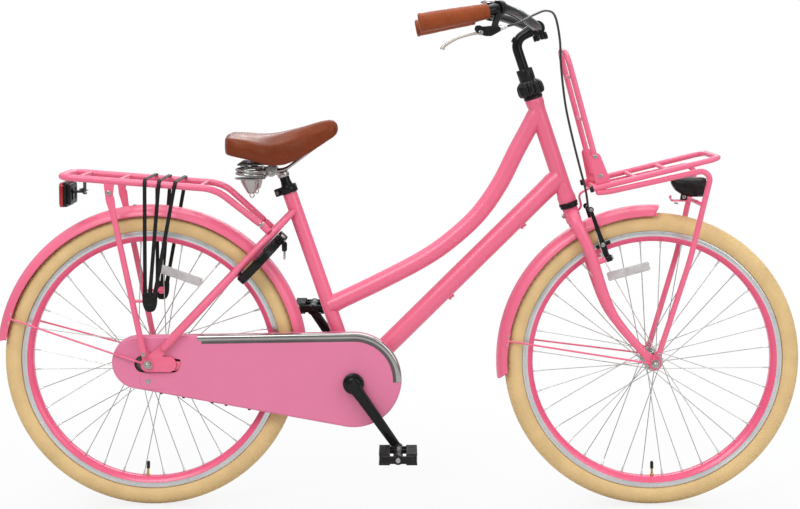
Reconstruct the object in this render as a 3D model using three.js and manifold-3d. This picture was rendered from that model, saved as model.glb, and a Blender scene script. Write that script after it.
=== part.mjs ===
// A Dutch city bike with a step-through frame, 26 inch wheels, full mudguards,
// a closed chaincase, a front carrier with a backrest and a rear carrier.
// Lengths are in millimetres. X runs forward, Y to the rider's left, Z up.
// The bike is laid out about the middle of its wheelbase, with the ground at Z 0,
// and the finished group is slid along X until its box is centred on the origin.
import * as THREE from 'three';
import { mergeVertices } from 'three/addons/utils/BufferGeometryUtils.js';
import Module from 'manifold-3d';

const wasm = await Module();
wasm.setup();

// Driving dimensions of the whole bike
const gap = 0.3;
const leastEdge = 0.1;
const wheelBase = 1108;
const wheelRadius = 326.5;
const bracketClear = 121.5;
const bracketDrop = 42.5;
const bracketAhead = wheelRadius + bracketClear;
const bracketHeight = wheelRadius - bracketDrop;
const seatAngle = 71.04;
const steeringAngle = 71.4;
const forkRake = 66.3;
const rearHubWidth = 120;
const frontHubWidth = 100;
const chainLine = 47;
const crankLength = 170;
const halfTurn = 180;

// Paint, metal, rubber and plastic colours
const finishes = {
  pink: { color: 0xec6e8c, roughness: 0.32, metalness: 0.1 },
  lilac: { color: 0xe480a0, roughness: 0.38, metalness: 0.05 },
  black: { color: 0x141412, roughness: 0.4, metalness: 0.1 },
  blackRubber: { color: 0x1a1a19, roughness: 0.8, metalness: 0 },
  chrome: { color: 0xc8c8c8, roughness: 0.12, metalness: 1 },
  steel: { color: 0x9c9a96, roughness: 0.35, metalness: 0.9 },
  cream: { color: 0xe1be87, roughness: 0.75, metalness: 0 },
  brown: { color: 0xa0441c, roughness: 0.5, metalness: 0 },
  clear: { color: 0xd8dde0, roughness: 0.15, metalness: 0 },
  red: { color: 0xb01818, roughness: 0.2, metalness: 0 },
};

const bike = new THREE.Group();

function part(name, geometry, finish) {
  const solid = toGeometry(toSolid(geometry).simplify(leastEdge));
  const mesh = new THREE.Mesh(solid, new THREE.MeshStandardMaterial(finishes[finish]));
  mesh.name = name;
  bike.add(mesh);
}

// Points and directions
const at = (x, y, z) => new THREE.Vector3(x, y, z);
const leftward = at(0, 1, 0);
const radians = THREE.MathUtils.degToRad;
const sides = [['right', -1], ['left', 1]];

// A line in the bike's middle plane: a point lies some way along it, ahead of it and to one side.
function line(origin, degrees) {
  const along = at(Math.cos(radians(degrees)), 0, Math.sin(radians(degrees)));
  const ahead = at(along.z, 0, -along.x);
  const place = (distance, forward = 0, side = 0) =>
    origin.clone().addScaledVector(along, distance).addScaledVector(ahead, forward)
      .addScaledVector(leftward, side);
  return Object.assign(place, { along, ahead });
}

// A point of a wheel or guard, given by its angle and distance from an axle.
function around(centre, degrees, radius, side = 0) {
  const angle = radians(degrees);
  return at(centre.x + radius * Math.cos(angle), centre.y + side, centre.z + radius * Math.sin(angle));
}

// Closed solids: welded, without collapsed faces and with their faces turned out
function toSolid(geometry) {
  const bare = geometry.clone();
  for (const name of ['normal', 'uv']) bare.deleteAttribute(name);
  const welded = mergeVertices(bare, 1e-4);
  const place = welded.attributes.position.array;
  const index = welded.index.array;
  const kept = [];
  let volume = 0;
  for (let i = 0; i < index.length; i += 3) {
    const [a, b, c] = index.slice(i, i + 3);
    if (a === b || b === c || c === a) continue;
    kept.push(a, b, c);
    const [p, q, r] = [a, b, c].map((n) => new THREE.Vector3().fromArray(place, 3 * n));
    volume += p.dot(q.cross(r));
  }
  if (volume < 0) kept.reverse();
  return new wasm.Manifold(new wasm.Mesh({
    numProp: 3,
    vertProperties: new Float32Array(place),
    triVerts: new Uint32Array(kept),
  }));
}

function toGeometry(solid) {
  const { vertProperties, triVerts } = solid.getMesh();
  const geometry = new THREE.BufferGeometry();
  geometry.setAttribute('position', new THREE.BufferAttribute(vertProperties, 3));
  geometry.setIndex(new THREE.BufferAttribute(triVerts, 1));
  geometry.computeVertexNormals();
  return geometry;
}

const join = (geometries) => toGeometry(geometries.map(toSolid).reduce((a, b) => a.add(b)));
const cut = (geometry, cutters) =>
  toGeometry(cutters.map(toSolid).reduce((a, b) => a.subtract(b), toSolid(geometry)));

// Shapes of revolution between two points
function turnedTo(geometry, from, to) {
  const direction = to.clone().sub(from).normalize();
  geometry.applyQuaternion(new THREE.Quaternion().setFromUnitVectors(leftward, direction));
  return geometry.translate(from.x, from.y, from.z);
}

function rod(from, to, radius, facets = 12, endRadius = radius) {
  const length = from.distanceTo(to);
  const geometry = new THREE.CylinderGeometry(endRadius, radius, length, facets);
  return turnedTo(geometry.translate(0, length / 2, 0), from, to);
}

function turned(profile, from, to, facets = 20) {
  const outline = profile.map(([radius, height]) => new THREE.Vector2(radius, height));
  return turnedTo(new THREE.LatheGeometry(outline, facets), from, to);
}

function pipe(from, to, radius, bore, facets = 16) {
  const length = from.distanceTo(to);
  const profile = [[bore, 0], [radius, 0], [radius, length], [bore, length], [bore, 0]];
  return turned(profile, from, to, facets);
}

const axleRod = (centre, halfLength, radius, facets = 12) =>
  rod(centre.clone().add(at(0, -halfLength, 0)), centre.clone().add(at(0, halfLength, 0)), radius, facets);

// Flat plates that stand in the bike's length, from an outline of X and Z
function plate(shape, rightFace, leftFace, facets = 8) {
  const thickness = leftFace - rightFace;
  const options = { depth: thickness, bevelEnabled: false, curveSegments: facets };
  const geometry = new THREE.ExtrudeGeometry(shape, options);
  return geometry.rotateX(Math.PI / 2).translate(0, leftFace, 0);
}

// The outline that a belt makes round two circles, grown or shrunk by an offset
function beltPoints(first, firstRadius, second, secondRadius, offset = 0, facets = 16) {
  const span = Math.hypot(second.x - first.x, second.z - first.z);
  const heading = Math.atan2(second.z - first.z, second.x - first.x);
  const lean = Math.acos((firstRadius - secondRadius) / span);
  const points = [];
  const arc = (centre, radius, start, end) => {
    for (let i = 0; i <= facets; i += 1) {
      const angle = start + (end - start) * i / facets;
      const reach = radius + offset;
      points.push(new THREE.Vector2(centre.x + reach * Math.cos(angle), centre.z + reach * Math.sin(angle)));
    }
  };
  arc(first, firstRadius, heading + lean, heading + 2 * Math.PI - lean);
  arc(second, secondRadius, heading - lean, heading + lean);
  return points;
}

const beltShape = (...sizes) => new THREE.Shape(beltPoints(...sizes));

function roundHole(centre, radius, facets = 20) {
  const hole = new THREE.Path();
  hole.setFromPoints(Array.from({ length: facets }, (_, i) => {
    const angle = 2 * Math.PI * i / facets;
    return new THREE.Vector2(centre.x + radius * Math.cos(angle), centre.z + radius * Math.sin(angle));
  }));
  return hole;
}

// A path whose sweep has one ring at each of its points
class Route extends THREE.Curve {
  constructor(points) {
    super();
    this.points = points;
  }

  getPointAt(share, target = new THREE.Vector3()) {
    return target.copy(this.points[Math.round(share * (this.points.length - 1))]);
  }

  getTangentAt(share, target = new THREE.Vector3()) {
    const last = this.points.length - 1;
    const here = Math.round(share * last);
    const step = (a, b) => this.points[b].clone().sub(this.points[a]).normalize();
    if (here === 0) return target.copy(step(0, 1));
    if (here === last) return target.copy(step(last - 1, last));
    return target.copy(step(here - 1, here).add(step(here, here + 1)).normalize());
  }
}

// A section swept along points. In a flat path its x is to the right and its y to the path's
// right-hand side, seen from the bike's right.
function sweep(points, section) {
  return new THREE.ExtrudeGeometry(section, { steps: points.length - 1, extrudePath: new Route(points) });
}

const ovalPoints = (halfWidth, halfHeight, facets) => Array.from({ length: facets }, (_, i) => {
  const angle = 2 * Math.PI * i / facets;
  return new THREE.Vector2(halfWidth * Math.cos(angle), halfHeight * Math.sin(angle));
});

const ovalSection = (halfWidth, halfHeight, facets) =>
  new THREE.Shape(ovalPoints(halfWidth, halfHeight, facets));

const roundSection = (radius, facets) => ovalSection(radius, radius, facets);

function hollowSection(radius, facets, bore, boreFacets) {
  const shape = roundSection(radius, facets);
  shape.holes.push(new THREE.Path(ovalPoints(bore, bore, boreFacets)));
  return shape;
}

function barSection(halfWidth, halfHeight) {
  return new THREE.Shape([[1, 1], [-1, 1], [-1, -1], [1, -1]]
    .map(([x, y]) => new THREE.Vector2(x * halfWidth, y * halfHeight)));
}

// Straight runs with their corners rounded to a bend radius
function bent(corners, bend, steps = 4) {
  const points = [corners[0]];
  for (let i = 1; i < corners.length - 1; i += 1) {
    const back = corners[i - 1].clone().sub(corners[i]).normalize();
    const on = corners[i + 1].clone().sub(corners[i]).normalize();
    const half = back.angleTo(on) / 2;
    const reach = bend / Math.tan(half);
    const arc = new THREE.QuadraticBezierCurve3(
      corners[i].clone().addScaledVector(back, reach),
      corners[i],
      corners[i].clone().addScaledVector(on, reach),
    );
    points.push(...arc.getPoints(steps));
  }
  points.push(corners[corners.length - 1]);
  return points;
}

const smooth = (points, steps) =>
  new THREE.CatmullRomCurve3(points, false, 'centripetal').getSpacedPoints(steps);

const tube = (corners, radius, bend, facets = 6, steps = 3) =>
  sweep(bent(corners, bend, steps), roundSection(radius, facets));

const box = (centre, length, width, height) =>
  new THREE.BoxGeometry(length, width, height).translate(centre.x, centre.y, centre.z);

// Layout: axles, bottom bracket, seat line and steering line
const rearAxle = at(-wheelBase / 2, 0, wheelRadius);
const frontAxle = at(wheelBase / 2, 0, wheelRadius);
const bracket = at(rearAxle.x + bracketAhead, 0, bracketHeight);
const seat = line(bracket, halfTurn - seatAngle);
const steering = line(
  line(frontAxle, halfTurn - steeringAngle)(0, -forkRake),
  halfTurn - steeringAngle,
);

// Bottom bracket shell and crank axle
const shell = { radius: 20, bore: 17, halfWidth: 34 };
const shellCore = axleRod(bracket, shell.halfWidth + chainLine, shell.radius + gap, 16);
part('bottom_bracket_shell', pipe(
  at(bracket.x, -shell.halfWidth, bracket.z),
  at(bracket.x, shell.halfWidth, bracket.z),
  shell.radius,
  shell.bore,
  16,
), 'pink');

// Seat tube
const seatTube = { radius: 15.9, bore: 14, length: 446 };
const seatCore = rod(seat(0), seat(seatTube.length * 2), seatTube.radius + gap, 16);
part('seat_tube', cut(pipe(seat(0), seat(seatTube.length), seatTube.radius, seatTube.bore), [shellCore]), 'pink');

// Head tube, with a thickened ring at each end
const headTube = { aboveTyre: 65.5, length: 240, radius: 18, bore: 16, lip: 20, lipLength: 13 };
headTube.foot = wheelRadius + headTube.aboveTyre;
headTube.top = headTube.foot + headTube.length;
const headProfile = [
  [headTube.bore, 0], [headTube.lip, 0], [headTube.lip, headTube.lipLength],
  [headTube.radius, headTube.lipLength * 2], [headTube.radius, headTube.length - headTube.lipLength * 2],
  [headTube.lip, headTube.length - headTube.lipLength], [headTube.lip, headTube.length],
  [headTube.bore, headTube.length], [headTube.bore, 0],
];
part('head_tube', turned(headProfile, steering(headTube.foot), steering(headTube.top), 12), 'pink');
const headCore = turned(
  [[0, 0], ...headProfile.slice(1, -2).map(([r, h]) => [r + gap, h]), [0, headTube.length]],
  steering(headTube.foot),
  steering(headTube.top),
  12,
);

// Down tube, straight from the bottom bracket to the head tube, with two cable eyes below
const downTube = { radius: 21.5, bore: 19.7, joinUp: 60, start: 14, eyeLength: 16, eyeDrop: 5, eyeWidth: 3 };
const eyeShares = [0.44, 0.79];
const downEnd = steering(headTube.foot + downTube.joinUp);
const downAngle = Math.atan2(downEnd.z - bracket.z, downEnd.x - bracket.x);
const down = line(bracket, THREE.MathUtils.radToDeg(downAngle));
const downLength = bracket.distanceTo(downEnd);
const downEyes = eyeShares.map((share) => sweep([
  down(downLength * share - downTube.eyeLength / 2, downTube.radius + downTube.eyeDrop / 2),
  down(downLength * share + downTube.eyeLength / 2, downTube.radius + downTube.eyeDrop / 2),
], barSection(downTube.eyeWidth, downTube.eyeDrop)));
part('down_tube', cut(
  join([
    pipe(down(downTube.start), downEnd, downTube.radius, downTube.bore),
    ...downEyes.map((eye) => cut(eye, [rod(down(0), downEnd, downTube.radius - gap, 16)])),
  ]),
  [shellCore, seatCore, headCore],
), 'pink');

// Upper tube, curved from high on the head tube down to the seat tube
const upperTube = { radius: 19, bore: 15.5, joinDown: 29, seatJoin: 171, steps: 9 };
const upperShares = [
  [0, 0], [0.25, 0.128], [0.464, 0.25], [0.584, 0.34], [0.718, 0.474], [0.819, 0.629], [0.901, 0.804], [1, 1],
];
const upperFront = steering(headTube.top - upperTube.joinDown);
const aheadOfHead = sweep(
  [steering(0, headTube.lip), steering(headTube.top * 2, headTube.lip)],
  barSection(headTube.lip, upperTube.radius * 2),
);
const upperRear = seat(upperTube.seatJoin);
const upperPath = upperShares.map(([x, z]) => at(
  THREE.MathUtils.lerp(upperRear.x, upperFront.x, x),
  0,
  THREE.MathUtils.lerp(upperRear.z, upperFront.z, z),
));
part('upper_tube', cut(
  sweep(smooth(upperPath, upperTube.steps), hollowSection(upperTube.radius, 10, upperTube.bore, 5)),
  [seatCore, headCore, aheadOfHead],
), 'pink');

// Rear dropouts: plates that hold the axle outside the hub's locknuts
const dropout = {
  thickness: 5, radius: 17, reach: 44, bore: 5.4, slotLead: 30, step: 8, lug: 46, lugRadius: 9, ear: 26.7,
  earAngle: 107,
};
const dropoutFace = rearHubWidth / 2 + gap;
const seatStay = {
  radius: 8.5, below: 47, foot: 42, side: 16, lowSide: 68.5, clearSide: 42, wheelSide: 52, bend: 40,
};
const stayTop = seat(seatTube.length - seatStay.below);
const stayAngle = THREE.MathUtils.radToDeg(Math.atan2(stayTop.z - rearAxle.z, stayTop.x - rearAxle.x));
const stay = line(rearAxle, stayAngle);
const stayLength = rearAxle.distanceTo(stayTop);

function dropoutPlate(side) {
  const ahead = at(rearAxle.x + dropout.reach, 0, rearAxle.z);
  const lug = stay(dropout.lug);
  const ear = around(rearAxle, dropout.earAngle, dropout.ear);
  const hub = { x: rearAxle.x, z: rearAxle.z };
  const faces = [dropoutFace, dropoutFace + dropout.thickness].map((y) => y * side).sort((a, b) => a - b);
  return cut(join([
    plate(beltShape(hub, dropout.radius, ahead, dropout.radius, 0, 5), ...faces),
    plate(beltShape(hub, dropout.radius, { x: lug.x, z: lug.z }, dropout.lugRadius, 0, 5), ...faces),
    plate(beltShape(hub, dropout.lugRadius, ear, dropout.lugRadius, 0, 4), ...faces),
  ]), [axleRod(rearAxle, rearHubWidth, dropout.bore, 8)]);
}

// Chain stays, flattened beside the tyre. The right one steps in behind the chaincase.
const standPin = {
  radius: 4, back: 79, drop: 22, side: 51.5, reach: 64, plateHalf: 17, thickness: 5, lugRadius: 11,
};
const chainStay = {
  halfWidth: 4.5, halfHeight: 11, bracketSide: 25, tyreSide: 34, tyreAhead: 240, mudguardAhead: 345, bend: 40,
};
function standLug() {
  const spot = (y) => at(bracket.x - standPin.back, y, bracket.z - standPin.drop);
  const top = { x: spot(0).x, z: bracket.z };
  return [
    plate(beltShape(top, standPin.plateHalf, { x: spot(0).x, z: spot(0).z }, standPin.lugRadius, 0, 4),
      chainStay.tyreSide - standPin.thickness / 2, chainStay.tyreSide + standPin.thickness / 2),
    rod(spot(chainStay.tyreSide), spot(standPin.side), standPin.lugRadius - standPin.radius, 8),
    rod(spot(chainStay.tyreSide), spot(standPin.reach), standPin.radius, 8),
  ];
}

for (const [name, side] of sides) {
  const inward = name === 'right' ? dropout.step + dropout.thickness : dropout.thickness / 2;
  const end = dropoutFace + dropout.thickness - inward;
  const rise = (x) => THREE.MathUtils.lerp(rearAxle.z, bracket.z, x / bracketAhead);
  const spot = (x, y) => at(rearAxle.x + x, y * side, rise(x));
  const path = [
    spot(bracketAhead, chainStay.bracketSide),
    spot(chainStay.mudguardAhead, chainStay.tyreSide),
    spot(chainStay.tyreAhead, chainStay.tyreSide),
    spot(dropout.reach + dropout.slotLead, end),
    spot(dropout.reach, end),
  ];
  const bracketPlate = box(
    at(rearAxle.x + dropout.reach, side * (end + dropoutFace + dropout.thickness / 2) / 2, rise(dropout.reach)),
    dropout.thickness * 2,
    Math.abs(dropoutFace + dropout.thickness / 2 - end) + dropout.thickness,
    chainStay.halfHeight * 2,
  );
  const stayTube = sweep(bent(path, chainStay.bend, 2), ovalSection(chainStay.halfWidth, chainStay.halfHeight, 8));
  const pieces = [stayTube, bracketPlate, dropoutPlate(side)];
  if (name === 'left') pieces.push(...standLug());
  part(`chain_stay_${name}`, cut(join(pieces), [shellCore]), 'pink');
}

// Seat stays, from the dropouts up past the tyre to the seat tube
const stayShares = [[0.3, 'lowSide'], [0.56, 'wheelSide'], [0.8, 'clearSide']];
const seatStayPath = (side) => bent([
  stay(seatStay.foot, 0, side * seatStay.lowSide),
  ...stayShares.map(([share, key]) => stay(stayLength * share, 0, side * seatStay[key])),
  stay(stayLength, 0, side * seatStay.side),
], seatStay.bend, 2);
for (const [name, side] of sides) {
  const faces = dropoutFace + dropout.thickness + gap;
  const shave = box(stay(0, 0, side * (faces - seatStay.radius)), stayLength / 2, seatStay.radius * 2, stayLength / 2);
  part(`seat_stay_${name}`, cut(
    sweep(seatStayPath(side), roundSection(seatStay.radius, 8)),
    [seatCore, shave],
  ), 'pink');
}

// Seat clamp collar with its bolt ears behind
const seatClamp = { radius: 20, length: 17, below: 9, earReach: 31, earHalf: 6, bolt: 3, boltHalf: 11, boltBack: 26 };
const clampLow = seatTube.length - seatClamp.below;
part('seat_clamp', cut(
  join([
    rod(seat(clampLow), seat(clampLow + seatClamp.length), seatClamp.radius, 12),
    sweep([seat(clampLow + seatClamp.length / 2), seat(clampLow + seatClamp.length / 2, -seatClamp.earReach)],
      barSection(seatClamp.earHalf, seatClamp.length / 2)),
    rod(seat(clampLow + seatClamp.length / 2, -seatClamp.boltBack, -seatClamp.boltHalf),
      seat(clampLow + seatClamp.length / 2, -seatClamp.boltBack, seatClamp.boltHalf), seatClamp.bolt, 6),
  ]),
  [rod(seat(0), seat(seatTube.length + gap), seatTube.radius + gap, 16),
    rod(seat(0), seat(seatTube.length * 2), seatTube.bore, 16)],
), 'black');

// Seat post, which slides in the seat tube
const seatPost = { radius: 13.6, neck: 11, insert: 120, shoulder: 6, taper: 12, above: 28 };
seatPost.top = seatTube.length + seatPost.above;
part('seat_post', turned(
  [[0, 0], [seatPost.radius, 0], [seatPost.radius, seatPost.insert + seatPost.shoulder],
    [seatPost.neck, seatPost.insert + seatPost.shoulder + seatPost.taper],
    [seatPost.neck, seatPost.insert + seatPost.above], [0, seatPost.insert + seatPost.above]],
  seat(seatTube.length - seatPost.insert),
  seat(seatPost.top),
  16,
), 'black');

// Wheels: a tyre, a rim with its valve, a hub laced with crossed spokes, and a reflector
const wheelFacets = 28;
const tyre = { halfWidth: 23.5, height: 38.5, beadHalf: 13 };
const rim = { depth: 11.5, bed: 12.5, innerHalf: 9, half: 16.2, wall: 2.8 };
tyre.middle = wheelRadius - tyre.halfWidth;
rim.outer = wheelRadius - tyre.height;
rim.floor = rim.outer - rim.depth;
rim.inner = rim.floor - rim.bed;
tyre.bead = rim.floor + gap;
tyre.seat = rim.outer + gap;
const spoke = { count: 36, radius: 1, rimSide: 2, hubTurn: 60, seat: 1.5, facets: 3 };
const valve = { radius: 3.6, length: 34, root: 2 };
const reflector = { length: 96, height: 20, thickness: 4.5 };
const hubs = {
  rear: {
    barrel: 24, flange: 34, flangeSide: 27, end: 15, rightEnd: 42, leftEnd: 49, spokeRadius: 30, valveAngle: -93,
    firstShare: 0.8, reflectorAngle: 70.5, reflectorDrop: 64.5, reflectorSide: 12.6,
  },
  front: {
    barrel: 12, flange: 21, flangeSide: 32, end: 9, rightEnd: 43, leftEnd: 43, spokeRadius: 17.5, valveAngle: -89,
    firstShare: 0.5, reflectorAngle: 105.3, reflectorDrop: 59, reflectorSide: 13.7,
  },
};
const hubSizes = { flangeHalf: 2.8, bore: 5.6 };

// The tyre with its inflated tube: beads between the rim's walls, and round shoulders outside them
function tyreProfile() {
  const lowest = -38;
  const steps = 8;
  const arc = Array.from({ length: steps + 1 }, (_, i) => {
    const angle = radians(lowest + (halfTurn - 2 * lowest) * i / steps);
    return [tyre.middle + (wheelRadius - tyre.middle) * Math.sin(angle), tyre.halfWidth * Math.cos(angle)];
  });
  const profile = [
    [tyre.bead, tyre.beadHalf], [tyre.seat, tyre.beadHalf],
    ...arc,
    [tyre.seat, -tyre.beadHalf], [tyre.bead, -tyre.beadHalf],
  ];
  return [...profile, profile[0]];
}

function rimProfile() {
  const half = [
    [rim.inner, rim.innerHalf], [rim.floor, rim.half], [rim.outer, rim.half],
    [rim.outer, rim.half - rim.wall], [rim.floor, rim.half - rim.wall],
  ];
  const profile = [...half, ...half.map(([r, y]) => [r, -y]).reverse()];
  return [...profile, profile[0]];
}

const spunAbout = (profile, centre, facets = wheelFacets) =>
  turned(profile, at(centre.x, 0, centre.z), at(centre.x, 1, centre.z), facets);

function hubProfile(hub) {
  const { flangeHalf, bore } = hubSizes;
  const profile = [
    [bore, -hub.rightEnd], [hub.end, -hub.rightEnd], [hub.end, -hub.flangeSide - flangeHalf],
    [hub.flange, -hub.flangeSide - flangeHalf], [hub.flange, flangeHalf - hub.flangeSide],
    [hub.barrel, flangeHalf - hub.flangeSide], [hub.barrel, hub.flangeSide - flangeHalf],
    [hub.flange, hub.flangeSide - flangeHalf], [hub.flange, hub.flangeSide + flangeHalf],
    [hub.end, hub.flangeSide + flangeHalf], [hub.end, hub.leftEnd], [bore, hub.leftEnd],
  ];
  return [...profile, profile[0]];
}

function makeWheel(name, centre) {
  const hub = hubs[name];
  const valveSpot = (radius) => around(centre, hub.valveAngle, radius);
  const pitch = 2 * halfTurn / spoke.count;
  part(`${name}_tyre`, spunAbout(tyreProfile(), centre), 'cream');
  part(`${name}_rim`, join([
    spunAbout(rimProfile(), centre),
    rod(valveSpot(rim.inner + valve.root), valveSpot(rim.inner - valve.length), valve.radius, 6),
  ]), 'pink');
  const laced = [spunAbout(hubProfile(hub), centre, 10)];
  for (let i = 0; i < spoke.count; i += 1) {
    const side = i % 2 ? 1 : -1;
    const lead = Math.floor(i / 2) % 2 ? 1 : -1;
    const angle = hub.valveAngle + (i + hub.firstShare) * pitch;
    const footSide = side * (hub.flangeSide + lead * spoke.seat);
    laced.push(rod(
      around(centre, angle + lead * spoke.hubTurn, hub.spokeRadius, footSide),
      around(centre, angle, rim.inner * Math.cos(Math.PI / wheelFacets) - gap, side * spoke.rimSide),
      spoke.radius,
      spoke.facets,
    ));
  }
  part(`${name}_hub_and_spokes`, join(laced), 'steel');
  const plateAngle = radians(hub.reflectorAngle - halfTurn / 2);
  const middle = around(centre, hub.reflectorAngle, rim.inner - hub.reflectorDrop, -hub.reflectorSide);
  const block = new THREE.BoxGeometry(reflector.length, reflector.thickness, reflector.height);
  part(`${name}_reflector`, block.rotateY(-plateAngle).translate(middle.x, middle.y, middle.z), 'clear');
}

makeWheel('rear', rearAxle);
makeWheel('front', frontAxle);

// Axles with their cones inside the hubs and nuts outside the dropouts
const axle = { radius: 5, cone: 8.5, coneGap: 1, nut: 9, nutLength: 9, overhang: 3 };
const eyelet = { radius: 11.5, rackRadius: 9.5, bore: 5.6, thickness: 2.4 };
const rearStack = dropoutFace + dropout.thickness + eyelet.thickness + 2 * gap;
const frontFace = frontHubWidth / 2 + gap;
const forkEnd = { thickness: 5, radius: 15, bore: 5.4 };
const frontStack = frontFace + forkEnd.thickness + 2 * eyelet.thickness + 3 * gap;

function makeAxle(name, centre, hubWidth, stack, hub, gapForSprocket) {
  const pieces = [axleRod(centre, stack + axle.nutLength + axle.overhang, axle.radius, 8)];
  for (const [, side] of sides) {
    const inner = (side < 0 ? hub.rightEnd + gapForSprocket : hub.leftEnd) + axle.coneGap;
    const spot = (y) => at(centre.x, y * side, centre.z);
    pieces.push(rod(spot(inner), spot(hubWidth / 2), axle.cone, 8));
    pieces.push(rod(spot(stack), spot(stack + axle.nutLength), axle.nut, 6));
  }
  part(`${name}_axle`, join(pieces), 'steel');
}

const sprocket = { teeth: 18, thickness: 2.2, bore: 5.6, boss: 14, bossHalf: 4 };
const chainring = { teeth: 38, thickness: 2.2, bore: 8.4, windowCircle: 44, window: 17, windows: 5 };
const chainPitch = 12.7;
const pitchRadius = (teeth) => chainPitch / (2 * Math.sin(Math.PI / teeth));
makeAxle('rear', rearAxle, rearHubWidth, rearStack, hubs.rear, chainLine + sprocket.bossHalf - hubs.rear.rightEnd);
makeAxle('front', frontAxle, frontHubWidth, frontStack, hubs.front, 0);

// Rear sprocket, chainring and the chain between them
const tooth = { rise: 3, drop: 4 };
function toothedShape(centre, teeth) {
  const radius = pitchRadius(teeth);
  const points = [];
  for (let i = 0; i < teeth; i += 1) {
    for (const [share, reach] of [[0, tooth.rise], [1 / 2, -tooth.drop]]) {
      const angle = 2 * Math.PI * (i + share) / teeth;
      points.push(new THREE.Vector2(
        centre.x + (radius + reach) * Math.cos(angle),
        centre.z + (radius + reach) * Math.sin(angle),
      ));
    }
  }
  return new THREE.Shape(points);
}

const chainFaces = (half) => [-chainLine - half, -chainLine + half];
part('rear_sprocket', cut(join([
  plate(toothedShape(rearAxle, sprocket.teeth), ...chainFaces(sprocket.thickness / 2)),
  rod(at(rearAxle.x, -chainLine - sprocket.bossHalf + gap, rearAxle.z),
    at(rearAxle.x, -chainLine + sprocket.bossHalf, rearAxle.z), sprocket.boss, 12),
]), [axleRod(rearAxle, rearHubWidth, sprocket.bore)]), 'steel');
const ringShape = toothedShape(bracket, chainring.teeth);
ringShape.holes.push(roundHole(bracket, chainring.bore));
for (let i = 0; i < chainring.windows; i += 1) {
  ringShape.holes.push(roundHole(
    around(bracket, 2 * halfTurn * i / chainring.windows, chainring.windowCircle),
    chainring.window,
    5,
  ));
}
part('chainring', plate(ringShape, ...chainFaces(chainring.thickness / 2)), 'steel');

const chain = { halfHeight: 4, inner: 1.7, plate: 1.3, roller: 3.8, clear: 3, shown: 12, facets: 6 };
function makeChain() {
  const ends = [bracket, pitchRadius(chainring.teeth), rearAxle, pitchRadius(sprocket.teeth)];
  const bands = [-1, 1].map((side) => {
    const shape = new THREE.Shape(beltPoints(...ends, chain.halfHeight, chain.facets));
    shape.holes.push(new THREE.Path(beltPoints(...ends, -chain.halfHeight, chain.facets)));
    const faces = [chain.inner, chain.inner + chain.plate].map((y) => -chainLine + y * side).sort((a, b) => a - b);
    return plate(shape, ...faces);
  });
  const pitchLine = beltPoints(...ends, 0, chain.facets);
  const runs = [[pitchLine[chain.facets], pitchLine[chain.facets + 1]], [pitchLine[2 * chain.facets + 1], pitchLine[0]]];
  const half = chain.inner + chain.plate / 2;
  const rollers = runs.flatMap(([from, to]) => {
    const free = from.distanceTo(to) / chainPitch;
    const spots = Array.from({ length: Math.floor(free - 2 * chain.clear) }, (_, i) => (i + chain.clear) / free);
    return spots.filter((_, i) => i % chain.shown === 0).map((share) => {
      const spot = from.clone().lerp(to, share);
      return rod(at(spot.x, -chainLine - half, spot.y), at(spot.x, half - chainLine, spot.y), chain.roller, 5);
    });
  });
  part('chain', join([...bands, ...rollers]), 'steel');
}
makeChain();

// Crank axle on its bearing rings, and the cranks with their pedal spindles
const crankAxle = { radius: 8, halfLength: 80, ring: 16.6, ringInner: 20 };
part('crank_axle', join([
  axleRod(bracket, crankAxle.halfLength, crankAxle.radius, 12),
  ...sides.map(([, side]) => rod(
    at(bracket.x, side * crankAxle.ringInner, bracket.z),
    at(bracket.x, side * shell.halfWidth, bracket.z),
    crankAxle.ring,
    12,
  )),
]), 'steel');

const crank = {
  angle: -55, bossRadius: 16, endRadius: 11.5, inner: 74, thickness: 13, boss: 13.5, bore: 8.3,
  cap: 23, capInner: 61, capOuter: 70, spindle: 6, spindleLength: 98,
};
const pedal = {
  length: 82, width: 90, height: 25, barrel: 11, bore: 6.4, tread: 24, plateThickness: 5, plateHeight: 17, start: 4,
};
for (const [name, side] of sides) {
  const angle = name === 'right' ? crank.angle : crank.angle + halfTurn;
  const end = around(bracket, angle, crankLength);
  const spot = (centre, y) => at(centre.x, side * y, centre.z);
  const faces = [crank.inner, crank.inner + crank.thickness].map((y) => side * y).sort((a, b) => a - b);
  const bossStart = name === 'right' ? chainLine + chainring.thickness / 2 + gap : shell.halfWidth + crankAxle.bore;
  const hubStart = name === 'right' ? bossStart : crank.capInner;
  const pieces = [
    plate(beltShape(bracket, crank.bossRadius, end, crank.endRadius, 0, 5), ...faces),
    rod(spot(bracket, hubStart), spot(bracket, crank.inner + crank.thickness / 2), crank.boss, 12),
    rod(spot(end, crank.inner + crank.thickness / 2), spot(end, crank.inner + crank.thickness + crank.spindleLength),
      crank.spindle, 10),
  ];
  if (name === 'right') pieces.push(rod(spot(bracket, crank.capInner), spot(bracket, crank.capOuter), crank.cap, 16));
  part(`crank_${name}`, cut(join(pieces), [
    axleRod(bracket, crankAxle.halfLength + gap, crank.bore, 12),
  ]), 'black');

  const inner = crank.inner + crank.thickness + pedal.start;
  const middle = spot(end, inner + pedal.width / 2);
  const treads = [-1, 1].map((way) => box(
    middle.clone().add(at(way * (pedal.length - pedal.tread) / 2, 0, 0)),
    pedal.tread,
    pedal.width - pedal.plateThickness,
    pedal.height,
  ));
  const plates = [-1, 1].map((way) => box(
    middle.clone().add(at(0, way * (pedal.width - pedal.plateThickness) / 2, 0)),
    pedal.length - pedal.tread / 2,
    pedal.plateThickness,
    pedal.plateHeight,
  ));
  part(`pedal_${name}`, cut(
    join([...treads, ...plates, rod(spot(end, inner + gap), spot(end, inner + pedal.width - gap), pedal.barrel, 12)]),
    [rod(spot(end, 0), spot(end, inner + pedal.width * 2), pedal.bore, 10)],
  ), 'black');
}

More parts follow.
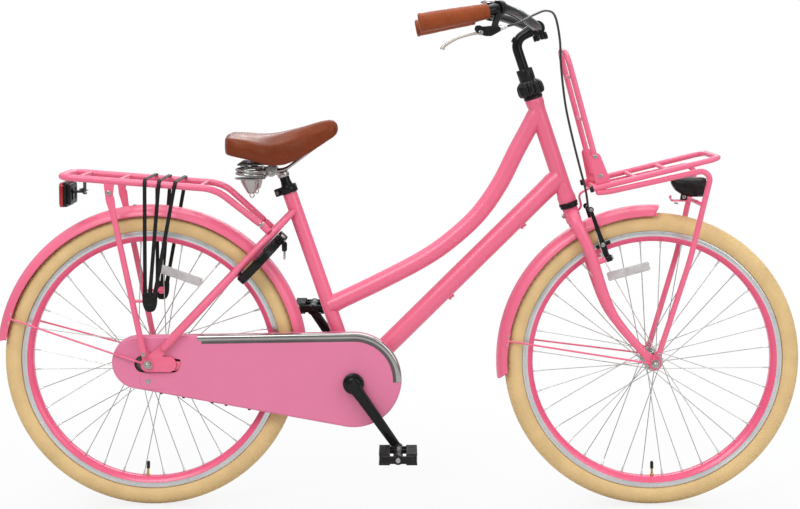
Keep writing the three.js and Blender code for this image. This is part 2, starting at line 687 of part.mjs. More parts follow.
// Chaincase: a shell round the chain, open towards the wheel inside its rim
const chaincase = {
  rearLobe: 58, rearBack: 23, rearUp: 2.5, frontLobe: 104.5, frontUp: 5.5, wall: 1.6, outer: 58.6, inner: 39.8,
  lip: 12, crankHole: 25, slotFront: 60, slotHalf: 19, slotBack: 12, coverRadius: 18, coverBack: 1, coverDrop: 38.5,
  coverThickness: 1.6, coverTail: 70, screw: 4, screwRise: 1.2,
};
const caseEnds = [
  { x: rearAxle.x - chaincase.rearBack, z: rearAxle.z + chaincase.rearUp }, chaincase.rearLobe,
  { x: bracket.x, z: bracket.z + chaincase.frontUp }, chaincase.frontLobe,
];
function makeChaincase() {
  const { outer, inner, wall, lip } = chaincase;
  const outline = (offset) => new THREE.Shape(beltPoints(...caseEnds, offset, 10));
  const slotRear = { x: rearAxle.x - chaincase.slotBack, z: rearAxle.z };
  const slotFront = { x: rearAxle.x + chaincase.slotFront, z: rearAxle.z };
  const cover = { x: rearAxle.x - chaincase.coverBack, z: rearAxle.z - chaincase.coverDrop };
  const coverTail = { x: cover.x + chaincase.coverTail, z: cover.z - chaincase.coverRadius / 2 };
  const screwSpot = (y) => at(cover.x, -y, cover.z);
  const face = outer - wall / 2;
  part('chaincase', cut(
    join([
      plate(outline(0), -outer, -inner),
      plate(beltShape(cover, chaincase.coverRadius, coverTail, chaincase.coverRadius / 2, 0, 5),
        -outer - chaincase.coverThickness, -face),
      rod(screwSpot(face), screwSpot(outer + chaincase.coverThickness + chaincase.screwRise), chaincase.screw, 8),
    ]),
    [
      plate(outline(-wall), -outer + wall, -inner - wall),
      plate(outline(-lip), -inner - wall - gap, gap - inner),
      plate(beltShape(slotRear, chaincase.slotHalf, slotFront, chaincase.slotHalf, 0, 5), -outer - wall, -face + wall),
      axleRod(bracket, rearHubWidth, chaincase.crankHole, 16),
    ],
  ), 'lilac');
}
makeChaincase();

// Bright strip along the chaincase's upper edge and round its nose
const trim = { inset: 1.5, width: 16.5, thickness: 1.2, back: 115, endAngle: -2, facets: 10 };
function makeTrim() {
  const [, , nose, radius] = caseEnds;
  const [tangentRear, tangentFront] = [beltPoints(...caseEnds)[0], beltPoints(...caseEnds).at(-1)];
  const slope = Math.atan2(tangentFront.y - tangentRear.y, tangentFront.x - tangentRear.x);
  const edge = (inset) => {
    const points = [new THREE.Vector2(
      tangentRear.x + (trim.back + inset) * Math.cos(slope) + inset * Math.sin(slope),
      tangentRear.y + (trim.back + inset) * Math.sin(slope) - inset * Math.cos(slope),
    )];
    for (let i = 0; i <= trim.facets; i += 1) {
      const angle = THREE.MathUtils.lerp(Math.PI / 2 + slope, radians(trim.endAngle), i / trim.facets);
      points.push(new THREE.Vector2(
        nose.x + (radius - inset) * Math.cos(angle),
        nose.z + (radius - inset) * Math.sin(angle),
      ));
    }
    return points;
  };
  const shape = new THREE.Shape([...edge(trim.inset), ...edge(trim.inset + trim.width).reverse()]);
  part('chaincase_trim', plate(shape, -chaincase.outer - gap - trim.thickness, -chaincase.outer - gap), 'chrome');
}
makeTrim();

// Mudguards: a thin arched strip round the tyre, with a wire stay to the axle on each side
const guard = {
  aboveTyre: 18.5, belowTyre: 4.5, halfWidth: 29, wall: 1.4, stepAngle: 13.5, sectionSteps: 4, wire: 2.1,
  tab: 3.2, tabAngle: 4, kneeShare: 0.1,
};
guard.crown = wheelRadius + guard.aboveTyre;
guard.skirt = wheelRadius - guard.belowTyre;
const guardAngles = {
  rear: { start: -15, end: 173, tab: 163 },
  front: { start: 88, end: 187, tab: 172 },
};
function guardSection() {
  const arc = (inset) => Array.from({ length: guard.sectionSteps + 1 }, (_, i) => {
    const angle = Math.PI * i / guard.sectionSteps;
    return new THREE.Vector2(
      (guard.halfWidth - inset) * Math.cos(angle),
      (guard.crown - guard.skirt - inset) * Math.sin(angle),
    );
  });
  return new THREE.Shape([...arc(0), ...arc(guard.wall).reverse()]);
}

function makeGuard(name, centre, stack) {
  const { start, end, tab: tabAngle } = guardAngles[name];
  const steps = Math.round((end - start) / guard.stepAngle);
  const path = Array.from({ length: steps + 1 }, (_, i) =>
    around(centre, start + (end - start) * i / steps, guard.skirt));
  const pieces = [sweep(path, guardSection())];
  const edge = (eyelet.radius - axle.nut) / 2;
  for (const [, side] of sides) {
    const tab = around(centre, tabAngle, guard.skirt + guard.wire, side * guard.halfWidth);
    const loop = around(centre, tabAngle, eyelet.radius - edge, side * (stack + guard.wire));
    const knee = loop.clone().lerp(tab, guard.kneeShare).setY(loop.y);
    pieces.push(tube([loop, knee, tab], guard.wire, guard.wire * 3, 6, 2));
    const eye = [stack, stack + eyelet.thickness].map((y) => at(centre.x, side * y, centre.z));
    pieces.push(rod(...eye, eyelet.radius, 8));
    pieces.push(rod(
      around(centre, tabAngle - guard.tabAngle, guard.skirt + guard.wire, side * guard.halfWidth),
      around(centre, tabAngle + guard.tabAngle, guard.skirt + guard.wire, side * guard.halfWidth),
      guard.tab,
      6,
    ));
  }
  part(`${name}_mudguard`, cut(join(pieces), [axleRod(centre, rearHubWidth, eyelet.bore, 8)]), 'pink');
}
makeGuard('rear', rearAxle, dropoutFace + dropout.thickness + gap);
makeGuard('front', frontAxle, frontFace + forkEnd.thickness + gap);

// Headset: a cup below the head tube and a ribbed collar with its sleeve above
const lowerCup = { radius: 21, bore: 13.4, height: 12.4 };
const crown = { top: headTube.foot - lowerCup.height - 2 * gap, height: 32, radius: 17, reach: 47, barWidth: 13 };
part('headset_lower_cup', pipe(
  steering(headTube.foot - gap - lowerCup.height),
  steering(headTube.foot - gap),
  lowerCup.radius,
  lowerCup.bore,
  16,
), 'black');

const collar = {
  cup: 21, cupHeight: 7, bulb: 30, bulbInset: 25, bulbHeight: 36, sleeve: 18, sleeveHeight: 26, bore: 13.4,
  ribs: 10, rib: 5,
};
const ribbedSection = () => new THREE.Shape(Array.from({ length: collar.ribs * 2 }, (_, i) => {
  const angle = Math.PI * i / collar.ribs;
  const radius = collar.bulb - (i % 2) * collar.rib;
  return new THREE.Vector2(radius * Math.cos(angle), radius * Math.sin(angle));
}));
const collarFoot = headTube.top + gap;
const collarSleeve = collarFoot + collar.cupHeight + collar.bulbHeight;
const collarTop = collarSleeve + collar.sleeveHeight;
part('headset_collar', join([
  turned([
    [collar.bore, 0], [collar.cup, 0], [collar.cup, collar.cupHeight], [collar.bulbInset, collar.cupHeight],
    [collar.bulbInset, collar.cupHeight + collar.bulbHeight * 3 / 4],
    [collar.sleeve, collar.cupHeight + collar.bulbHeight],
    [collar.sleeve, collarTop - collarFoot], [collar.bore, collarTop - collarFoot], [collar.bore, 0],
  ], steering(collarFoot), steering(collarTop), 12),
  cut(sweep([
    steering(collarFoot + collar.cupHeight + collar.rib / 2),
    steering(collarFoot + collar.cupHeight + collar.bulbHeight * 3 / 4),
  ], ribbedSection()), [rod(steering(collarFoot), steering(collarTop), collar.sleeve, 8)]),
]), 'black');

// Fork: steerer, crown and two blades that sweep forward to the axle
const fork = { steerer: 12.8, bore: 11.7, boreDepth: 150, topRadius: 13, endRadius: 8.2, topSide: 46, endSide: 47 };
const armPin = { belowRim: 37, ahead: 41, side: 43, radius: 3.5, boss: 6.5, bossEnd: 36, end: 51, root: 10 };
armPin.along = rim.outer - armPin.belowRim;
const bladeShares = [[1, 0], [0.78, 0.12], [0.37, 0.19], [0.14, 0.62], [0.035, 0.88]];
const crownMiddle = crown.top - crown.height / 2;
function makeFork() {
  const pieces = [
    rod(steering(crown.top - crown.height), steering(crown.top), crown.radius, 12),
    rod(steering(crownMiddle, 0, -crown.reach), steering(crownMiddle, 0, crown.reach), crown.barWidth, 8),
    rod(steering(crownMiddle), steering(collarTop - gap), fork.steerer, 12),
  ];
  for (const [, side] of sides) {
    const path = bladeShares.map(([along, ahead], i) => steering(
      crownMiddle * along,
      forkRake * ahead,
      side * THREE.MathUtils.lerp(fork.topSide, fork.endSide, i / (bladeShares.length - 1)),
    ));
    const rings = smooth(path, 6);
    pieces.push(sweep(rings, ovalSection(fork.endRadius, fork.topRadius, 8)));
    const faces = [frontFace, frontFace + forkEnd.thickness].map((y) => y * side).sort((a, b) => a - b);
    const pinSpot = (ahead) => steering(armPin.along, ahead, side * armPin.side);
    pieces.push(rod(pinSpot(armPin.root), pinSpot(armPin.bossEnd), armPin.boss, 8));
    pieces.push(rod(pinSpot(armPin.root), pinSpot(armPin.end), armPin.radius, 8));
    const upper = { x: path.at(-2).x, z: path.at(-2).z };
    pieces.push(plate(beltShape(frontAxle, forkEnd.radius, upper, fork.endRadius, 0, 5), ...faces));
  }
  part('fork', cut(join(pieces), [
    axleRod(frontAxle, frontHubWidth, forkEnd.bore, 8),
    axleRod(frontAxle, frontFace, forkEnd.radius + forkEnd.thickness, 10),
    rod(steering(collarTop - fork.boreDepth), steering(collarTop + fork.boreDepth), fork.bore, 10),
  ]), 'pink');
}
makeFork();

// Stem: a quill in the steerer, bent forward to the bar clamp
const bar = { radius: 11.1 };
const stem = {
  radius: 11, insert: 70, rise: 140, clampAlong: 145, clampAhead: 54, bend: 12, clamp: 17, clampHalf: 21,
  boltDrop: 22, bolt: 5, boltLength: 15, drop: 5,
};
const clampSpot = (side) => steering(headTube.top + stem.clampAlong, stem.clampAhead, side);
const clampCentre = clampSpot(0);
const makeStem = (core) => part('stem', cut(join([
  tube([
    steering(collarTop - stem.insert),
    steering(headTube.top + stem.rise),
    clampCentre.clone().addScaledVector(steering.ahead, -stem.clamp / 2),
  ], stem.radius, stem.bend, 8),
  rod(clampSpot(-stem.clampHalf), clampSpot(stem.clampHalf), stem.clamp, 12),
  rod(
    clampCentre.clone().addScaledVector(steering.along, -stem.boltDrop - stem.boltLength / 2),
    clampCentre.clone().addScaledVector(steering.along, -stem.drop),
    stem.bolt * 2,
    6,
  ),
]), [core]), 'black');

// Handlebar, swept up, out and back to the grips; shares are of its reach, half width and rise
const sweepBack = { reach: 262, halfWidth: 303, rise: 36 };
const barShares = [
  [0, 0.083, 0], [0.061, 0.264, 0.22], [0.168, 0.495, 0.61], [0.286, 0.76, 0.92], [0.374, 0.9, 1], [0.48, 0.964, 0.8],
  [0.74, 0.99, 0.47], [0.985, 1, 0.14],
];
const barSpot = (side, [back, out, up]) => at(
  clampCentre.x - back * sweepBack.reach,
  side * out * sweepBack.halfWidth,
  clampCentre.z + up * sweepBack.rise,
);
const halfBars = sides.map(([, side]) =>
  new THREE.CatmullRomCurve3(barShares.map((share) => barSpot(side, share)), false, 'centripetal'));
const barRings = 9;
const barPath = [
  ...halfBars[0].getSpacedPoints(barRings).reverse(),
  ...halfBars[1].getSpacedPoints(barRings),
];
part('handlebar', sweep(barPath, roundSection(bar.radius, 8)), 'black');
const barCore = sweep(barPath, roundSection(bar.radius + 2 * gap, 8));
makeStem(barCore);

// Grips over the last stretch of each side, wider towards the rider
const grip = { length: 136, inner: 16, outer: 19.5, flange: 20.5, flangeLength: 5, cap: 3 };
for (const [i, [name, side]] of sides.entries()) {
  const curve = halfBars[i];
  const length = curve.getLength();
  const spot = (back) => curve.getPointAt(1 - back / length);
  const endDirection = curve.getTangentAt(1);
  const end = spot(0).addScaledVector(endDirection, grip.cap);
  const middle = spot(grip.length / 2);
  const start = spot(grip.length);
  const heading = start.clone().sub(end).normalize();
  part(`grip_${name}`, cut(join([
    rod(end, middle, grip.outer, 8, (grip.inner + grip.outer) / 2),
    rod(middle, start, (grip.inner + grip.outer) / 2, 8, grip.inner),
    rod(end, end.clone().addScaledVector(heading, grip.flangeLength), grip.flange, 8),
  ]), [barCore]), 'brown');
}

// Bell on the left of the bar: a dome on a base with a clamp round the bar, and its thumb lever
const bell = {
  share: 0.565, clamp: 14.5, clampHalf: 7, post: 5, rise: 27, dome: 23, domeHeight: 15, wall: 1.5, base: 19,
  baseHeight: 4, leverLength: 22, leverWidth: 6, leverHeight: 4, leverBack: 12, leverReach: 7, pin: 1.6,
};
const bellFoot = halfBars[1].getPointAt(bell.share);
const bellLine = halfBars[1].getTangentAt(bell.share);
const bellBase = bellFoot.clone().setZ(bellFoot.z + bell.rise - bell.baseHeight);
const bellPivot = bellBase.clone().add(at(-bell.leverBack, 0, -gap - bell.leverHeight / 2));
const lifted = (from, height) => from.clone().setZ(from.z + height);
part('bell', cut(join([
  rod(bellFoot.clone().addScaledVector(bellLine, -bell.clampHalf), bellFoot.clone().addScaledVector(bellLine, bell.clampHalf), bell.clamp, 8),
  rod(bellFoot, bellBase, bell.post, 6),
  rod(bellBase, lifted(bellBase, bell.baseHeight), bell.base, 10),
  rod(lifted(bellPivot, -bell.leverHeight), lifted(bellPivot, bell.leverHeight), bell.pin, 6),
  turned([
    [0, bell.baseHeight], [bell.post, bell.baseHeight], [bell.post, bell.domeHeight - bell.wall * 2],
    [bell.dome - bell.wall, bell.baseHeight + bell.wall * 2], [bell.dome, bell.baseHeight + bell.wall],
    [bell.dome - bell.wall * 2, bell.domeHeight * 3 / 4], [bell.dome / 2, bell.domeHeight], [0, bell.domeHeight + bell.wall],
  ], bellBase, lifted(bellBase, bell.domeHeight), 10),
]), [barCore]), 'chrome');
part('bell_lever', cut(
  box(
    bellPivot.clone().add(at(-bell.leverReach, 0, 0)),
    bell.leverLength,
    bell.leverWidth,
    bell.leverHeight,
  ),
  [rod(lifted(bellPivot, -bell.leverHeight), lifted(bellPivot, bell.leverHeight), bell.pin + gap, 6)],
), 'black');

// Brake lever: a body hung from a band round the bar by the right grip, with its blade below the grip
const lever = {
  share: 0.615, out: 20, clamp: 15.5, clampHalf: 7, bodyAhead: -25, drop: 46, bodyLength: 53, bodyWidth: 17,
  bodyHeight: 22, neck: 9, neckAhead: -12, pivotAhead: -14, pivotDrop: 4, barrelAhead: 24, barrelRise: 5,
  barrel: 5, barrelLength: 15, barrelSlope: 4, bladeLength: 78, bladeDrop: 32, bladeWidth: 12,
  bladeHeight: 8, pin: 3, slotAhead: -18, slotLength: 28,
};
const leverShares = [[-0.1, 0], [0.25, 0.1], [0.62, 0.42], [1, 1]];
const leverFoot = halfBars[0].getPointAt(lever.share);
const leverLine = halfBars[0].getTangentAt(lever.share);
const fromLever = (ahead, down) => leverFoot.clone().add(at(ahead, -lever.out, -down));
const leverBody = fromLever(lever.bodyAhead, lever.drop);
const leverPivot = leverBody.clone().add(at(lever.pivotAhead, 0, -lever.pivotDrop));
const bladePath = leverShares.map(([back, down]) =>
  leverPivot.clone().add(at(-back * lever.bladeLength, 0, -down * lever.bladeDrop)));
const leverSlot = box(
  leverBody.clone().add(at(lever.slotAhead, 0, 0)),
  lever.slotLength,
  lever.bladeWidth + 2 * gap,
  lever.bodyHeight * 2,
);
const leverPin = (radius, half) => rod(
  leverPivot.clone().add(at(0, -half, 0)),
  leverPivot.clone().add(at(0, half, 0)),
  radius,
  8,
);
const barrelFrom = leverBody.clone().add(at(lever.barrelAhead, 0, lever.barrelRise));
const barrelTo = barrelFrom.clone().add(at(lever.barrelLength, 0, lever.barrelSlope));
part('brake_lever_body', cut(join([
  cut(join([
    rod(
      leverFoot.clone().addScaledVector(leverLine, -lever.clampHalf),
      leverFoot.clone().addScaledVector(leverLine, lever.clampHalf),
      lever.clamp,
      8,
    ),
    rod(leverFoot, fromLever(lever.neckAhead, lever.drop), lever.neck, 6),
    box(leverBody, lever.bodyLength, lever.bodyWidth, lever.bodyHeight),
    rod(barrelFrom, barrelTo, lever.barrel, 8),
  ]), [leverSlot]),
  leverPin(lever.pin, lever.bodyWidth / 2),
]), [barCore]), 'black');
part('brake_lever', cut(
  sweep(smooth(bladePath, 6), barSection(lever.bladeHeight / 2, lever.bladeWidth / 2)),
  [leverPin(lever.pin + gap, lever.bodyWidth)],
), 'steel');

// Rim brake: two arms on pivots in front of the fork blades, each with its pad
const armSizes = {
  length: 114, width: 7, depth: 9, pivot: 7.5, padAngle: 113.4,
  padDrop: 6.7, padLength: 34, padHeight: 8, padThickness: 9, padGap: 2.4, boss: 4, bossLength: 29, lean: 1,
  padAlong: 32, anchor: 4,
};
const armLine = line(steering(armPin.along, armPin.ahead), halfTurn - steeringAngle + armSizes.lean);
for (const [name, side] of sides) {
  const spot = (along, ahead, y) => armLine(along, ahead, y * side);
  const padMiddle = rim.half + armSizes.padGap + armSizes.padThickness / 2;
  const padCentre = around(frontAxle, armSizes.padAngle, rim.outer - armSizes.padDrop, padMiddle * side);
  const pad = new THREE.BoxGeometry(armSizes.padLength, armSizes.padThickness, armSizes.padHeight);
  pad.rotateY(radians(halfTurn / 2 - armSizes.padAngle)).translate(padCentre.x, padCentre.y, padCentre.z);
  const bore = (radius) =>
    rod(spot(0, -armSizes.depth * 2, armPin.side), spot(0, armSizes.depth * 2, armPin.side), radius, 10);
  part(`brake_arm_${name}`, cut(join([
    sweep(
      [spot(0, 0, armPin.side), spot(armSizes.length, 0, armPin.side)],
      barSection(armSizes.width / 2, armSizes.depth / 2),
    ),
    rod(spot(0, -armSizes.depth / 2, armPin.side), spot(0, armSizes.depth, armPin.side), armSizes.pivot, 10),
    rod(spot(armSizes.padAlong, 0, armPin.side), padCentre, armSizes.boss, 8),
    pad,
    rod(
      spot(armSizes.length, 0, armPin.side),
      spot(armSizes.length, 0, armPin.side - armSizes.bossLength),
      armSizes.anchor,
      6,
    ),
  ]), [bore(armPin.radius + gap)]), 'black');
}

// Brake cable, held from the lever to the arms
const cableRadius = 2.6;
const cableTop = armLine(armSizes.length + armSizes.anchor + gap, 0);
const cableRoute = [
  barrelTo.clone().addScaledVector(barrelTo.clone().sub(barrelFrom).normalize(), 4 * gap),
  at(232, -286, 1064), at(269, -215, 1082), at(303, -150, 1093), at(326, -95, 1082), at(340, -62, 1030),
  at(343, -48, 989), at(349, -42, 935), at(357, -38, 883), at(373, -33, 815), at(389, -27, 755),
  at(401, -18, 714), at(407, -7, 690), lifted(cableTop, cableRadius),
];
part('brake_cable', sweep(smooth(cableRoute, 28), roundSection(cableRadius, 5)), 'black');

// Front carrier on the axle and the crown, with base plates for its backrest
const frontRack = {
  tube: 6.2, halfWidth: 90, reach: 128, reachRise: 108.5, back: 148, backRise: 40.5, lowerDrop: 14, lowerBack: 138,
  legReach: 113, legRise: 85.5, kneeReach: 69, kneeRise: -115.5, legSide: 62.4, bend: 26, cross: 4.5,
  footReach: 4, footRise: 13.5, footRadius: 6,
  plateLength: 26, plateHeight: 74, plateThickness: 3, plateBack: 132, strapSide: 24, strap: 2.5,
  lampStrip: 3, lampRise: 5.5, lampBack: 56, lampHalf: 12,
};
const crossShares = [0.36, 0.61];
const rackSpot = (reach, side, rise) => at(frontAxle.x + reach, side, frontAxle.z + guard.crown + rise);
const railRise = (reach) => THREE.MathUtils.mapLinear(
  reach, -frontRack.back, frontRack.reach, frontRack.backRise, frontRack.reachRise);
function makeFrontRack() {
  const {
    tube: radius, halfWidth, reach, back, bend, lowerDrop, lowerBack, legReach, legRise, kneeReach, kneeRise,
  } = frontRack;
  const pieces = [tube([
    rackSpot(-back, -halfWidth, frontRack.backRise), rackSpot(reach, -halfWidth, frontRack.reachRise),
    rackSpot(reach, halfWidth, frontRack.reachRise), rackSpot(-back, halfWidth, frontRack.backRise),
  ], radius, bend)];
  const legSide = (rise) => THREE.MathUtils.mapLinear(rise, legRise, -guard.crown, halfWidth, frontRack.legSide);
  const footRise = frontRack.footRise - guard.crown;
  for (const [, side] of sides) {
    pieces.push(tube([
      rackSpot(-lowerBack, side * halfWidth, railRise(-lowerBack) - lowerDrop),
      rackSpot(legReach, side * halfWidth, legRise),
      rackSpot(kneeReach, side * legSide(kneeRise), kneeRise),
      rackSpot(frontRack.footReach, side * legSide(footRise), footRise),
    ], radius, bend, 6, 2));
    const eyeStart = frontFace + forkEnd.thickness + eyelet.thickness + 2 * gap;
    const faces = [eyeStart, eyeStart + eyelet.thickness].map((y) => y * side).sort((a, b) => a - b);
    const footEnd = rackSpot(frontRack.footReach, 0, footRise + eyelet.rackRadius);
    pieces.push(plate(beltShape(frontAxle, eyelet.rackRadius, footEnd, frontRack.footRadius, 0, 4), ...faces));
    pieces.push(box(
      rackSpot(
        -frontRack.plateBack,
        side * (halfWidth - radius),
        railRise(-frontRack.plateBack) + frontRack.plateHeight / 3,
      ),
      frontRack.plateLength,
      frontRack.plateThickness,
      frontRack.plateHeight,
    ));
  }
  for (const share of crossShares) {
    const spot = THREE.MathUtils.lerp(-back, reach, share);
    const height = railRise(spot) - lowerDrop / 2;
    pieces.push(rod(rackSpot(spot, -halfWidth, height), rackSpot(spot, halfWidth, height), frontRack.cross, 6));
  }
  const rearBar = -back + radius * 3;
  pieces.push(rod(
    rackSpot(rearBar, -halfWidth, railRise(rearBar) - lowerDrop / 2),
    rackSpot(rearBar, halfWidth, railRise(rearBar) - lowerDrop / 2),
    frontRack.cross,
    6,
  ));
  pieces.push(tube([
    rackSpot(rearBar, frontRack.strapSide, railRise(rearBar) - lowerDrop / 2),
    steering(crownMiddle, crown.radius + frontRack.strap * 4, frontRack.strapSide),
    steering(crownMiddle, crown.barWidth + gap, frontRack.strapSide),
  ], frontRack.strap, frontRack.strap * 2, 6, 2));
  const { lampRise } = frontRack;
  const lampShare = (lampRise - kneeRise) / (legRise - kneeRise);
  const lampReach = THREE.MathUtils.lerp(kneeReach, legReach, lampShare);
  pieces.push(rod(
    rackSpot(lampReach, -legSide(lampRise), lampRise),
    rackSpot(lampReach, legSide(lampRise), lampRise),
    frontRack.cross,
    6,
  ));
  pieces.push(box(
    rackSpot(lampReach - frontRack.lampBack / 2, 0, lampRise + frontRack.cross - frontRack.lampStrip / 2),
    frontRack.lampBack,
    frontRack.lampHalf * 2,
    frontRack.lampStrip,
  ));
  part('front_rack', cut(join(pieces), [axleRod(frontAxle, frontHubWidth, eyelet.bore, 8)]), 'pink');
  return lampReach;
}
const lampReach = makeFrontRack();

const backrest = {
  tube: 6.2, lean: 105.5, length: 265, halfWidth: 74, topHalfWidth: 66, bend: 34, foot: 8, cross: 4, bolt: 6,
};
const backrestShares = [0.2, 0.53];
const backrestBoltShares = [0.04, 0.19];
const backrestLine = line(
  rackSpot(-frontRack.plateBack + backrest.foot, 0, railRise(-frontRack.plateBack) + backrest.tube + backrest.foot),
  backrest.lean,
);
const backrestTop = backrest.length + backrest.foot * 3;
const backrestHalf = (along) => THREE.MathUtils.mapLinear(
  along, 0, backrestTop, backrest.halfWidth, backrest.topHalfWidth);
const backrestBoltEnd = frontRack.halfWidth - frontRack.tube - frontRack.plateThickness / 2 - gap;
part('front_rack_backrest', join([
  tube([
    backrestLine(0, 0, -backrest.halfWidth), backrestLine(backrestTop, 0, -backrest.topHalfWidth),
    backrestLine(backrestTop, 0, backrest.topHalfWidth), backrestLine(0, 0, backrest.halfWidth),
  ], backrest.tube, backrest.bend),
  ...backrestShares.map((share) => {
    const along = backrestTop * (1 - share);
    const half = backrestHalf(along);
    return rod(backrestLine(along, 0, -half), backrestLine(along, 0, half), backrest.cross, 6);
  }),
  ...sides.flatMap(([, side]) => backrestBoltShares.map((share) => rod(
    backrestLine(backrestTop * share, 0, side * (backrest.halfWidth - backrest.tube)),
    backrestLine(backrestTop * share, 0, side * backrestBoltEnd),
    backrest.bolt,
    6,
  ))),
]), 'pink');

// Headlight on its strip under the carrier
const lamp = { radius: 22, length: 81, rise: 33, foot: 8 };
const lampShares = [[0, 0.41], [0.12, 0.72], [0.32, 0.95], [0.55, 1], [0.79, 1], [0.92, 0.9], [1, 0.55]];
const lampAxis = (reach) => rackSpot(lampReach - frontRack.lampBack + reach, 0, frontRack.lampRise + lamp.rise);
part('headlight', join([
  turned([
    [0, 0],
    ...lampShares.map(([along, out]) => [lamp.radius * out, lamp.length * along]),
    [0, lamp.length],
  ], lampAxis(0), lampAxis(lamp.length), 12),
  rod(
    rackSpot(lampReach - frontRack.lampBack / 2, 0, frontRack.lampRise + frontRack.cross + gap),
    rackSpot(lampReach - frontRack.lampBack / 2, 0, frontRack.lampRise + lamp.rise - lamp.radius / 2),
    lamp.foot,
    8,
  ),
]), 'black');

// Rear carrier: one bent tube, three crossbars, and a leg to each dropout
const rearRack = {
  tube: 7.5, base: 345, halfWidth: 76, back: 185, backRise: 66.5, frontReach: 151, frontRise: 40.5, footReach: 248,
  footDrop: 41.5, footSide: 44, bend: 30, cross: 4.5, legTopBack: 78, legTopRise: 28.5, legFootBack: 8,
  legFootRise: 25.5, leg: 6.5, legTopSide: 79, legFootSide: 74, plate: 5, plateLength: 20, plateHeight: 40,
  shoe: 8, tabBack: 18, tabDrop: 203.5, tab: 4, boss: 5.5,
};
const crossbarShares = [0.116, 0.375, 0.899];
const carrierSpot = (reach, side, rise) => at(rearAxle.x + reach, side, rearAxle.z + rearRack.base + rise);
const carrierRise = (reach) => THREE.MathUtils.mapLinear(
  reach, -rearRack.back, rearRack.frontReach, rearRack.backRise, rearRack.frontRise);
function makeRearRack() {
  const { tube: radius, halfWidth, back, bend } = rearRack;
  const half = (side) => [
    carrierSpot(rearRack.footReach, side * rearRack.footSide, -rearRack.footDrop),
    carrierSpot(rearRack.frontReach, side * halfWidth, rearRack.frontRise),
    carrierSpot(-back, side * halfWidth, rearRack.backRise),
  ];
  const pieces = [tube([...half(-1), ...half(1).reverse()], radius, bend)];
  for (const share of crossbarShares) {
    const reach = THREE.MathUtils.lerp(-back, rearRack.frontReach, share);
    const ends = [-1, 1].map((side) => carrierSpot(reach, side * halfWidth, carrierRise(reach)));
    pieces.push(rod(...ends, rearRack.cross, 6));
  }
  for (const [, side] of sides) {
    const footRise = rearRack.legFootRise - rearRack.base;
    const top = carrierSpot(-rearRack.legTopBack, side * rearRack.legTopSide, rearRack.legTopRise);
    const foot = carrierSpot(-rearRack.legFootBack, side * rearRack.legFootSide, footRise);
    const tabSpot = top.clone().lerp(foot, (rearRack.legTopRise + rearRack.tabDrop) / (rearRack.legTopRise - footRise));
    pieces.push(rod(foot, top, rearRack.leg, 8));
    const bossEnd = (y) => foot.clone().setY(side * y);
    pieces.push(rod(
      bossEnd(dropoutFace + dropout.thickness + gap),
      bossEnd(rearRack.legFootSide + rearRack.leg),
      rearRack.boss,
      8,
    ));
    pieces.push(box(
      top.clone().setY(side * (halfWidth + rearRack.plate / 2)).add(at(0, 0, rearRack.plateHeight / 4)),
      rearRack.plateLength,
      rearRack.plate,
      rearRack.plateHeight,
    ));
    const shoe = carrierSpot(rearRack.footReach, side * rearRack.footSide, -rearRack.footDrop);
    const stayShare = stay.along.dot(shoe.clone().sub(rearAxle).setY(0));
    const toStay = stay.ahead.dot(shoe.clone().sub(rearAxle));
    const shoeEnd = stay(stayShare, Math.sign(toStay) * (seatStay.radius + gap), side * rearRack.footSide);
    pieces.push(rod(shoe, shoeEnd, rearRack.shoe, 8));
    pieces.push(rod(
      tabSpot,
      carrierSpot(rearRack.tabBack - rearRack.leg, side * (halfWidth + rearRack.tab), -rearRack.tabDrop),
      rearRack.tab,
      6,
    ));
  }
  part('rear_rack', cut(join(pieces), sides.map(([, side]) => seatStayCore(side))), 'pink');
}

// Round solid a little larger than a seat stay, to keep clear of it
function seatStayCore(side) {
  return sweep(seatStayPath(side), roundSection(seatStay.radius + gap, 8));
}
makeRearRack();

// Tail light hung from the carrier's last crossbar
const tailLight = {
  depth: 25, width: 84, height: 54, back: 170, topRise: 50.5, arm: 4, armWidth: 30, armDrop: 22, hangerBack: 146,
};
part('tail_light', join([
  box(
    carrierSpot(-tailLight.back - tailLight.depth / 2, 0, tailLight.topRise - tailLight.height / 2),
    tailLight.depth,
    tailLight.width,
    tailLight.height,
  ),
  sweep([
    carrierSpot(-tailLight.back - tailLight.arm, 0, tailLight.topRise - tailLight.armDrop),
    carrierSpot(-tailLight.hangerBack, 0, tailLight.topRise - tailLight.armDrop),
  ], barSection(tailLight.arm / 2, tailLight.armWidth / 2)),
  rod(
    carrierSpot(-tailLight.hangerBack, 0, tailLight.topRise - tailLight.armDrop),
    carrierSpot(-tailLight.hangerBack, 0, carrierRise(-tailLight.hangerBack) - rearRack.cross - gap),
    tailLight.arm,
    8,
  ),
]), 'red');

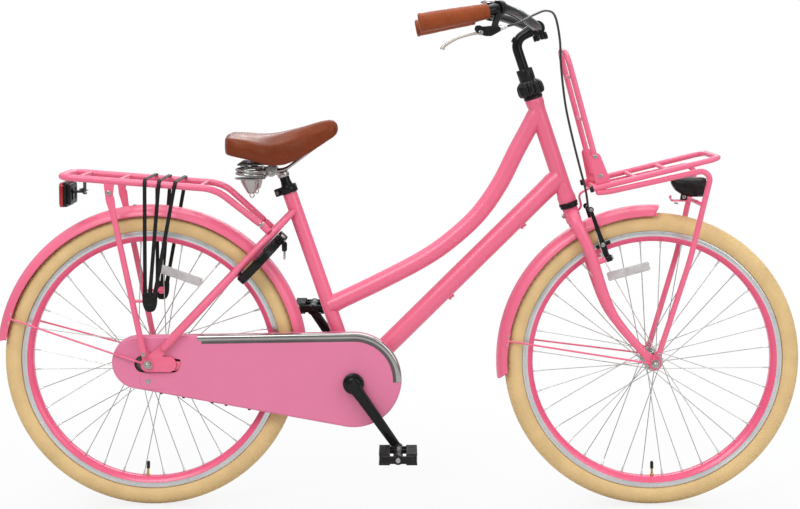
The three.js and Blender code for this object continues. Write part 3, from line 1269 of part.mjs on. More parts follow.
// Luggage straps: three rubber bands over the carrier, drawn together at a hook on each side
const strap = {
  halfWidth: 5.5, halfThickness: 1.6, hookHalf: 17, hookThickness: 4, hookDrop: 180.5, hookHeight: 45,
  hookReach: 9, hookSide: 87, gather: 12, bend: 9,
};
const strapShares = [0.551, 0.643, 0.747];
function makeStraps() {
  const clear = rearRack.tube + gap + strap.halfThickness;
  const bands = strapShares.map((share, i) => {
    const reach = THREE.MathUtils.lerp(-rearRack.back, rearRack.frontReach, share);
    const hookReach = strap.hookReach + (i - 1) * strap.gather;
    const hook = (side) => carrierSpot(hookReach, side * strap.hookSide, -strap.hookDrop - strap.gather / 2);
    const edge = (side) => carrierSpot(reach, side * (rearRack.halfWidth + clear), carrierRise(reach) + clear);
    const path = bent([hook(-1), edge(-1), edge(1), hook(1)], strap.bend, 3);
    return sweep(path, barSection(strap.halfThickness, strap.halfWidth));
  });
  const hooks = sides.map(([, side]) => box(
    carrierSpot(strap.hookReach, side * strap.hookSide, -strap.hookDrop - strap.hookHeight / 2),
    strap.hookHalf * 2,
    strap.hookThickness,
    strap.hookHeight,
  ));
  part('luggage_straps', join([...bands, ...hooks]), 'blackRubber');
}
makeStraps();

// Ring lock ahead of the seat stays, with its shackle drawn back into the left half
const lock = {
  belowTyre: 1.5, ahead: 21, outer: 79, inner: 57, half: 10, opening: 44, channel: 6.8, shackle: 3.5, step: 16,
  entry: 8, knobAngle: 42, knob: 3, knobLength: 19, slotHalf: 3.8, lug: 5, lugAngle: 49.4, lugSide: 51.6, sector: 28,
  barrel: 8, barrelLength: 15, barrelAngle: -30,
};
lock.centre = wheelRadius - lock.belowTyre;
const lockMiddle = (lock.outer + lock.inner) / 2;
const lockSpot = (degrees, radius, forward = 0) => stay(
  lock.centre + radius * Math.cos(radians(degrees)),
  lock.ahead + forward,
  radius * Math.sin(radians(degrees)),
);
function lockArc(start, end) {
  const steps = Math.round((end - start) / lock.step);
  return Array.from({ length: steps + 1 }, (_, i) => lockSpot(start + (end - start) * i / steps, lockMiddle));
}
const lockEnd = halfTurn - lock.opening;
function lockSector(inner, outer, start, end, half) {
  const steps = Math.ceil((end - start) / lock.sector);
  const arc = (radius) => Array.from({ length: steps + 1 }, (_, i) => {
    const angle = radians(start + (end - start) * i / steps);
    return new THREE.Vector2(radius * Math.cos(angle), radius * Math.sin(angle));
  });
  const shape = new THREE.Shape([...arc(outer), ...arc(inner).reverse()]);
  const solid = new THREE.ExtrudeGeometry(shape, { depth: half * 2, bevelEnabled: false });
  const axes = new THREE.Matrix4().makeBasis(stay.along, leftward, stay.ahead.clone().negate());
  return solid.applyMatrix4(axes.setPosition(stay(lock.centre, lock.ahead + half)));
}

function makeLock() {
  const ring = lockSector(lock.inner, lock.outer, -lockEnd, lockEnd, lock.half);
  const lugAlong = lock.centre - lockMiddle * Math.cos(radians(lock.lugAngle));
  const lugRods = sides.map(([, side]) => rod(
    stay(lugAlong, lock.ahead, side * lock.lugSide),
    stay(lugAlong, seatStay.radius / 2, side * lock.lugSide),
    lock.lug,
    8,
  ));
  const barrelFrom = lockSpot(lock.barrelAngle, lock.outer - lock.knob);
  const barrelTo = lockSpot(lock.barrelAngle, lock.outer + lock.barrelLength);
  const slot = lockSector(
    lockMiddle,
    lock.outer + lock.knob,
    lock.knobAngle - lock.entry / 2,
    lockEnd + lock.entry,
    lock.slotHalf,
  );
  part('lock_body', cut(join([ring, ...lugRods, rod(barrelFrom, barrelTo, lock.barrel, 10)]), [
    sweep(lockArc(-lockEnd - lock.entry, lockEnd + lock.entry), roundSection(lock.channel, 6)),
    slot,
    ...sides.map(([, side]) => seatStayCore(side)),
  ]), 'black');
  const shackleTail = lockEnd - 2 * (lock.opening + lock.entry);
  const knobFoot = lockSpot(lock.knobAngle, lockMiddle);
  part('lock_shackle', join([
    sweep(lockArc(shackleTail, lockEnd), roundSection(lock.shackle, 6)),
    rod(knobFoot, lockSpot(lock.knobAngle, lockMiddle + lock.knobLength), lock.knob, 8),
  ]), 'steel');
}
makeLock();

// Kickstand leg, folded back under the left chain stay, on a pin in the stay's lug
const stand = {
  side: 58, leg: 6, length: 262, rise: 4.4, splay: 14, eye: 10, eyeHalf: 5, foot: 8, footLength: 14,
};
const standPivot = (side) => at(bracket.x - standPin.back, side, bracket.z - standPin.drop);
const standLine = line(standPivot(0), halfTurn - stand.rise);
const standBore = standPin.radius + gap;
part('kickstand_leg', cut(join([
  rod(standPivot(stand.side - stand.eyeHalf), standPivot(stand.side + stand.eyeHalf), stand.eye, 12),
  rod(standPivot(stand.side), standLine(stand.length, 0, stand.side + stand.splay), stand.leg, 8),
  rod(
    standLine(stand.length - stand.footLength, 0, stand.side + stand.splay),
    standLine(stand.length + stand.foot, 0, stand.side + stand.splay),
    stand.foot,
    8,
  ),
]), [rod(standPivot(0), standPivot(stand.side * 2), standBore, 8)]), 'black');

// Saddle: wire rails on a clamp, two rear coil springs over chrome cups, and the cushion
const rails = {
  wire: 3.5, noseReach: 102, noseSide: 9, noseRise: 90.2, side: 16, clampBack: 27, clampRise: 14.7, clamp: 13,
  clampHalf: 28, plateLength: 52, plateHalf: 84, plateThickness: 3, socket: 13, socketHeight: 12,
  bend: 12, strutBack: 43, bolt: 5, boltRise: 17.8,
};
const spring = {
  back: 70, side: 52, wire: 2.7, radius: 28.8, turns: 2, top: 29.7, foot: 2.7, seatDisc: 33, seatThickness: 3,
  cup: 21, cupFoot: 9, cupDepth: 34, cupLean: 4,
};
const postTop = seat(seatPost.top);
const saddleSpot = (back, side, rise) => at(postTop.x - back, side, postTop.z + rise);
function makeSaddleFrame() {
  const clampSide = (y) => saddleSpot(rails.clampBack, y, rails.clampRise);
  const pieces = [
    rod(clampSide(-rails.clampHalf), clampSide(rails.clampHalf), rails.clamp, 8),
    rod(seat(seatPost.top + gap), seat(seatPost.top + rails.socketHeight), rails.socket, 8),
    sweep([seat(seatPost.top + rails.socketHeight / 2), clampSide(0)], barSection(rails.clamp, rails.socketHeight / 2)),
    box(
      saddleSpot(spring.back, 0, spring.top + gap + rails.plateThickness / 2),
      rails.plateLength,
      rails.plateHalf * 2,
      rails.plateThickness,
    ),
  ];
  for (const [, side] of sides) {
    const cupTop = saddleSpot(spring.back, side * spring.side, spring.foot - gap);
    const cupLow = saddleSpot(spring.back - spring.cupLean, side * spring.side, spring.foot - spring.cupDepth);
    pieces.push(tube([
      saddleSpot(-rails.noseReach, side * rails.noseSide, rails.noseRise),
      saddleSpot(rails.clampBack - rails.clampHalf, side * rails.side, rails.clampRise),
      saddleSpot(rails.clampBack + rails.clampHalf, side * rails.side, rails.clampRise),
      saddleSpot(spring.back + rails.wire, side * rails.side, spring.top + rails.wire / 2),
    ], rails.wire, rails.bend, 5, 2));
    pieces.push(rod(cupTop, cupTop.clone().setZ(cupTop.z - spring.seatThickness), spring.seatDisc, 10));
    pieces.push(rod(cupLow, cupTop.clone().setZ(cupTop.z - spring.seatThickness / 2), spring.cupFoot, 8, spring.cup));
    const plateTop = saddleSpot(spring.back, side * spring.side, spring.top + gap + rails.plateThickness / 2);
    pieces.push(rod(plateTop, lifted(plateTop, rails.boltRise), rails.bolt, 6));
    const strutHeight = cupTop.z - rails.wire;
    pieces.push(tube([
      cupTop.clone().setZ(strutHeight),
      saddleSpot(rails.strutBack, side * rails.side, 0).setZ(strutHeight),
      saddleSpot(rails.clampBack, side * rails.side, rails.clampRise),
    ], rails.wire - gap, rails.wire, 5, 1));
  }
  const postCore = rod(seat(seatTube.length), seat(seatPost.top + gap), seatPost.neck + gap, 16);
  part('saddle_frame', cut(join(pieces), [postCore]), 'chrome');
}
makeSaddleFrame();

// One spring: straight down from the plate, round in open curls, straight down to its cup
function springPath(side) {
  const perTurn = 8;
  const count = Math.round(spring.turns * perTurn);
  const high = spring.top - spring.wire * 2;
  const low = spring.foot + spring.wire * 2;
  const curls = Array.from({ length: count + 1 }, (_, i) => {
    const angle = 2 * Math.PI * i / perTurn;
    return saddleSpot(
      spring.back - spring.radius * Math.cos(angle),
      side * spring.side + spring.radius * Math.sin(angle),
      high + (low - high) * i / count,
    );
  });
  return [lifted(curls[0], spring.wire * 2), ...curls, lifted(curls.at(-1), -spring.wire * 2)];
}

function leastGap(path, radius, skip) {
  let least = Infinity;
  for (let i = 0; i < path.length; i += 1) {
    for (let j = i + skip; j < path.length; j += 1) least = Math.min(least, path[i].distanceTo(path[j]));
  }
  return least - 2 * radius;
}

for (const [name, side] of sides) {
  const path = springPath(side);
  part(`saddle_spring_${name}`, sweep(path, roundSection(spring.wire, 5)), 'chrome');
  console.log(`saddle spring ${name}: least gap to itself ${leastGap(path, spring.wire, 5).toFixed(2)} mm`);
}

// Cushion: rings across the saddle from tail to nose, crowned above and drawn in at the sides
const saddle = { length: 251, tailBack: 132, base: 27.7, height: 99, width: 214 };
const saddleShares = [
  [0, 0.52, 0.4, 0.5], [0.08, 0.7, 0.25, 0.94], [0.2, 0.69, 0.17, 1], [0.31, 0.67, 0.09, 0.98],
  [0.42, 0.69, 0.02, 0.84], [0.5, 0.72, 0.01, 0.66], [0.6, 0.78, 0.08, 0.48], [0.7, 0.85, 0.22, 0.35], [0.8, 0.93, 0.38, 0.28],
  [0.9, 0.995, 0.55, 0.235], [0.96, 0.96, 0.63, 0.19], [0.99, 0.88, 0.68, 0.12], [1, 0.8, 0.72, 0.05],
];
const sideShares = [
  [0, 1], [0.42, 0.985], [0.74, 0.9], [0.94, 0.68], [1, 0.42], [0.97, 0.16], [0.9, 0], [0.8, 0.09], [0.45, 0.2], [0, 0.24],
];
function makeSaddle() {
  const rings = saddleShares.map(([along, top, low, wide]) => {
    const half = sideShares.map(([across, up]) => [across * wide * saddle.width / 2, low + (top - low) * up]);
    const ring = [...half, ...half.slice(1, -1).reverse().map(([y, z]) => [-y, z])];
    return ring.map(([y, z]) => saddleSpot(saddle.tailBack - along * saddle.length, y, saddle.base + z * saddle.height));
  });
  const count = rings[0].length;
  const points = rings.flat();
  const faces = [];
  for (let i = 0; i < rings.length - 1; i += 1) {
    for (let j = 0; j < count; j += 1) {
      const [a, b] = [i * count + j, i * count + (j + 1) % count];
      faces.push(a, a + count, b, b, a + count, b + count);
    }
  }
  for (const [start, flip] of [[0, false], [points.length - count, true]]) {
    for (let j = 1; j < count / 2; j += 1) {
      const strip = [[j - 1, j, count - j], [j, count - j - 1, count - j]];
      for (const [a, b, c] of strip.filter((face) => new Set(face.map((n) => n % count)).size === 3)) {
        const face = [a % count, b % count, c % count].map((n) => start + n);
        faces.push(...(flip ? face.reverse() : face));
      }
    }
  }
  const geometry = new THREE.BufferGeometry().setFromPoints(points);
  geometry.setIndex(faces);
  return toGeometry(toSolid(geometry));
}
part('saddle', makeSaddle(), 'brown');

// The finished bike stands with the middle of its box over the origin
const reach = new THREE.Box3().setFromObject(bike);
bike.position.x = -(reach.min.x + reach.max.x) / 2;

export default bike;
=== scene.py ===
import math

import bmesh
import bpy
import numpy as np
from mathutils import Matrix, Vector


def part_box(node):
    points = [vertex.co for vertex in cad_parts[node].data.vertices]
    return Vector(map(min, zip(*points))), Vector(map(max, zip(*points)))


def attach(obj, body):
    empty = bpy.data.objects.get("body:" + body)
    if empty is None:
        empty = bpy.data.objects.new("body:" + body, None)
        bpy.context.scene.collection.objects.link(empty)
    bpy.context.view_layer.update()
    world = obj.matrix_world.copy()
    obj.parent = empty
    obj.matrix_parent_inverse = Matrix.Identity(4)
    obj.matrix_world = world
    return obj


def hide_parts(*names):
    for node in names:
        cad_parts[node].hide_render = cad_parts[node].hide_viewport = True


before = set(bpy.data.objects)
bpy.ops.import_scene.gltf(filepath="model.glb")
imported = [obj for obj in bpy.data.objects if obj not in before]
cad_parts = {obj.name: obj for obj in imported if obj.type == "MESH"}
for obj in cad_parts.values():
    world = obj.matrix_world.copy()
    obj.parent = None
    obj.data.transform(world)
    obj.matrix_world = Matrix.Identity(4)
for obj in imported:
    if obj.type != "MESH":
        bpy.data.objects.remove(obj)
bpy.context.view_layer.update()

# The layout is in millimetres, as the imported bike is, with its middle slid onto the frame's
axleLow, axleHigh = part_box("rear_axle")
slide = np.array([(axleLow.x + axleHigh.x) * 500 + 554.0, 0.0, 0.0])
wheelRadius = 326.5
rearAxle = np.array([-554.0, 0, wheelRadius])
frontAxle = np.array([554.0, 0, wheelRadius])
bracket = np.array([-106.0, 0, 284.0])
lengthways, across, upward = np.eye(3)
sides = (("right", -1), ("left", 1))
sharpAngle = math.radians(42)


def unit(vector):
    """The vectors at length one."""
    vector = np.asarray(vector, float)
    return vector / np.maximum(np.linalg.norm(vector, axis=-1, keepdims=True), 1e-12)


def lengths(path):
    """How far along the path each of its points is."""
    return np.concatenate([[0], np.cumsum(np.linalg.norm(np.diff(path, axis=0), axis=1))])


def pointsAt(path, spots):
    """The points of the path at the given distances along it."""
    run = lengths(path)
    return np.stack([np.interp(spots, run, path[:, k]) for k in range(path.shape[1])], 1)


def fullTurn(count):
    """The angles of count even steps of one turn."""
    return np.arange(count) * 2 * math.pi / count


def rays(turn):
    """The unit vectors at the given angles."""
    return np.stack([np.cos(turn), np.sin(turn)], 1)


class Line:
    """A straight line in the bike's middle plane: along it, square to it in the plane, and sideways."""

    def __init__(self, origin, degrees):
        turn = math.radians(degrees)
        self.origin = np.asarray(origin, float)
        self.along = np.array([math.cos(turn), 0, math.sin(turn)])
        self.ahead = np.array([math.sin(turn), 0, -math.cos(turn)])

    def __call__(self, distance, forward=0.0, side=0.0):
        return self.origin + self.along * distance + self.ahead * forward + across * side


def headings(path, loop=False):
    """The directions of a path at its points."""
    return unit(np.roll(path, -1, 0) - np.roll(path, 1, 0) if loop else np.gradient(path, axis=0))


def swung(centre, turn, radius, level):
    """The points about a wheel's axle at the given angles, radii and distances to the side."""
    columns = centre[0] + radius * np.cos(turn), level, centre[2] + radius * np.sin(turn)
    return np.stack(np.broadcast_arrays(*columns), -1)


def around(centre, degrees, radius, side=0.0):
    """A point of a circle about a wheel's axle, degrees counted up from the front."""
    turn = math.radians(degrees)
    return np.array([centre[0] + radius * math.cos(turn), side, centre[2] + radius * math.sin(turn)])


steering = Line((491.163, 0, 305.353), 108.6)
seat = Line(bracket, 108.96)
stayTop = seat(399)
stay = Line(rearAxle, math.degrees(math.atan2(stayTop[2] - rearAxle[2], stayTop[0] - rearAxle[0])))
stayLength = float(np.linalg.norm(stayTop - rearAxle))
downEnd = steering(452)
down = Line(bracket, math.degrees(math.atan2(downEnd[2] - bracket[2], downEnd[0] - bracket[0])))
downLength = float(np.linalg.norm(downEnd - bracket))


# Paths
def fillet(points, cut, steps=7, loop=False):
    """Each corner of a polyline replaced by a near-circular cubic arc that starts and ends cut away from
    the corner."""
    points = np.asarray(points, float)
    count = len(points)
    cuts = np.broadcast_to(np.asarray(cut, float), count)
    share = np.linspace(0, 1, steps + 1)[:, None]
    out = [] if loop else [points[:1]]
    for i in range(count) if loop else range(1, count - 1):
        corner = points[i]
        back, on = points[i - 1] - corner, points[(i + 1) % count] - corner
        room = min(np.linalg.norm(back), np.linalg.norm(on)) * 0.49
        reach = min(cuts[i], room)
        back, on = unit(back), unit(on)
        turn = math.pi - math.acos(float(np.clip(back @ on, -1, 1)))
        pull = 4 / 3 * math.tan(turn / 4) / math.tan(turn / 2) if turn > 1e-3 else 0.5
        start, end = corner + back * reach, corner + on * reach
        first, second = start - back * reach * pull, end - on * reach * pull
        out.append(
            start * (1 - share) ** 3 + 3 * first * share * (1 - share) ** 2
            + 3 * second * share ** 2 * (1 - share) + end * share ** 3
        )
    if not loop:
        out.append(points[-1:])
    return np.concatenate(out)


def even(path, count):
    """The path with its points spread at equal distances."""
    path = np.asarray(path, float)
    return pointsAt(path, np.linspace(0, lengths(path)[-1], count))


def spline(points, count):
    """A centripetal Catmull-Rom curve through the points, at equal distances."""
    p = np.asarray(points, float)
    p = np.vstack([2 * p[0] - p[1], p, 2 * p[-1] - p[-2]])
    t = np.concatenate([[0], np.cumsum(np.linalg.norm(np.diff(p, axis=0), axis=1) ** 0.5)])
    u = np.linspace(t[1], t[-2], count * 4)
    k = np.clip(np.searchsorted(t, u, side="right") - 1, 1, len(p) - 3)
    t0, t1, t2, t3 = (t[k + d][:, None] for d in (-1, 0, 1, 2))
    p0, p1, p2, p3 = (p[k + d] for d in (-1, 0, 1, 2))
    u = u[:, None]
    a1 = (t1 - u) / (t1 - t0) * p0 + (u - t0) / (t1 - t0) * p1
    a2 = (t2 - u) / (t2 - t1) * p1 + (u - t1) / (t2 - t1) * p2
    a3 = (t3 - u) / (t3 - t2) * p2 + (u - t2) / (t3 - t2) * p3
    b1 = (t2 - u) / (t2 - t0) * a1 + (u - t0) / (t2 - t0) * a2
    b2 = (t3 - u) / (t3 - t1) * a2 + (u - t1) / (t3 - t1) * a3
    return even((t2 - u) / (t2 - t1) * b1 + (u - t1) / (t2 - t1) * b2, count)


def mirrored(half, ring=True):
    """A profile of which only the lower half is given. A ring's first corner comes again at its end."""
    profile = half + [(radius, -height) for radius, height in half[::-1]]
    return profile + profile[:1] if ring else profile


# Surfaces: each is (points, list of faces)
def grid(points, loop=False):
    """The faces between neighbouring closed rings of points. The last ring joins the first, or else a flat
    face closes each end."""
    n, m = points.shape[:2]
    i = np.arange(n if loop else n - 1)[:, None] * m
    on = (i + m) % (n * m)
    j = np.arange(m)[None, :]
    beside = (j + 1) % m
    faces = np.stack([i + j, i + beside, on + beside, on + j], -1).reshape(-1, 4).tolist()
    if not loop:
        faces.append(list(range(m))[::-1])
        faces.append(list(range((n - 1) * m, n * m)))
    return points.reshape(-1, 3), faces


def circle(radius, sides):
    """The corners of a round section."""
    return rays(fullTurn(sides)) * radius


def oval(halfWide, halfTall, sides=24, power=2.0):
    """A section between an ellipse and a rectangle: each coordinate is a cosine or sine to the power
    2/power."""
    unitRound = rays(fullTurn(sides))
    return np.sign(unitRound) * np.abs(unitRound) ** (2 / power) * (halfWide, halfTall)


def ovals(halfWide, halfTall, sides=24, power=2.0):
    """One such section for each half width and half height."""
    return oval(1, 1, sides, power)[None] * np.stack(np.broadcast_arrays(halfWide, halfTall), 1)[:, None]


def sweep(path, section, side=across, loop=False):
    """A section carried along a path. Its first coordinate lies along side, which is kept square to the
    path."""
    path = np.asarray(path, float)
    tangent = headings(path, loop)
    held = unit(np.asarray(side, float))
    first = np.empty_like(path)
    for i, t in enumerate(tangent):
        held = unit(held - t * (held @ t))
        first[i] = held
    second = np.cross(tangent, first)
    section = np.broadcast_to(section, (len(path),) + np.shape(section)[-2:])
    points = path[:, None] + section[..., :1] * first[:, None] + section[..., 1:] * second[:, None]
    return grid(points, loop=loop)


def ended(path, radius, kind="edge", edge=0.8):
    """A path and its radii with extra rings, so that both ends are rounded over (round) or lightly broken
    (edge)."""
    path = np.asarray(path, float)
    radius = np.broadcast_to(np.asarray(radius, float), len(path))
    run = lengths(path)
    turns = np.linspace(0, math.pi / 2, 6 if kind == "round" else 4)
    ends = []
    for r in (radius[0], radius[-1]):
        size = min(r * 0.999 if kind == "round" else min(edge, r * 0.5), run[-1] * 0.45)
        ends.append((size * (1 - np.sin(turns)), (r - size + size * np.cos(turns)) / r))
    (startRun, startShare), (endRun, endShare) = ends
    inner = run[(run > startRun[0]) & (run < run[-1] - endRun[0])]
    spots = np.concatenate([startRun[::-1], inner, run[-1] - endRun])
    shares = np.concatenate([startShare[::-1], np.ones(len(inner)), endShare])
    return pointsAt(path, spots), np.interp(spots, run, radius) * shares


def tube(path, radius, sides=24, ends="edge", side=across, edge=0.8):
    """A round tube along a path, its ends lightly broken, rounded over, or flat."""
    if ends != "flat":
        path, radius = ended(path, radius, ends, edge)
    radius = np.broadcast_to(np.asarray(radius, float), len(path))
    return sweep(path, circle(1, sides)[None] * radius[:, None, None], side)


def rod(start, end, radius, sides=20, ends="edge", edge=0.6):
    """A straight round rod from start to end."""
    start, end = np.asarray(start, float), np.asarray(end, float)
    side = across if abs(unit(end - start)[1]) < 0.9 else lengthways
    return tube([start, end], radius, sides, ends, side, edge)


def turned(profile, origin, axis, sides=48, ribs=None):
    """A profile of (radius, height) corners turned about an axis. A profile that ends where it starts makes
    a ring. ribs, if given, scales the radius by corner and angle."""
    profile = np.asarray(profile, float)
    loop = bool(np.allclose(profile[0], profile[-1]))
    if loop:
        profile = profile[:-1]
    axis = unit(axis)
    first = unit(np.cross(axis, (0.3, 0.9, 0.2) if abs(axis[1]) < 0.8 else lengthways))
    second = np.cross(axis, first)
    turn = fullTurn(sides)
    spokes = np.cos(turn)[:, None] * first + np.sin(turn)[:, None] * second
    radius = np.maximum(profile[:, 0], 0.02)[:, None] * (np.ones((1, sides)) if ribs is None else ribs)
    points = np.asarray(origin, float) + profile[:, None, 1:] * axis + radius[..., None] * spokes[None]
    return grid(points, loop=loop)


def slab(outline, low, high, edge=0.8, origin=(0, 0, 0), right=lengthways, up=upward, out=across, steps=3):
    """A plate with the given closed outline in right and up, from low to high along out. Each ring of its
    rounded edges is the outline drawn in by edge(1 - sin t) and moved by edge(1 - cos t)."""
    outline = np.asarray(outline, float)
    tangent = headings(outline, True)
    area = np.sum(outline[:, 0] * np.roll(outline[:, 1], -1) - np.roll(outline[:, 0], -1) * outline[:, 1])
    outward = np.stack([tangent[:, 1], -tangent[:, 0]], 1) * (1 if area > 0 else -1)
    turns = np.linspace(0, math.pi / 2, steps + 1)
    drawn, risen = edge * (1 - np.sin(turns)), edge * (1 - np.cos(turns))
    inset = np.concatenate([drawn, drawn[::-1]])
    level = np.concatenate([low + risen, high - risen[::-1]])
    flat = outline[None] - outward[None] * inset[:, None, None]
    return grid(
        np.asarray(origin, float) + flat[..., :1] * right + flat[..., 1:] * up + level[:, None, None] * out
    )


def sidePlate(outline, side, near, far, edge=0.8):
    """A plate in the (x, z) plane, between near and far from the bike's middle on one side of it."""
    low, high = sorted((side * near, side * far))
    return slab(outline, low, high, edge)


def roundRect(width, height, radius, steps=5):
    """The outline of a rectangle with round corners."""
    w, h = width / 2, height / 2
    return fillet([[w, -h], [w, h], [-w, h], [-w, -h]], radius, steps, loop=True)


def block(centre, size, radius=1.5, right=lengthways, up=upward, corner=None):
    """A box with rounded edges about its centre. Its size is given along right, across both, and along
    up."""
    outline = roundRect(size[0], size[2], radius if corner is None else corner)
    return slab(outline, -size[1] / 2, size[1] / 2, radius, centre, right, up, np.cross(up, right))


def belt(first, firstRadius, second, secondRadius, steps=20):
    """The outline of a belt round two circles, as (x, z) corners, counter-clockwise from the second's
    top."""
    first, second = np.asarray(first, float), np.asarray(second, float)
    gap = second - first
    base = math.atan2(gap[1], gap[0])
    lean = math.acos((firstRadius - secondRadius) / np.linalg.norm(gap))
    turn = np.linspace(base + lean, base + 2 * math.pi - lean, steps + 1)
    rear = first + firstRadius * rays(turn)
    turn = np.linspace(base - lean, base + lean, steps + 1)
    nose = second + secondRadius * rays(turn)
    return np.concatenate([rear, nose])


def hexNut(origin, axis, flats, height, dome=0.0):
    """A hexagonal nut or bolt head with chamfered corners, seated at origin and standing along axis."""
    axis = unit(axis)
    right = unit(np.cross(axis, (0.2, 0.5, 0.9)))
    up = np.cross(axis, right)
    turn = np.arange(6) * math.pi / 3 + 0.2
    outline = fillet(rays(turn) * flats / math.sqrt(3), flats * 0.06, 3, loop=True)
    parts = [slab(outline, 0, height, flats * 0.07, origin, right, up, axis)]
    if dome:
        top = [(dome, -0.2), (dome, dome * 0.5), (dome * 0.8, dome * 0.85), (0, dome)]
        top = [(radius, height + rise) for radius, rise in top]
        parts.append(turned(top, origin, axis, 20))
    return parts


def socketBolt(origin, axis, radius, height):
    """A round bolt head with a socket sunk in it."""
    hole = radius * 0.5
    profile = [
        (radius * 0.9, 0), (radius, height * 0.12), (radius, height * 0.8), (radius * 0.86, height),
        (hole, height), (hole * 0.95, height * 0.9), (hole * 0.9, height * 0.4), (0, height * 0.35)
    ]
    return [turned(profile, origin, axis, 24)]


def washer(origin, axis, outer, inner, thickness):
    """A flat ring with broken edges."""
    e = min(0.3, thickness * 0.3)
    profile = [
        (inner, e), (inner + e, 0), (outer - e, 0), (outer, e), (outer, thickness - e),
        (outer - e, thickness), (inner + e, thickness), (inner, thickness - e), (inner, e)
    ]
    return [turned(profile, origin, axis, 28)]


def build(name, parts, finishes, body, node):
    """One piece of several surfaces in millimetres, in place of a node. A part is (points, faces), and a
    third item is the index of its finish."""
    finishes = finishes if isinstance(finishes, (list, tuple)) else [finishes]
    points, faces, kinds, base = [], [], [], 0
    for part in parts:
        points.append(part[0])
        faces += [[v + base for v in face] for face in part[1]]
        kinds += [part[2] if len(part) > 2 else 0] * len(part[1])
        base += len(part[0])
    points = (np.concatenate(points) + slide) / 1000
    mesh = bpy.data.meshes.new(name)
    mesh.from_pydata(points.tolist(), [], faces)
    for finish in finishes:
        mesh.materials.append(finish)
    mesh.polygons.foreach_set("material_index", np.array(kinds, np.int32))
    mesh.polygons.foreach_set("use_smooth", np.full(len(faces), True))
    work = bmesh.new()
    work.from_mesh(mesh)
    bmesh.ops.recalc_face_normals(work, faces=work.faces)
    work.to_mesh(mesh)
    work.free()
    mesh.set_sharp_from_angle(angle=sharpAngle)
    piece = bpy.data.objects.new(name, mesh)
    bpy.context.scene.collection.objects.link(piece)
    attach(piece, body)
    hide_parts(node)
    return piece


def tagged(parts, index):
    """A list of surfaces, or one alone, with the index of the finish that they take."""
    return [(*part[:2], index) for part in ([parts] if isinstance(parts, tuple) else parts)]


# Finishes: every one has a slow tint, a varied roughness and a fine grain in the object's own coordinates
def setInputs(node, values):
    """Sets a shader node's own inputs by their names."""
    for key, value in values.items():
        node.inputs[key].default_value = value


def finish(name, colour, roughness, metallic=0.0, coat=0.0, tint=0.05, patch=14.0, grain=1600.0, bump=0.05,
           vary=0.05, dust=0.0, dustColour=(0.35, 0.3, 0.24), stretch=(1, 1, 1), glow=0.0, gloss=0.5):
    """A surface whose colour drifts by tint over patches of 1/patch metres, whose roughness drifts by vary,
    and whose bump has grains of 1/grain metres. dust is how much of dustColour settles in spots, stretch
    draws the grain out along an axis, and gloss is the share of light that it mirrors."""
    made = bpy.data.materials.new(name)
    made.use_nodes = True
    nodes, links = made.node_tree.nodes, made.node_tree.links
    shader = nodes["Principled BSDF"]
    setInputs(
        shader,
        {
            "Metallic": metallic, "IOR": 1.5, "Specular IOR Level": gloss, "Coat Weight": coat,
            "Coat Roughness": 0.08, "Emission Color": (*colour, 1), "Emission Strength": glow
        }
    )
    place = nodes.new("ShaderNodeTexCoord")
    drawn = nodes.new("ShaderNodeMapping")
    drawn.inputs["Scale"].default_value = stretch
    links.new(place.outputs["Object"], drawn.inputs["Vector"])

    def noise(scale, detail, source):
        made = nodes.new("ShaderNodeTexNoise")
        setInputs(made, {"Scale": scale, "Detail": detail})
        links.new(source, made.inputs["Vector"])
        return made.outputs["Fac"]

    def ranged(value, low, high, fromLow=0.3, fromHigh=0.7):
        made = nodes.new("ShaderNodeMapRange")
        setInputs(made, {"From Min": fromLow, "From Max": fromHigh, "To Min": low, "To Max": high})
        links.new(value, made.inputs["Value"])
        return made.outputs["Result"]

    slow = noise(patch, 4, place.outputs["Object"])
    fine = noise(grain, 3, drawn.outputs["Vector"])
    ramp = nodes.new("ShaderNodeValToRGB")
    for stop, position, factor in zip(ramp.color_ramp.elements, (0.32, 0.68), (1 - tint, 1 + tint)):
        stop.position = position
        stop.color = (*(min(1.0, c * factor) for c in colour), 1)
    links.new(slow, ramp.inputs["Fac"])
    shade = ramp.outputs["Color"]
    if dust:
        spots = noise(patch * 9, 6, place.outputs["Object"])
        mixed = nodes.new("ShaderNodeMixRGB")
        mixed.inputs["Color2"].default_value = (*dustColour, 1)
        links.new(ranged(spots, 0, dust, 0.45, 0.75), mixed.inputs["Fac"])
        links.new(shade, mixed.inputs["Color1"])
        shade = mixed.outputs["Color"]
    links.new(shade, shader.inputs["Base Color"])
    wear = noise(patch * 4, 5, place.outputs["Object"])
    links.new(ranged(wear, max(0.02, roughness - vary), roughness + vary), shader.inputs["Roughness"])
    raised = nodes.new("ShaderNodeBump")
    setInputs(raised, {"Strength": bump, "Distance": 0.0006})
    links.new(fine, raised.inputs["Height"])
    links.new(raised.outputs["Normal"], shader.inputs["Normal"])
    return made


pink = finish(
    "pink_enamel", (0.775, 0.125, 0.225), 0.38, coat=0.3, tint=0.02, grain=1500, bump=0.006, dust=0.02
)
rimPink = finish(
    "rim_enamel", (0.78, 0.085, 0.19), 0.3, coat=0.3, tint=0.03, grain=1500, bump=0.008, dust=0.03
)
lilac = finish(
    "case_enamel", (0.69, 0.168, 0.3), 0.42, coat=0.2, tint=0.02, grain=1500, bump=0.008, dust=0.02
)
blackEnamel = finish(
    "black_enamel", (0.006, 0.0055, 0.0055), 0.12, gloss=0.2, tint=0.15, grain=1500, bump=0.008, vary=0.03,
    dust=0.02
)
blackPlastic = finish(
    "black_plastic", (0.007, 0.0065, 0.0065), 0.3, gloss=0.22, tint=0.15, grain=2200, bump=0.08, dust=0.03
)
strapRubber = finish(
    "strap_rubber", (0.007, 0.0065, 0.006), 0.5, gloss=0.2, tint=0.2, grain=2600, bump=0.15, dust=0.03
)
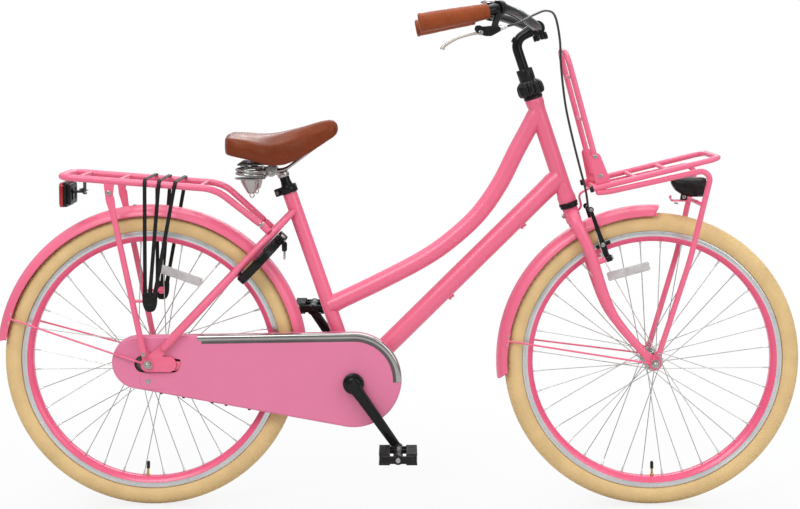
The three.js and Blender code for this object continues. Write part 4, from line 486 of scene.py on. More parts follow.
sleeveRubber = finish("cable_sleeve", (0.02, 0.019, 0.018), 0.38, tint=0.1, grain=2400, bump=0.08, dust=0.05)
creamRubber = finish(
    "cream_rubber", (0.66, 0.455, 0.205), 0.7, tint=0.07, patch=22, grain=1500, bump=0.25, dust=0.12,
    dustColour=(0.5, 0.34, 0.14)
)
leather = finish(
    "brown_leather", (0.155, 0.027, 0.007), 0.32, gloss=0.34, tint=0.12, patch=18, grain=1100, bump=0.35,
    vary=0.08, dust=0.1, dustColour=(0.12, 0.03, 0.012)
)
gripLeather = finish(
    "brown_grip", (0.25, 0.05, 0.014), 0.42, gloss=0.3, tint=0.12, patch=26, grain=1300, bump=0.4,
    vary=0.06, dust=0.12, dustColour=(0.1, 0.025, 0.01)
)
chrome = finish(
    "chrome", (0.4, 0.38, 0.36), 0.1, metallic=1.0, tint=0.03, grain=500, bump=0.02, vary=0.04, dust=0.03
)
steel = finish(
    "bright_steel", (0.43, 0.42, 0.4), 0.28, metallic=1.0, tint=0.06, grain=1800, bump=0.03, dust=0.05
)
darkSteel = finish(
    "dark_steel", (0.12, 0.115, 0.11), 0.4, metallic=0.9, tint=0.12, grain=1800, bump=0.12, dust=0.1
)
alloy = finish(
    "silver_alloy", (0.66, 0.66, 0.65), 0.3, metallic=1.0, tint=0.05, grain=1400, bump=0.1,
    stretch=(1, 6, 1), dust=0.05
)
satinSilver = finish(
    "satin_silver", (0.5, 0.46, 0.4), 0.38, metallic=0.75, tint=0.05, grain=1500, bump=0.03, dust=0.04
)
brass = finish("brass", (0.55, 0.36, 0.12), 0.3, metallic=1.0, tint=0.08, grain=1500, bump=0.1, dust=0.08)
redLens = finish("red_lens", (0.32, 0.005, 0.008), 0.16, coat=0.4, tint=0.06, grain=900, bump=0.2, glow=0.06)
clearLens = finish("clear_lens", (0.72, 0.72, 0.72), 0.12, coat=0.6, tint=0.05, grain=700, bump=0.25)


def prismatic(name, colour, cell, alpha):
    """Clear moulded plastic with rows of small prisms: two crossed waves of cell metres raise the
    surface."""
    made = finish(name, colour, 0.2, coat=0.5, tint=0.08, patch=60, grain=1200, bump=0.1)
    nodes, links = made.node_tree.nodes, made.node_tree.links
    shader = nodes["Principled BSDF"]
    shader.inputs["Alpha"].default_value = alpha
    place = next(n for n in nodes if n.type == "TEX_COORD")
    raised = next(n for n in nodes if n.type == "BUMP")
    normal = raised.outputs["Normal"]
    for turn in (0.6, 2.1):
        held = nodes.new("ShaderNodeMapping")
        held.inputs["Rotation"].default_value = (0, turn, 0)
        waves = nodes.new("ShaderNodeTexWave")
        waves.inputs["Scale"].default_value = 1 / cell / 3.1
        waves.wave_profile = "TRI"
        more = nodes.new("ShaderNodeBump")
        setInputs(more, {"Strength": 0.5, "Distance": 0.0005})
        links.new(place.outputs["Object"], held.inputs["Vector"])
        links.new(held.outputs["Vector"], waves.inputs["Vector"])
        links.new(waves.outputs["Fac"], more.inputs["Height"])
        links.new(normal, more.inputs["Normal"])
        normal = more.outputs["Normal"]
    links.new(normal, shader.inputs["Normal"])
    return made


for made in (leather, gripLeather):
    made.node_tree.nodes["Principled BSDF"].inputs["Specular Tint"].default_value = (1, 0.66, 0.5, 1)
clearPlastic = prismatic("clear_plastic", (0.62, 0.6, 0.58), 0.0022, 0.85)
print("finishes ready")


# Stage: a pale floor that runs into a pale backdrop, soft lamps, and the camera of the picture
def stagePlain():
    """The floor, the lamps and the camera. The floor fades into a white glow from 0.5 to 1.6 m from the
    middle, the world is white to the camera and lights the bike more from above, and every lamp faces its
    aim."""
    size = {
        "floor": 14.0, "distance": 3.4, "height": 1.0, "lens": 69.57, "pitch": -4.0, "left": 0.0044,
        "shift": -0.114
    }
    mesh = bpy.data.meshes.new("floor")
    half = size["floor"]
    mesh.from_pydata([
        (-half, -half, 0), (half, -half, 0), (half, half, 0), (-half, half, 0)
    ], [], [(0, 1, 2, 3)])
    floor = bpy.data.objects.new("floor", mesh)
    bpy.context.scene.collection.objects.link(floor)
    paper = finish("floor_paper", (0.6, 0.6, 0.6), 0.85, tint=0.004, grain=300, bump=0.02)
    nodes, links = paper.node_tree.nodes, paper.node_tree.links
    out, shader = nodes["Material Output"], nodes["Principled BSDF"]
    white, mixed = nodes.new("ShaderNodeEmission"), nodes.new("ShaderNodeMixShader")
    seen, place, pressed = (
        nodes.new(n) for n in ("ShaderNodeLightPath", "ShaderNodeTexCoord", "ShaderNodeMapping")
    )
    pressed.inputs["Scale"].default_value = (0.55, 1, 0)
    far, shown = nodes.new("ShaderNodeVectorMath"), nodes.new("ShaderNodeMath")
    far.operation, shown.operation = "LENGTH", "MULTIPLY"
    fade = nodes.new("ShaderNodeMapRange")
    setInputs(fade, {"From Min": 0.5, "From Max": 1.6, "To Min": 0.82, "To Max": 1.0})
    links.new(place.outputs["Object"], pressed.inputs["Vector"])
    links.new(pressed.outputs["Vector"], far.inputs[0])
    links.new(far.outputs["Value"], fade.inputs["Value"])
    links.new(fade.outputs["Result"], shown.inputs[0])
    links.new(seen.outputs["Is Camera Ray"], shown.inputs[1])
    links.new(shown.outputs["Value"], mixed.inputs["Fac"])
    links.new(shader.outputs["BSDF"], mixed.inputs[1])
    links.new(white.outputs["Emission"], mixed.inputs[2])
    links.new(mixed.outputs["Shader"], out.inputs["Surface"])
    mesh.materials.append(paper)

    world = bpy.data.worlds.new("studio")
    world.use_nodes = True
    nodes, links = world.node_tree.nodes, world.node_tree.links
    nodes.clear()
    out = nodes.new("ShaderNodeOutputWorld")
    shown, lit, mixed = (
        nodes.new(n) for n in ("ShaderNodeBackground", "ShaderNodeBackground", "ShaderNodeMixShader")
    )
    setInputs(shown, {"Color": (1, 1, 1, 1), "Strength": 1.0})
    setInputs(lit, {"Color": (0.93, 0.96, 1.0, 1)})
    heading, split, height = (
        nodes.new(n) for n in ("ShaderNodeTexCoord", "ShaderNodeSeparateXYZ", "ShaderNodeMapRange")
    )
    setInputs(height, {"From Min": -0.15, "From Max": 0.7, "To Min": 0.16, "To Max": 1.05})
    links.new(heading.outputs["Generated"], split.inputs["Vector"])
    links.new(split.outputs["Z"], height.inputs["Value"])
    links.new(height.outputs["Result"], lit.inputs["Strength"])
    seen = nodes.new("ShaderNodeLightPath")
    links.new(seen.outputs["Is Camera Ray"], mixed.inputs["Fac"])
    links.new(lit.outputs["Background"], mixed.inputs[1])
    links.new(shown.outputs["Background"], mixed.inputs[2])
    links.new(mixed.outputs["Shader"], out.inputs["Surface"])
    bpy.context.scene.world = world

    for name, spot, aim, power, wide, tall in (
        ("key", (-1.6, -3.0, 3.2), (0, 0, 0.5), 66, 2.4, 1.6),
        ("fill", (2.6, -2.6, 1.8), (0.2, 0, 0.5), 30, 2.2, 2.2),
        ("top", (0, 0.3, 3.6), (0, 0, 0.4), 46, 3.4, 1.4),
        ("back", (0.6, 2.8, 2.4), (0, 0, 0.5), 40, 3.0, 1.6),
    ):
        lamp = bpy.data.lights.new(name, "AREA")
        lamp.shape = "RECTANGLE"
        lamp.energy, lamp.size, lamp.size_y = power, wide, tall
        held = bpy.data.objects.new(name, lamp)
        held.location = spot
        heading = np.array(aim) - np.array(spot)
        held.rotation_euler = (
            math.atan2(np.hypot(heading[0], heading[1]), -heading[2]), 0,
            math.atan2(heading[1], heading[0]) - math.pi / 2
        )
        bpy.context.scene.collection.objects.link(held)

    eye = bpy.data.cameras.new("camera")
    eye.lens, eye.shift_y = size["lens"], size["shift"]
    held = bpy.data.objects.new("camera", eye)
    held.location = (slide[0] / 1000 - size["left"], -size["distance"], size["height"])
    held.rotation_euler = (math.pi / 2 + math.radians(size["pitch"]), 0, 0)
    bpy.context.scene.collection.objects.link(held)
    bpy.context.scene.camera = held
    bpy.context.scene.view_settings.view_transform = "Standard"


stagePlain()
print("stage ready")


# Wheels
wheel = {
    "tyreHalf": 23.5, "tyreMiddle": 303.0, "bead": 276.8, "rimInner": 264.0, "rimFloor": 276.5,
    "rimOuter": 288.0, "rimHalf": 16.2, "rimInnerHalf": 9.0, "spokes": 36, "spoke": 1.0, "valve": 3.0
}
hubs = {
    "rear": {
        "barrel": 24.0, "flange": 34.0, "flangeSide": 27.0, "end": 15.0, "rightEnd": 42.0, "leftEnd": 49.0,
        "spokeRadius": 30.0, "valve": -93.0, "firstShare": 0.8, "plate": 70.5, "plateRadius": 199.5,
        "plateSide": 12.6,
    },
    "front": {
        "barrel": 12.0, "flange": 21.0, "flangeSide": 32.0, "end": 9.0, "rightEnd": 43.0, "leftEnd": 43.0,
        "spokeRadius": 17.5, "valve": -89.0, "firstShare": 0.5, "plate": 105.3, "plateRadius": 205.0,
        "plateSide": 13.7,
    },
}


def makeTyre(name, centre):
    """Tyre as rings round the wheel. The outside is an arc of a circle about the tyre's middle radius.
    Where the arc angle is within the tread, the surface is lowered by the groove depth between staggered
    blocks: the block rows are bands of arc angle, and along the wheel every row is a square wave, shifted
    by half a block from row to row. The flanks are lowered by short dashes in every fourth step of the
    turn, staggered from band to band."""
    size = {
        "steps": 1056, "lines": 44, "lowest": -38, "tread": 54, "row": 12, "blocks": 132, "groove": 1.5,
        "dash": 0.65, "dashBand": 11
    }
    low = math.radians(size["lowest"])
    arc = np.linspace(low, math.pi - low, size["lines"])
    turn = fullTurn(size["steps"])
    offset = np.degrees(arc - math.pi / 2)
    away = np.abs(offset)
    row = (offset + size["tread"]) / size["row"]
    bandEdge = np.clip(np.abs(row % 1 - 0.5) * 2, 0, 1)
    wave = (
        turn[:, None] / (2 * math.pi) * size["blocks"] + np.floor(row).astype(int)[None] * 0.5
        + 0.16 * away[None] / size["row"]
    ) % 1
    alongEdge = np.abs(wave - 0.5) * 2
    groove = np.maximum(
        np.clip((bandEdge[None] - 0.72) / 0.2, 0, 1), np.clip((alongEdge - 0.74) / 0.18, 0, 1)
    )
    depth = size["groove"] * groove * (away < size["tread"])[None]
    flank = np.clip((away - 55) / 4, 0, 1) * np.clip((94 - away) / 8, 0, 1)
    shift = (np.floor(away / size["dashBand"]) % 2 * 2)[None]
    dashes = size["dash"] * ((np.arange(size["steps"])[:, None] + shift) % 4 == 0) * flank[None]
    reach = wheel["tyreHalf"] - depth - dashes
    radius = (
        wheel["tyreMiddle"] + (wheelRadius - wheel["tyreMiddle"]) / wheel["tyreHalf"] * reach * np.sin(arc)
    )
    side = reach * np.cos(arc)
    lip, bead = wheel["rimOuter"], wheel["bead"]
    inner = [
        (lip + 1.6, 15.6), (lip + 0.2, 14.6), (lip + 0.2, 13.4), (lip - 1, 13), (bead + 1, 12.9), (bead, 12)
    ]
    inner = np.array([(r, -y) for r, y in inner] + inner[::-1])
    radius, side = (
        np.concatenate([outer, np.broadcast_to(column, (size["steps"], len(inner)))], 1)
        for outer, column in ((radius, inner[:, 0]), (side, inner[:, 1]))
    )
    points = swung(centre, turn[:, None], radius, side)
    build(f"{name}Tyre", [grid(points, loop=True)], creamRubber, f"{name}_wheel", f"{name}_tyre")


def makeRim(name, centre):
    """Rim as three rings: the painted bed of a rounded V and the bare braking walls with a turned groove.
    The valve stands on it, towards the axle."""
    hub, half, innerHalf = hubs[name], wheel["rimHalf"], wheel["rimInnerHalf"]
    inner, floor, outer = wheel["rimInner"], wheel["rimFloor"], wheel["rimOuter"]
    bed = [
        (inner, -innerHalf + 2), (inner - 0.2, 0), (inner, innerHalf - 2), (inner + 0.8, innerHalf),
        (floor - 2, half - 0.9), (floor - 0.2, half - 0.25), (floor, half - 1.6), (floor, 1.6 - half),
        (floor - 0.2, 0.25 - half), (floor - 2, 0.9 - half), (inner + 0.8, -innerHalf),
        (inner, -innerHalf + 2)
    ]
    wall = np.array([
        (floor - 0.4, half - 2.6), (floor - 0.4, half - 0.3), (floor + 0.5, half), (floor + 5, half),
        (floor + 5.4, half - 0.4), (floor + 6, half - 0.4), (floor + 6.4, half), (outer - 1, half),
        (outer - 0.2, half - 0.4), (outer, half - 1.4), (outer - 0.4, half - 2.6), (floor - 0.4, half - 2.6)
    ])
    walls = [turned(wall * (1, way), centre, across, 220) for way in (-1, 1)]
    valve = wheel["valve"]
    valveSpot = lambda radius: around(centre, hub["valve"], radius)
    heading = unit(valveSpot(0.0) - valveSpot(1.0))
    stem = [
        (0, 0), (valve, 0), (valve, 3), (4.2, 3.2), (4.2, 5.6), (valve, 6), (2.6, 7), (2.6, 19), (0, 19.4)
    ]
    cap = [(0, 17), (3.2, 17.2), (3.6, 18), (3.6, 30), (3.0, 32.8), (1.6, 34), (0, 34.2)]
    ribs = 1 + 0.04 * np.cos(fullTurn(48) * 12)[None]
    foot = valveSpot(inner + 1)
    parts = [turned(bed, centre, across, 220)]
    parts += tagged(walls, 1)
    parts += tagged(turned(stem, foot, heading, 24), 2) + tagged(turned(cap, foot, heading, 48, ribs), 3)
    build(
        f"{name}Rim", parts, [rimPink, alloy, brass, blackPlastic], f"{name}_wheel", f"{name}_rim",
    )


def makeHub(name, centre):
    """Hub shell turned from one profile, and crossed spokes that run straight from flange to rim, each with
    its nipple. A spoke's foot is 60 degrees of the hub ahead of its rim end or behind it."""
    hub = hubs[name]
    side, flange, barrel, end = hub["flangeSide"], hub["flange"], hub["barrel"], hub["end"]
    profile = [
        (5.6, -hub["rightEnd"]), (end, -hub["rightEnd"]), (end, -side - 5), (end + 3, -side - 2.8),
        (flange, -side - 2.6), (flange, 2.6 - side), (barrel + 2, 2.8 - side), (barrel, 7 - side),
        (barrel - 0.8, 0), (barrel, side - 7), (barrel + 2, side - 2.8), (flange, side - 2.6),
        (flange, side + 2.6), (end + 3, side + 2.8), (end, side + 5), (end, hub["leftEnd"]),
        (5.6, hub["leftEnd"]), (5.6, -hub["rightEnd"])
    ]
    rounded = fillet(profile[:-1], 0.9, 3, loop=True)
    parts = [turned(np.vstack([rounded, rounded[:1]]), centre, across, 64)]
    nipple = [(0, -15), (1.5, -15), (1.9, -14.4), (1.9, -6), (2.4, -4.4), (2.7, -2), (2.6, 0), (0, 0.1)]
    hook = [(0, -1.9), (1.3, -1.8), (1.9, -1.1), (1.9, -0.4), (1.2, 0), (0, 0.1)]
    pitch = 360 / wheel["spokes"]
    for i in range(wheel["spokes"]):
        way = 1 if i % 2 else -1
        lead = 1 if (i // 2) % 2 else -1
        angle = hub["valve"] + (i + hub["firstShare"]) * pitch
        foot = around(centre, angle + lead * 60, hub["spokeRadius"], way * (side + lead * 1.5))
        head = around(centre, angle, wheel["rimInner"] - 0.1, way * 2)
        parts.append(tube([foot, foot + (head - foot) * 0.5, head], wheel["spoke"] * 0.98, 8, "flat"))
        parts += tagged(turned(nipple, head, unit(head - foot), 10), 1)
        outward = across * way * lead
        parts.append(turned(hook, foot + outward * 2.4, outward, 10))
    build(
        f"{name}HubAndSpokes", parts, [steel, alloy], f"{name}_wheel", f"{name}_hub_and_spokes",
    )


def makeReflector(name, centre):
    """Clear plate with two raised prism fields, and a ring and a round boss in its middle."""
    hub = hubs[name]
    middle = around(centre, hub["plate"], hub["plateRadius"], -hub["plateSide"])
    spoke = Line(middle, hub["plate"])
    right, up, out = spoke.ahead, spoke.along, -across
    parts = [slab(roundRect(95.6, 19.6, 4, 6), -2.0, 1.3, 0.7, middle, right, up, out)]
    for shift in (-28.0, 28.0):
        parts.append(slab(roundRect(34, 14, 2.5, 4), 1.0, 2.1, 0.5, middle + right * shift, right, up, out))
    ring = [(5, 1.2), (5, 2.0), (5.6, 2.2), (7.4, 2.2), (8, 1.8), (8, 1.2), (5, 1.2)]
    parts.append(turned(ring, middle, out, 32))
    parts.append(turned([(0, 1.2), (3.2, 1.2), (3, 2.2), (0, 2.3)], middle, out, 24))
    build(f"{name}Reflector", parts, clearPlastic, f"{name}_wheel", f"{name}_reflector")


for wheelName, wheelCentre in (("rear", rearAxle), ("front", frontAxle)):
    makeTyre(wheelName, wheelCentre)
    makeRim(wheelName, wheelCentre)
    makeHub(wheelName, wheelCentre)
    makeReflector(wheelName, wheelCentre)
print("wheels ready")


# Frame
def frameTubes():
    """Head, down, upper and seat tubes and the bottom bracket shell. The tubes swell a little where they
    are brazed."""
    size = {
        "down": 21.5, "upper": 19.0, "seat": 15.9, "swell": 1.3, "swellRun": 9.0, "eye": 2.0, "eyeWire": 0.7
    }

    def brazed(path, radius, start, end):
        """Radii that grow by swell with an exponential over swellRun from each brazed end."""
        run = lengths(path)
        more = (
            np.exp(-np.abs(run - start) / size["swellRun"])
            + np.exp(-np.abs(run[-1] - end - run) / size["swellRun"])
        )
        return radius + size["swell"] * more

    head = [
        (16, 0), (19.4, 0), (20, 0.7), (20, 11.5), (19.3, 14.5), (18.4, 20), (18, 27), (18, 213),
        (18.4, 220), (19.3, 225.5), (20, 228.5), (20, 239.3), (19.4, 240), (16, 240), (16, 0)
    ]
    build(
        "headTube", [turned(head, steering(392), steering.along, 56)], pink, "frame", "head_tube",
    )

    path = even([down(14), downEnd], 60)
    parts = [tube(path, brazed(path, size["down"], 10, 22), 44, "flat")]
    for share in (0.44, 0.79):
        spot = down(downLength * share, size["down"] + 1.6)
        parts.append(block(spot, (15, 5.6, 5.2), 1.2, down.along, down.ahead))
        turn = fullTurn(24)[:, None]
        for way in (-1, 1):
            middle = spot + down.along * 4.5 * way + down.ahead * 2.6
            eye = middle + size["eye"] * (across * np.cos(turn) + down.ahead * np.sin(turn))
            parts.append(sweep(eye, circle(size["eyeWire"], 12), down.along, loop=True))
    build("downTube", parts, pink, "frame", "down_tube")

    start, end = seat(171), steering(603)
    shares = np.array([
        (0, 0), (0.25, 0.128), (0.464, 0.25), (0.584, 0.34), (0.718, 0.474), (0.819, 0.629), (0.901, 0.804),
        (1, 1)
    ])
    points = np.stack([
        start[0] + (end[0] - start[0]) * shares[:, 0], shares[:, 0] * 0,
        start[2] + (end[2] - start[2]) * shares[:, 1]
    ], 1)
    path = spline(points, 90)
    build(
        "upperTube", [tube(path, brazed(path, size["upper"], 15, 17), 44, "flat")], pink, "frame",
        "upper_tube"
    )

    path = even([seat(4), seat(446)], 50)
    build(
        "seatTube", [tube(path, brazed(path, size["seat"], 14, -60), 40, "edge", edge=0.6)], pink, "frame",
        "seat_tube"
    )
    shell = mirrored([(17, -34), (19.2, -34), (20, -33.2), (20, -30), (20.4, -29)])
    cup = [(8.5, -34.6), (16.5, -34.6), (17.2, -34), (17.2, -30), (8.5, -30), (8.5, -34.6)]
    parts = [turned(shell, bracket, across, 56)]
    parts += tagged([turned([(r, y * way) for r, y in cup], bracket, across, 40) for way in (-1, 1)], 1)
    build("bottomBracketShell", parts, [pink, darkSteel], "frame", "bottom_bracket_shell")


def seatStayPath(side):
    """The line of a seat stay: wide beside the axle, drawn in past the tyre and up to the seat tube."""
    shares = ((42 / stayLength, 68.5), (0.3, 68.5), (0.56, 52), (0.8, 42), (1, 16))
    return fillet([stay(stayLength * share, 0, side * y) for share, y in shares], 40, 8)


def dropout(side):
    """The flat end that holds the axle: three belts of one plate, the middle one towards the chain stay."""
    hub, low = rearAxle[[0, 2]], 60.3
    lug, ear = stay(46), around(rearAxle, 107, 26.7)
    parts = []
    for i, (near, end, far) in enumerate((
        (17, hub + (44, 0), 17), (16.4, lug[[0, 2]], 9), (9, ear[[0, 2]], 9)
    )):
        parts.append(sidePlate(belt(hub, near, end, far, 14), side, low + 0.25 * i, low + 5 - 0.25 * i))
    return parts


def frameStays():
    """Seat stays, flattened chain stays and dropouts, with the stand's lug on the left."""
    size = {"lug": 44, "face": 62.8, "caseFace": 52.3, "length": 448}
    for name, side in sides:
        path = seatStayPath(side)
        path[0] = stay(size["lug"], 0, side * 68.5)
        run = np.linspace(0, 1, len(path))
        radius = 8.5 - 1.2 * np.exp(-((run - 1) / 0.03) ** 2)
        build(
            f"seatStay{name.title()}", [tube(path, radius, 28, "round")], pink, "frame",
            f"seat_stay_{name}"
        )
        end = size["caseFace"] if name == "right" else size["face"]
        rise = lambda x: rearAxle[2] + (bracket[2] - rearAxle[2]) * x / size["length"]
        spot = lambda x, y: np.array([rearAxle[0] + x, y * side, rise(x)])
        path = fillet([
            spot(440, 25), spot(345, 34), spot(240, 34), spot(74, end), spot(size["lug"], end)
        ], 40, 8)
        parts = [sweep(even(path, 60), oval(4.5, 11, 28, 2.6))]
        parts.append(
            block(spot(size["lug"], (end + size["face"]) / 2), (12, size["face"] - end + 3.2, 21), 1.5)
        )
        parts += dropout(side)
        if name == "left":
            foot = bracket + np.array([-79, 0, -22])
            parts.append(slab(belt((foot[0], bracket[2]), 17, (foot[0], foot[2]), 11, 14), 31.5, 36.5, 0.9))
            parts.append(rod(foot + across * 34, foot + across * 51.5, 7, 28, edge=0.8))
            parts += tagged(rod(foot + across * 34, foot + across * 64, 4, 24, "round"), 1)
        build(
            f"chainStay{name.title()}", parts, [pink, darkSteel], "frame", f"chain_stay_{name}",
        )


def seatPostAndClamp():
    """Collar with two ears and a bolt behind the seat tube, and the stepped post."""
    low = 437
    ring = [(15.95, 0), (19.4, 0), (20, 0.7), (20, 16.3), (19.4, 17), (15.95, 17), (15.95, 0)]
    parts = [turned(ring, seat(low), seat.along, 48)]
    for side in (-1, 1):
        centre = seat(low + 8.5, -23.5, side * 3.9)
        parts.append(block(centre, (17, 4.6, 15), 2.2, seat.along, seat.ahead))
    bolt = seat(low + 8.5, -26)
    parts += tagged(rod(bolt - across * 11, bolt + across * 9, 2.6, 20), 1)
    parts += tagged(socketBolt(bolt - across * 6.2, -across, 4.8, 4.6), 1)
    parts += tagged(hexNut(bolt + across * 6.2, across, 8.5, 4.2), 1)
    build("seatClamp", parts, [blackEnamel, darkSteel], "frame", "seat_clamp")
    post = [
        (0, 0), (12.8, 0), (13.6, 0.8), (13.6, 125), (13.2, 127.5), (11.4, 137), (11, 139), (11, 147.4),
        (10.4, 148), (0, 148)
    ]
    build(
        "seatPost", [turned(post, seat(326), seat.along, 48)], blackEnamel, "seat", "seat_post",
    )


frameTubes()
frameStays()
seatPostAndClamp()


# Chaincase
case = {"lobe": 58.0, "nose": 104.5, "outer": 58.6, "edge": 5.0, "slotHalf": 19.0}
caseRear = rearAxle[[0, 2]] + (-23, 2.5)
caseNose = bracket[[0, 2]] + (0, 5.5)


def makeCase():
    """Case as rings from the slot's edge outwards over the face, round the outer corner, along the wall and
    in to the wheel side's lip. Each ring is the belt outline drawn in by its own distance and set at its
    own depth, and the first ones blend from the slot's outline, met at equal angles about the axle. A cover
    plate, sunk at its tail, a screw, hem clips and a dark shield behind the slot go with it."""
    outline = even(belt(caseRear, case["lobe"], caseNose, case["nose"], 70), 420)
    tangent = headings(outline, True)
    outward = np.stack([tangent[:, 1], -tangent[:, 0]], 1)
    hub = rearAxle[[0, 2]]
    angle = np.arctan2(outline[:, 1] - hub[1], outline[:, 0] - hub[0])

    def slotReach(half, count, angles):
        """How far a slot of that half height reaches from the axle at the given angles."""
        edge = belt(hub + (-12, 0), half, hub + (52, 0), half, 60)
        edge = even(np.vstack([edge, edge[:1]]), count)[:-1] - hub
        seen = np.arctan2(edge[:, 1], edge[:, 0])
        order = np.argsort(seen)
        return np.interp(angles, seen[order], np.linalg.norm(edge, axis=1)[order], period=2 * math.pi)

    inner = hub + rays(angle) * slotReach(case["slotHalf"], 1200, angle)[:, None]
    rings, depths = [inner, inner], [-57.0, -58.2]
    for share in (0.01, 0.04, 0.12, 0.3, 0.6, 0.85):
        rings.append(inner + (outline - outward * case["edge"] - inner) * share)
        depths.append(-case["outer"])
    for turn in np.linspace(0, math.pi / 2, 7):
        rings.append(outline - outward * case["edge"] * (1 - math.sin(turn)))
        depths.append(-case["outer"] + case["edge"] * (1 - math.cos(turn)))
    for drawn, depth in (
        (0, -46), (0, -41.2), (-0.9, -40.6), (-0.9, -40), (0, -39.8), (1.6, -39.8), (12, -39.8),
        (12, -41.2), (1.6, -41.4), (1.6, -56.5), (4, -57.4),
    ):
        rings.append(outline - outward * drawn)
        depths.append(depth)
    rings.append(inner)
    depths.append(-57.4)
    rings = np.stack(rings)
    points = np.stack([
        rings[..., 0], np.broadcast_to(np.array(depths)[:, None], rings.shape[:2]), rings[..., 1]
    ], -1)
    parts = [grid(points, loop=True)]
    cover = hub + (-1, -38.5)
    points, faces = slab(belt(cover, 18, cover + (70, -9), 9, 24), -60.1, -57.4, 1.3)
    points[:, 1] += (
        np.clip((points[:, 0] - cover[0] - 8) / 56, 0, 1) * np.clip(-58.0 - points[:, 1], 0, 2.1) * 0.85
    )
    parts.append((points, faces))
    spot = np.array([cover[0], -60.0, cover[1]])
    parts += tagged(washer(spot, -across, 5.6, 2.0, 0.7), 1)
    parts += tagged(turned([(0, 0.4), (4.2, 0.5), (4.0, 1.3), (2.6, 1.75), (0, 1.8)], spot, -across, 28), 1)
    hem = outline[outline[:, 1] < hub[1] - 30]
    for x in (-528, -480, -417, -387, -336):
        clip = hem[np.argmin(np.abs(hem[:, 0] - x))]
        parts += tagged(block(np.array([clip[0], -52, clip[1] - 0.7]), (6, 7, 3.4), 0.8), 2)
    turn = fullTurn(96)
    near, far = 19.0, slotReach(24, 900, turn)
    shield = np.stack([
        swung(rearAxle, turn, radius, depth)
        for radius, depth in ((near, -40.0), (far, -40.0), (far, -41.0), (near, -41.0))
    ])
    parts += tagged(grid(shield, loop=True), 2)
    build("chaincase", parts, [lilac, steel, blackPlastic], "frame", "chaincase")


def makeTrim():
    """Polished strip over the case's rounded edge and a dark one below it, carried along the upper run and
    the nose. The first section follows the edge's quarter circle at two distances and ends in a low bead on
    the face."""
    outline = belt(caseRear, case["lobe"], caseNose, case["nose"], 60)
    slope = unit(outline[-1] - outline[0])
    start = outline[0] + slope * 131
    lean = math.atan2(slope[1], slope[0])
    turn = np.linspace(math.pi / 2 + lean, math.radians(-2), 40)
    nose = caseNose + case["nose"] * rays(turn)
    edge = np.vstack([even(np.vstack([start, nose[0]]), 40)[:-1], nose])
    tangent = headings(edge)
    inward = np.stack([tangent[:, 1], -tangent[:, 0]], 1)
    parts = []
    bend = np.linspace(0, math.pi / 2, 8)
    corner, back = case["edge"], -11.0
    outer, inner = (
        np.stack([corner - r * np.sin(bend), r * np.cos(bend) - corner], 1)
        for r in (corner + 0.9, corner + 0.15)
    )
    upper = np.vstack([
        (outer[-1, 0], back), outer[::-1],
        [(8.0, 1.35), (10.6, 1.05), (11.6, 0.25), (11.6, -0.1), (corner, 0.1)], inner[1:],
        (inner[-1, 0], back)
    ])
    turn = np.linspace(0, math.pi, 13)
    lower = np.stack([11.9 + 3.05 * (1 - np.cos(turn)), 0.9 * np.sin(turn) ** 0.7], 1)
    lower = np.vstack([lower, [(17.9, -0.1), (12.0, -0.1)]])
    for index, section in enumerate((upper, lower)):
        flat = edge[index:, None] + inward[index:, None] * section[None, :, :1]
        depth = np.broadcast_to(-case["outer"] - 0.3 - section[None, :, 1], flat.shape[:2])
        parts += tagged(grid(np.stack([flat[..., 0], depth, flat[..., 1]], -1)), index)
    build("chaincaseTrim", parts, [chrome, darkSteel], "frame", "chaincase_trim")


makeCase()
makeTrim()


# Chain, sprockets, cranks and pedals
drive = {"pitch": 12.7, "side": -47.0, "ring": 38, "sprocket": 18, "plate": 1.1, "thick": 2.2}


def pitchRadius(teeth):
    """Half the pitch over the sine of half a tooth's angle."""
    return drive["pitch"] / 2 / math.sin(math.pi / teeth)


def toothed(centre, teeth, bore):
    """A sprocket: its radius is the pitch radius plus a wave with one rounded peak a tooth, pinched towards
    the tip."""
    turn = fullTurn(teeth * 12)
    wave = np.cos(turn * teeth)
    outer = pitchRadius(teeth) + 3.2 * np.sign(wave) * np.abs(wave) ** 0.8 - 0.6
    rings = [
        (bore, -1), (bore, 1), (outer * 0.86, 1), (outer - 1.2, 1), (outer, 0.35), (outer, -0.35),
        (outer - 1.2, -1), (outer * 0.86, -1)
    ]
    levels = drive["side"] + drive["thick"] / 2 * np.array([level for _, level in rings])
    points = np.stack([swung(centre, turn, radius, level) for (radius, _), level in zip(rings, levels)])
    return grid(points, loop=True)


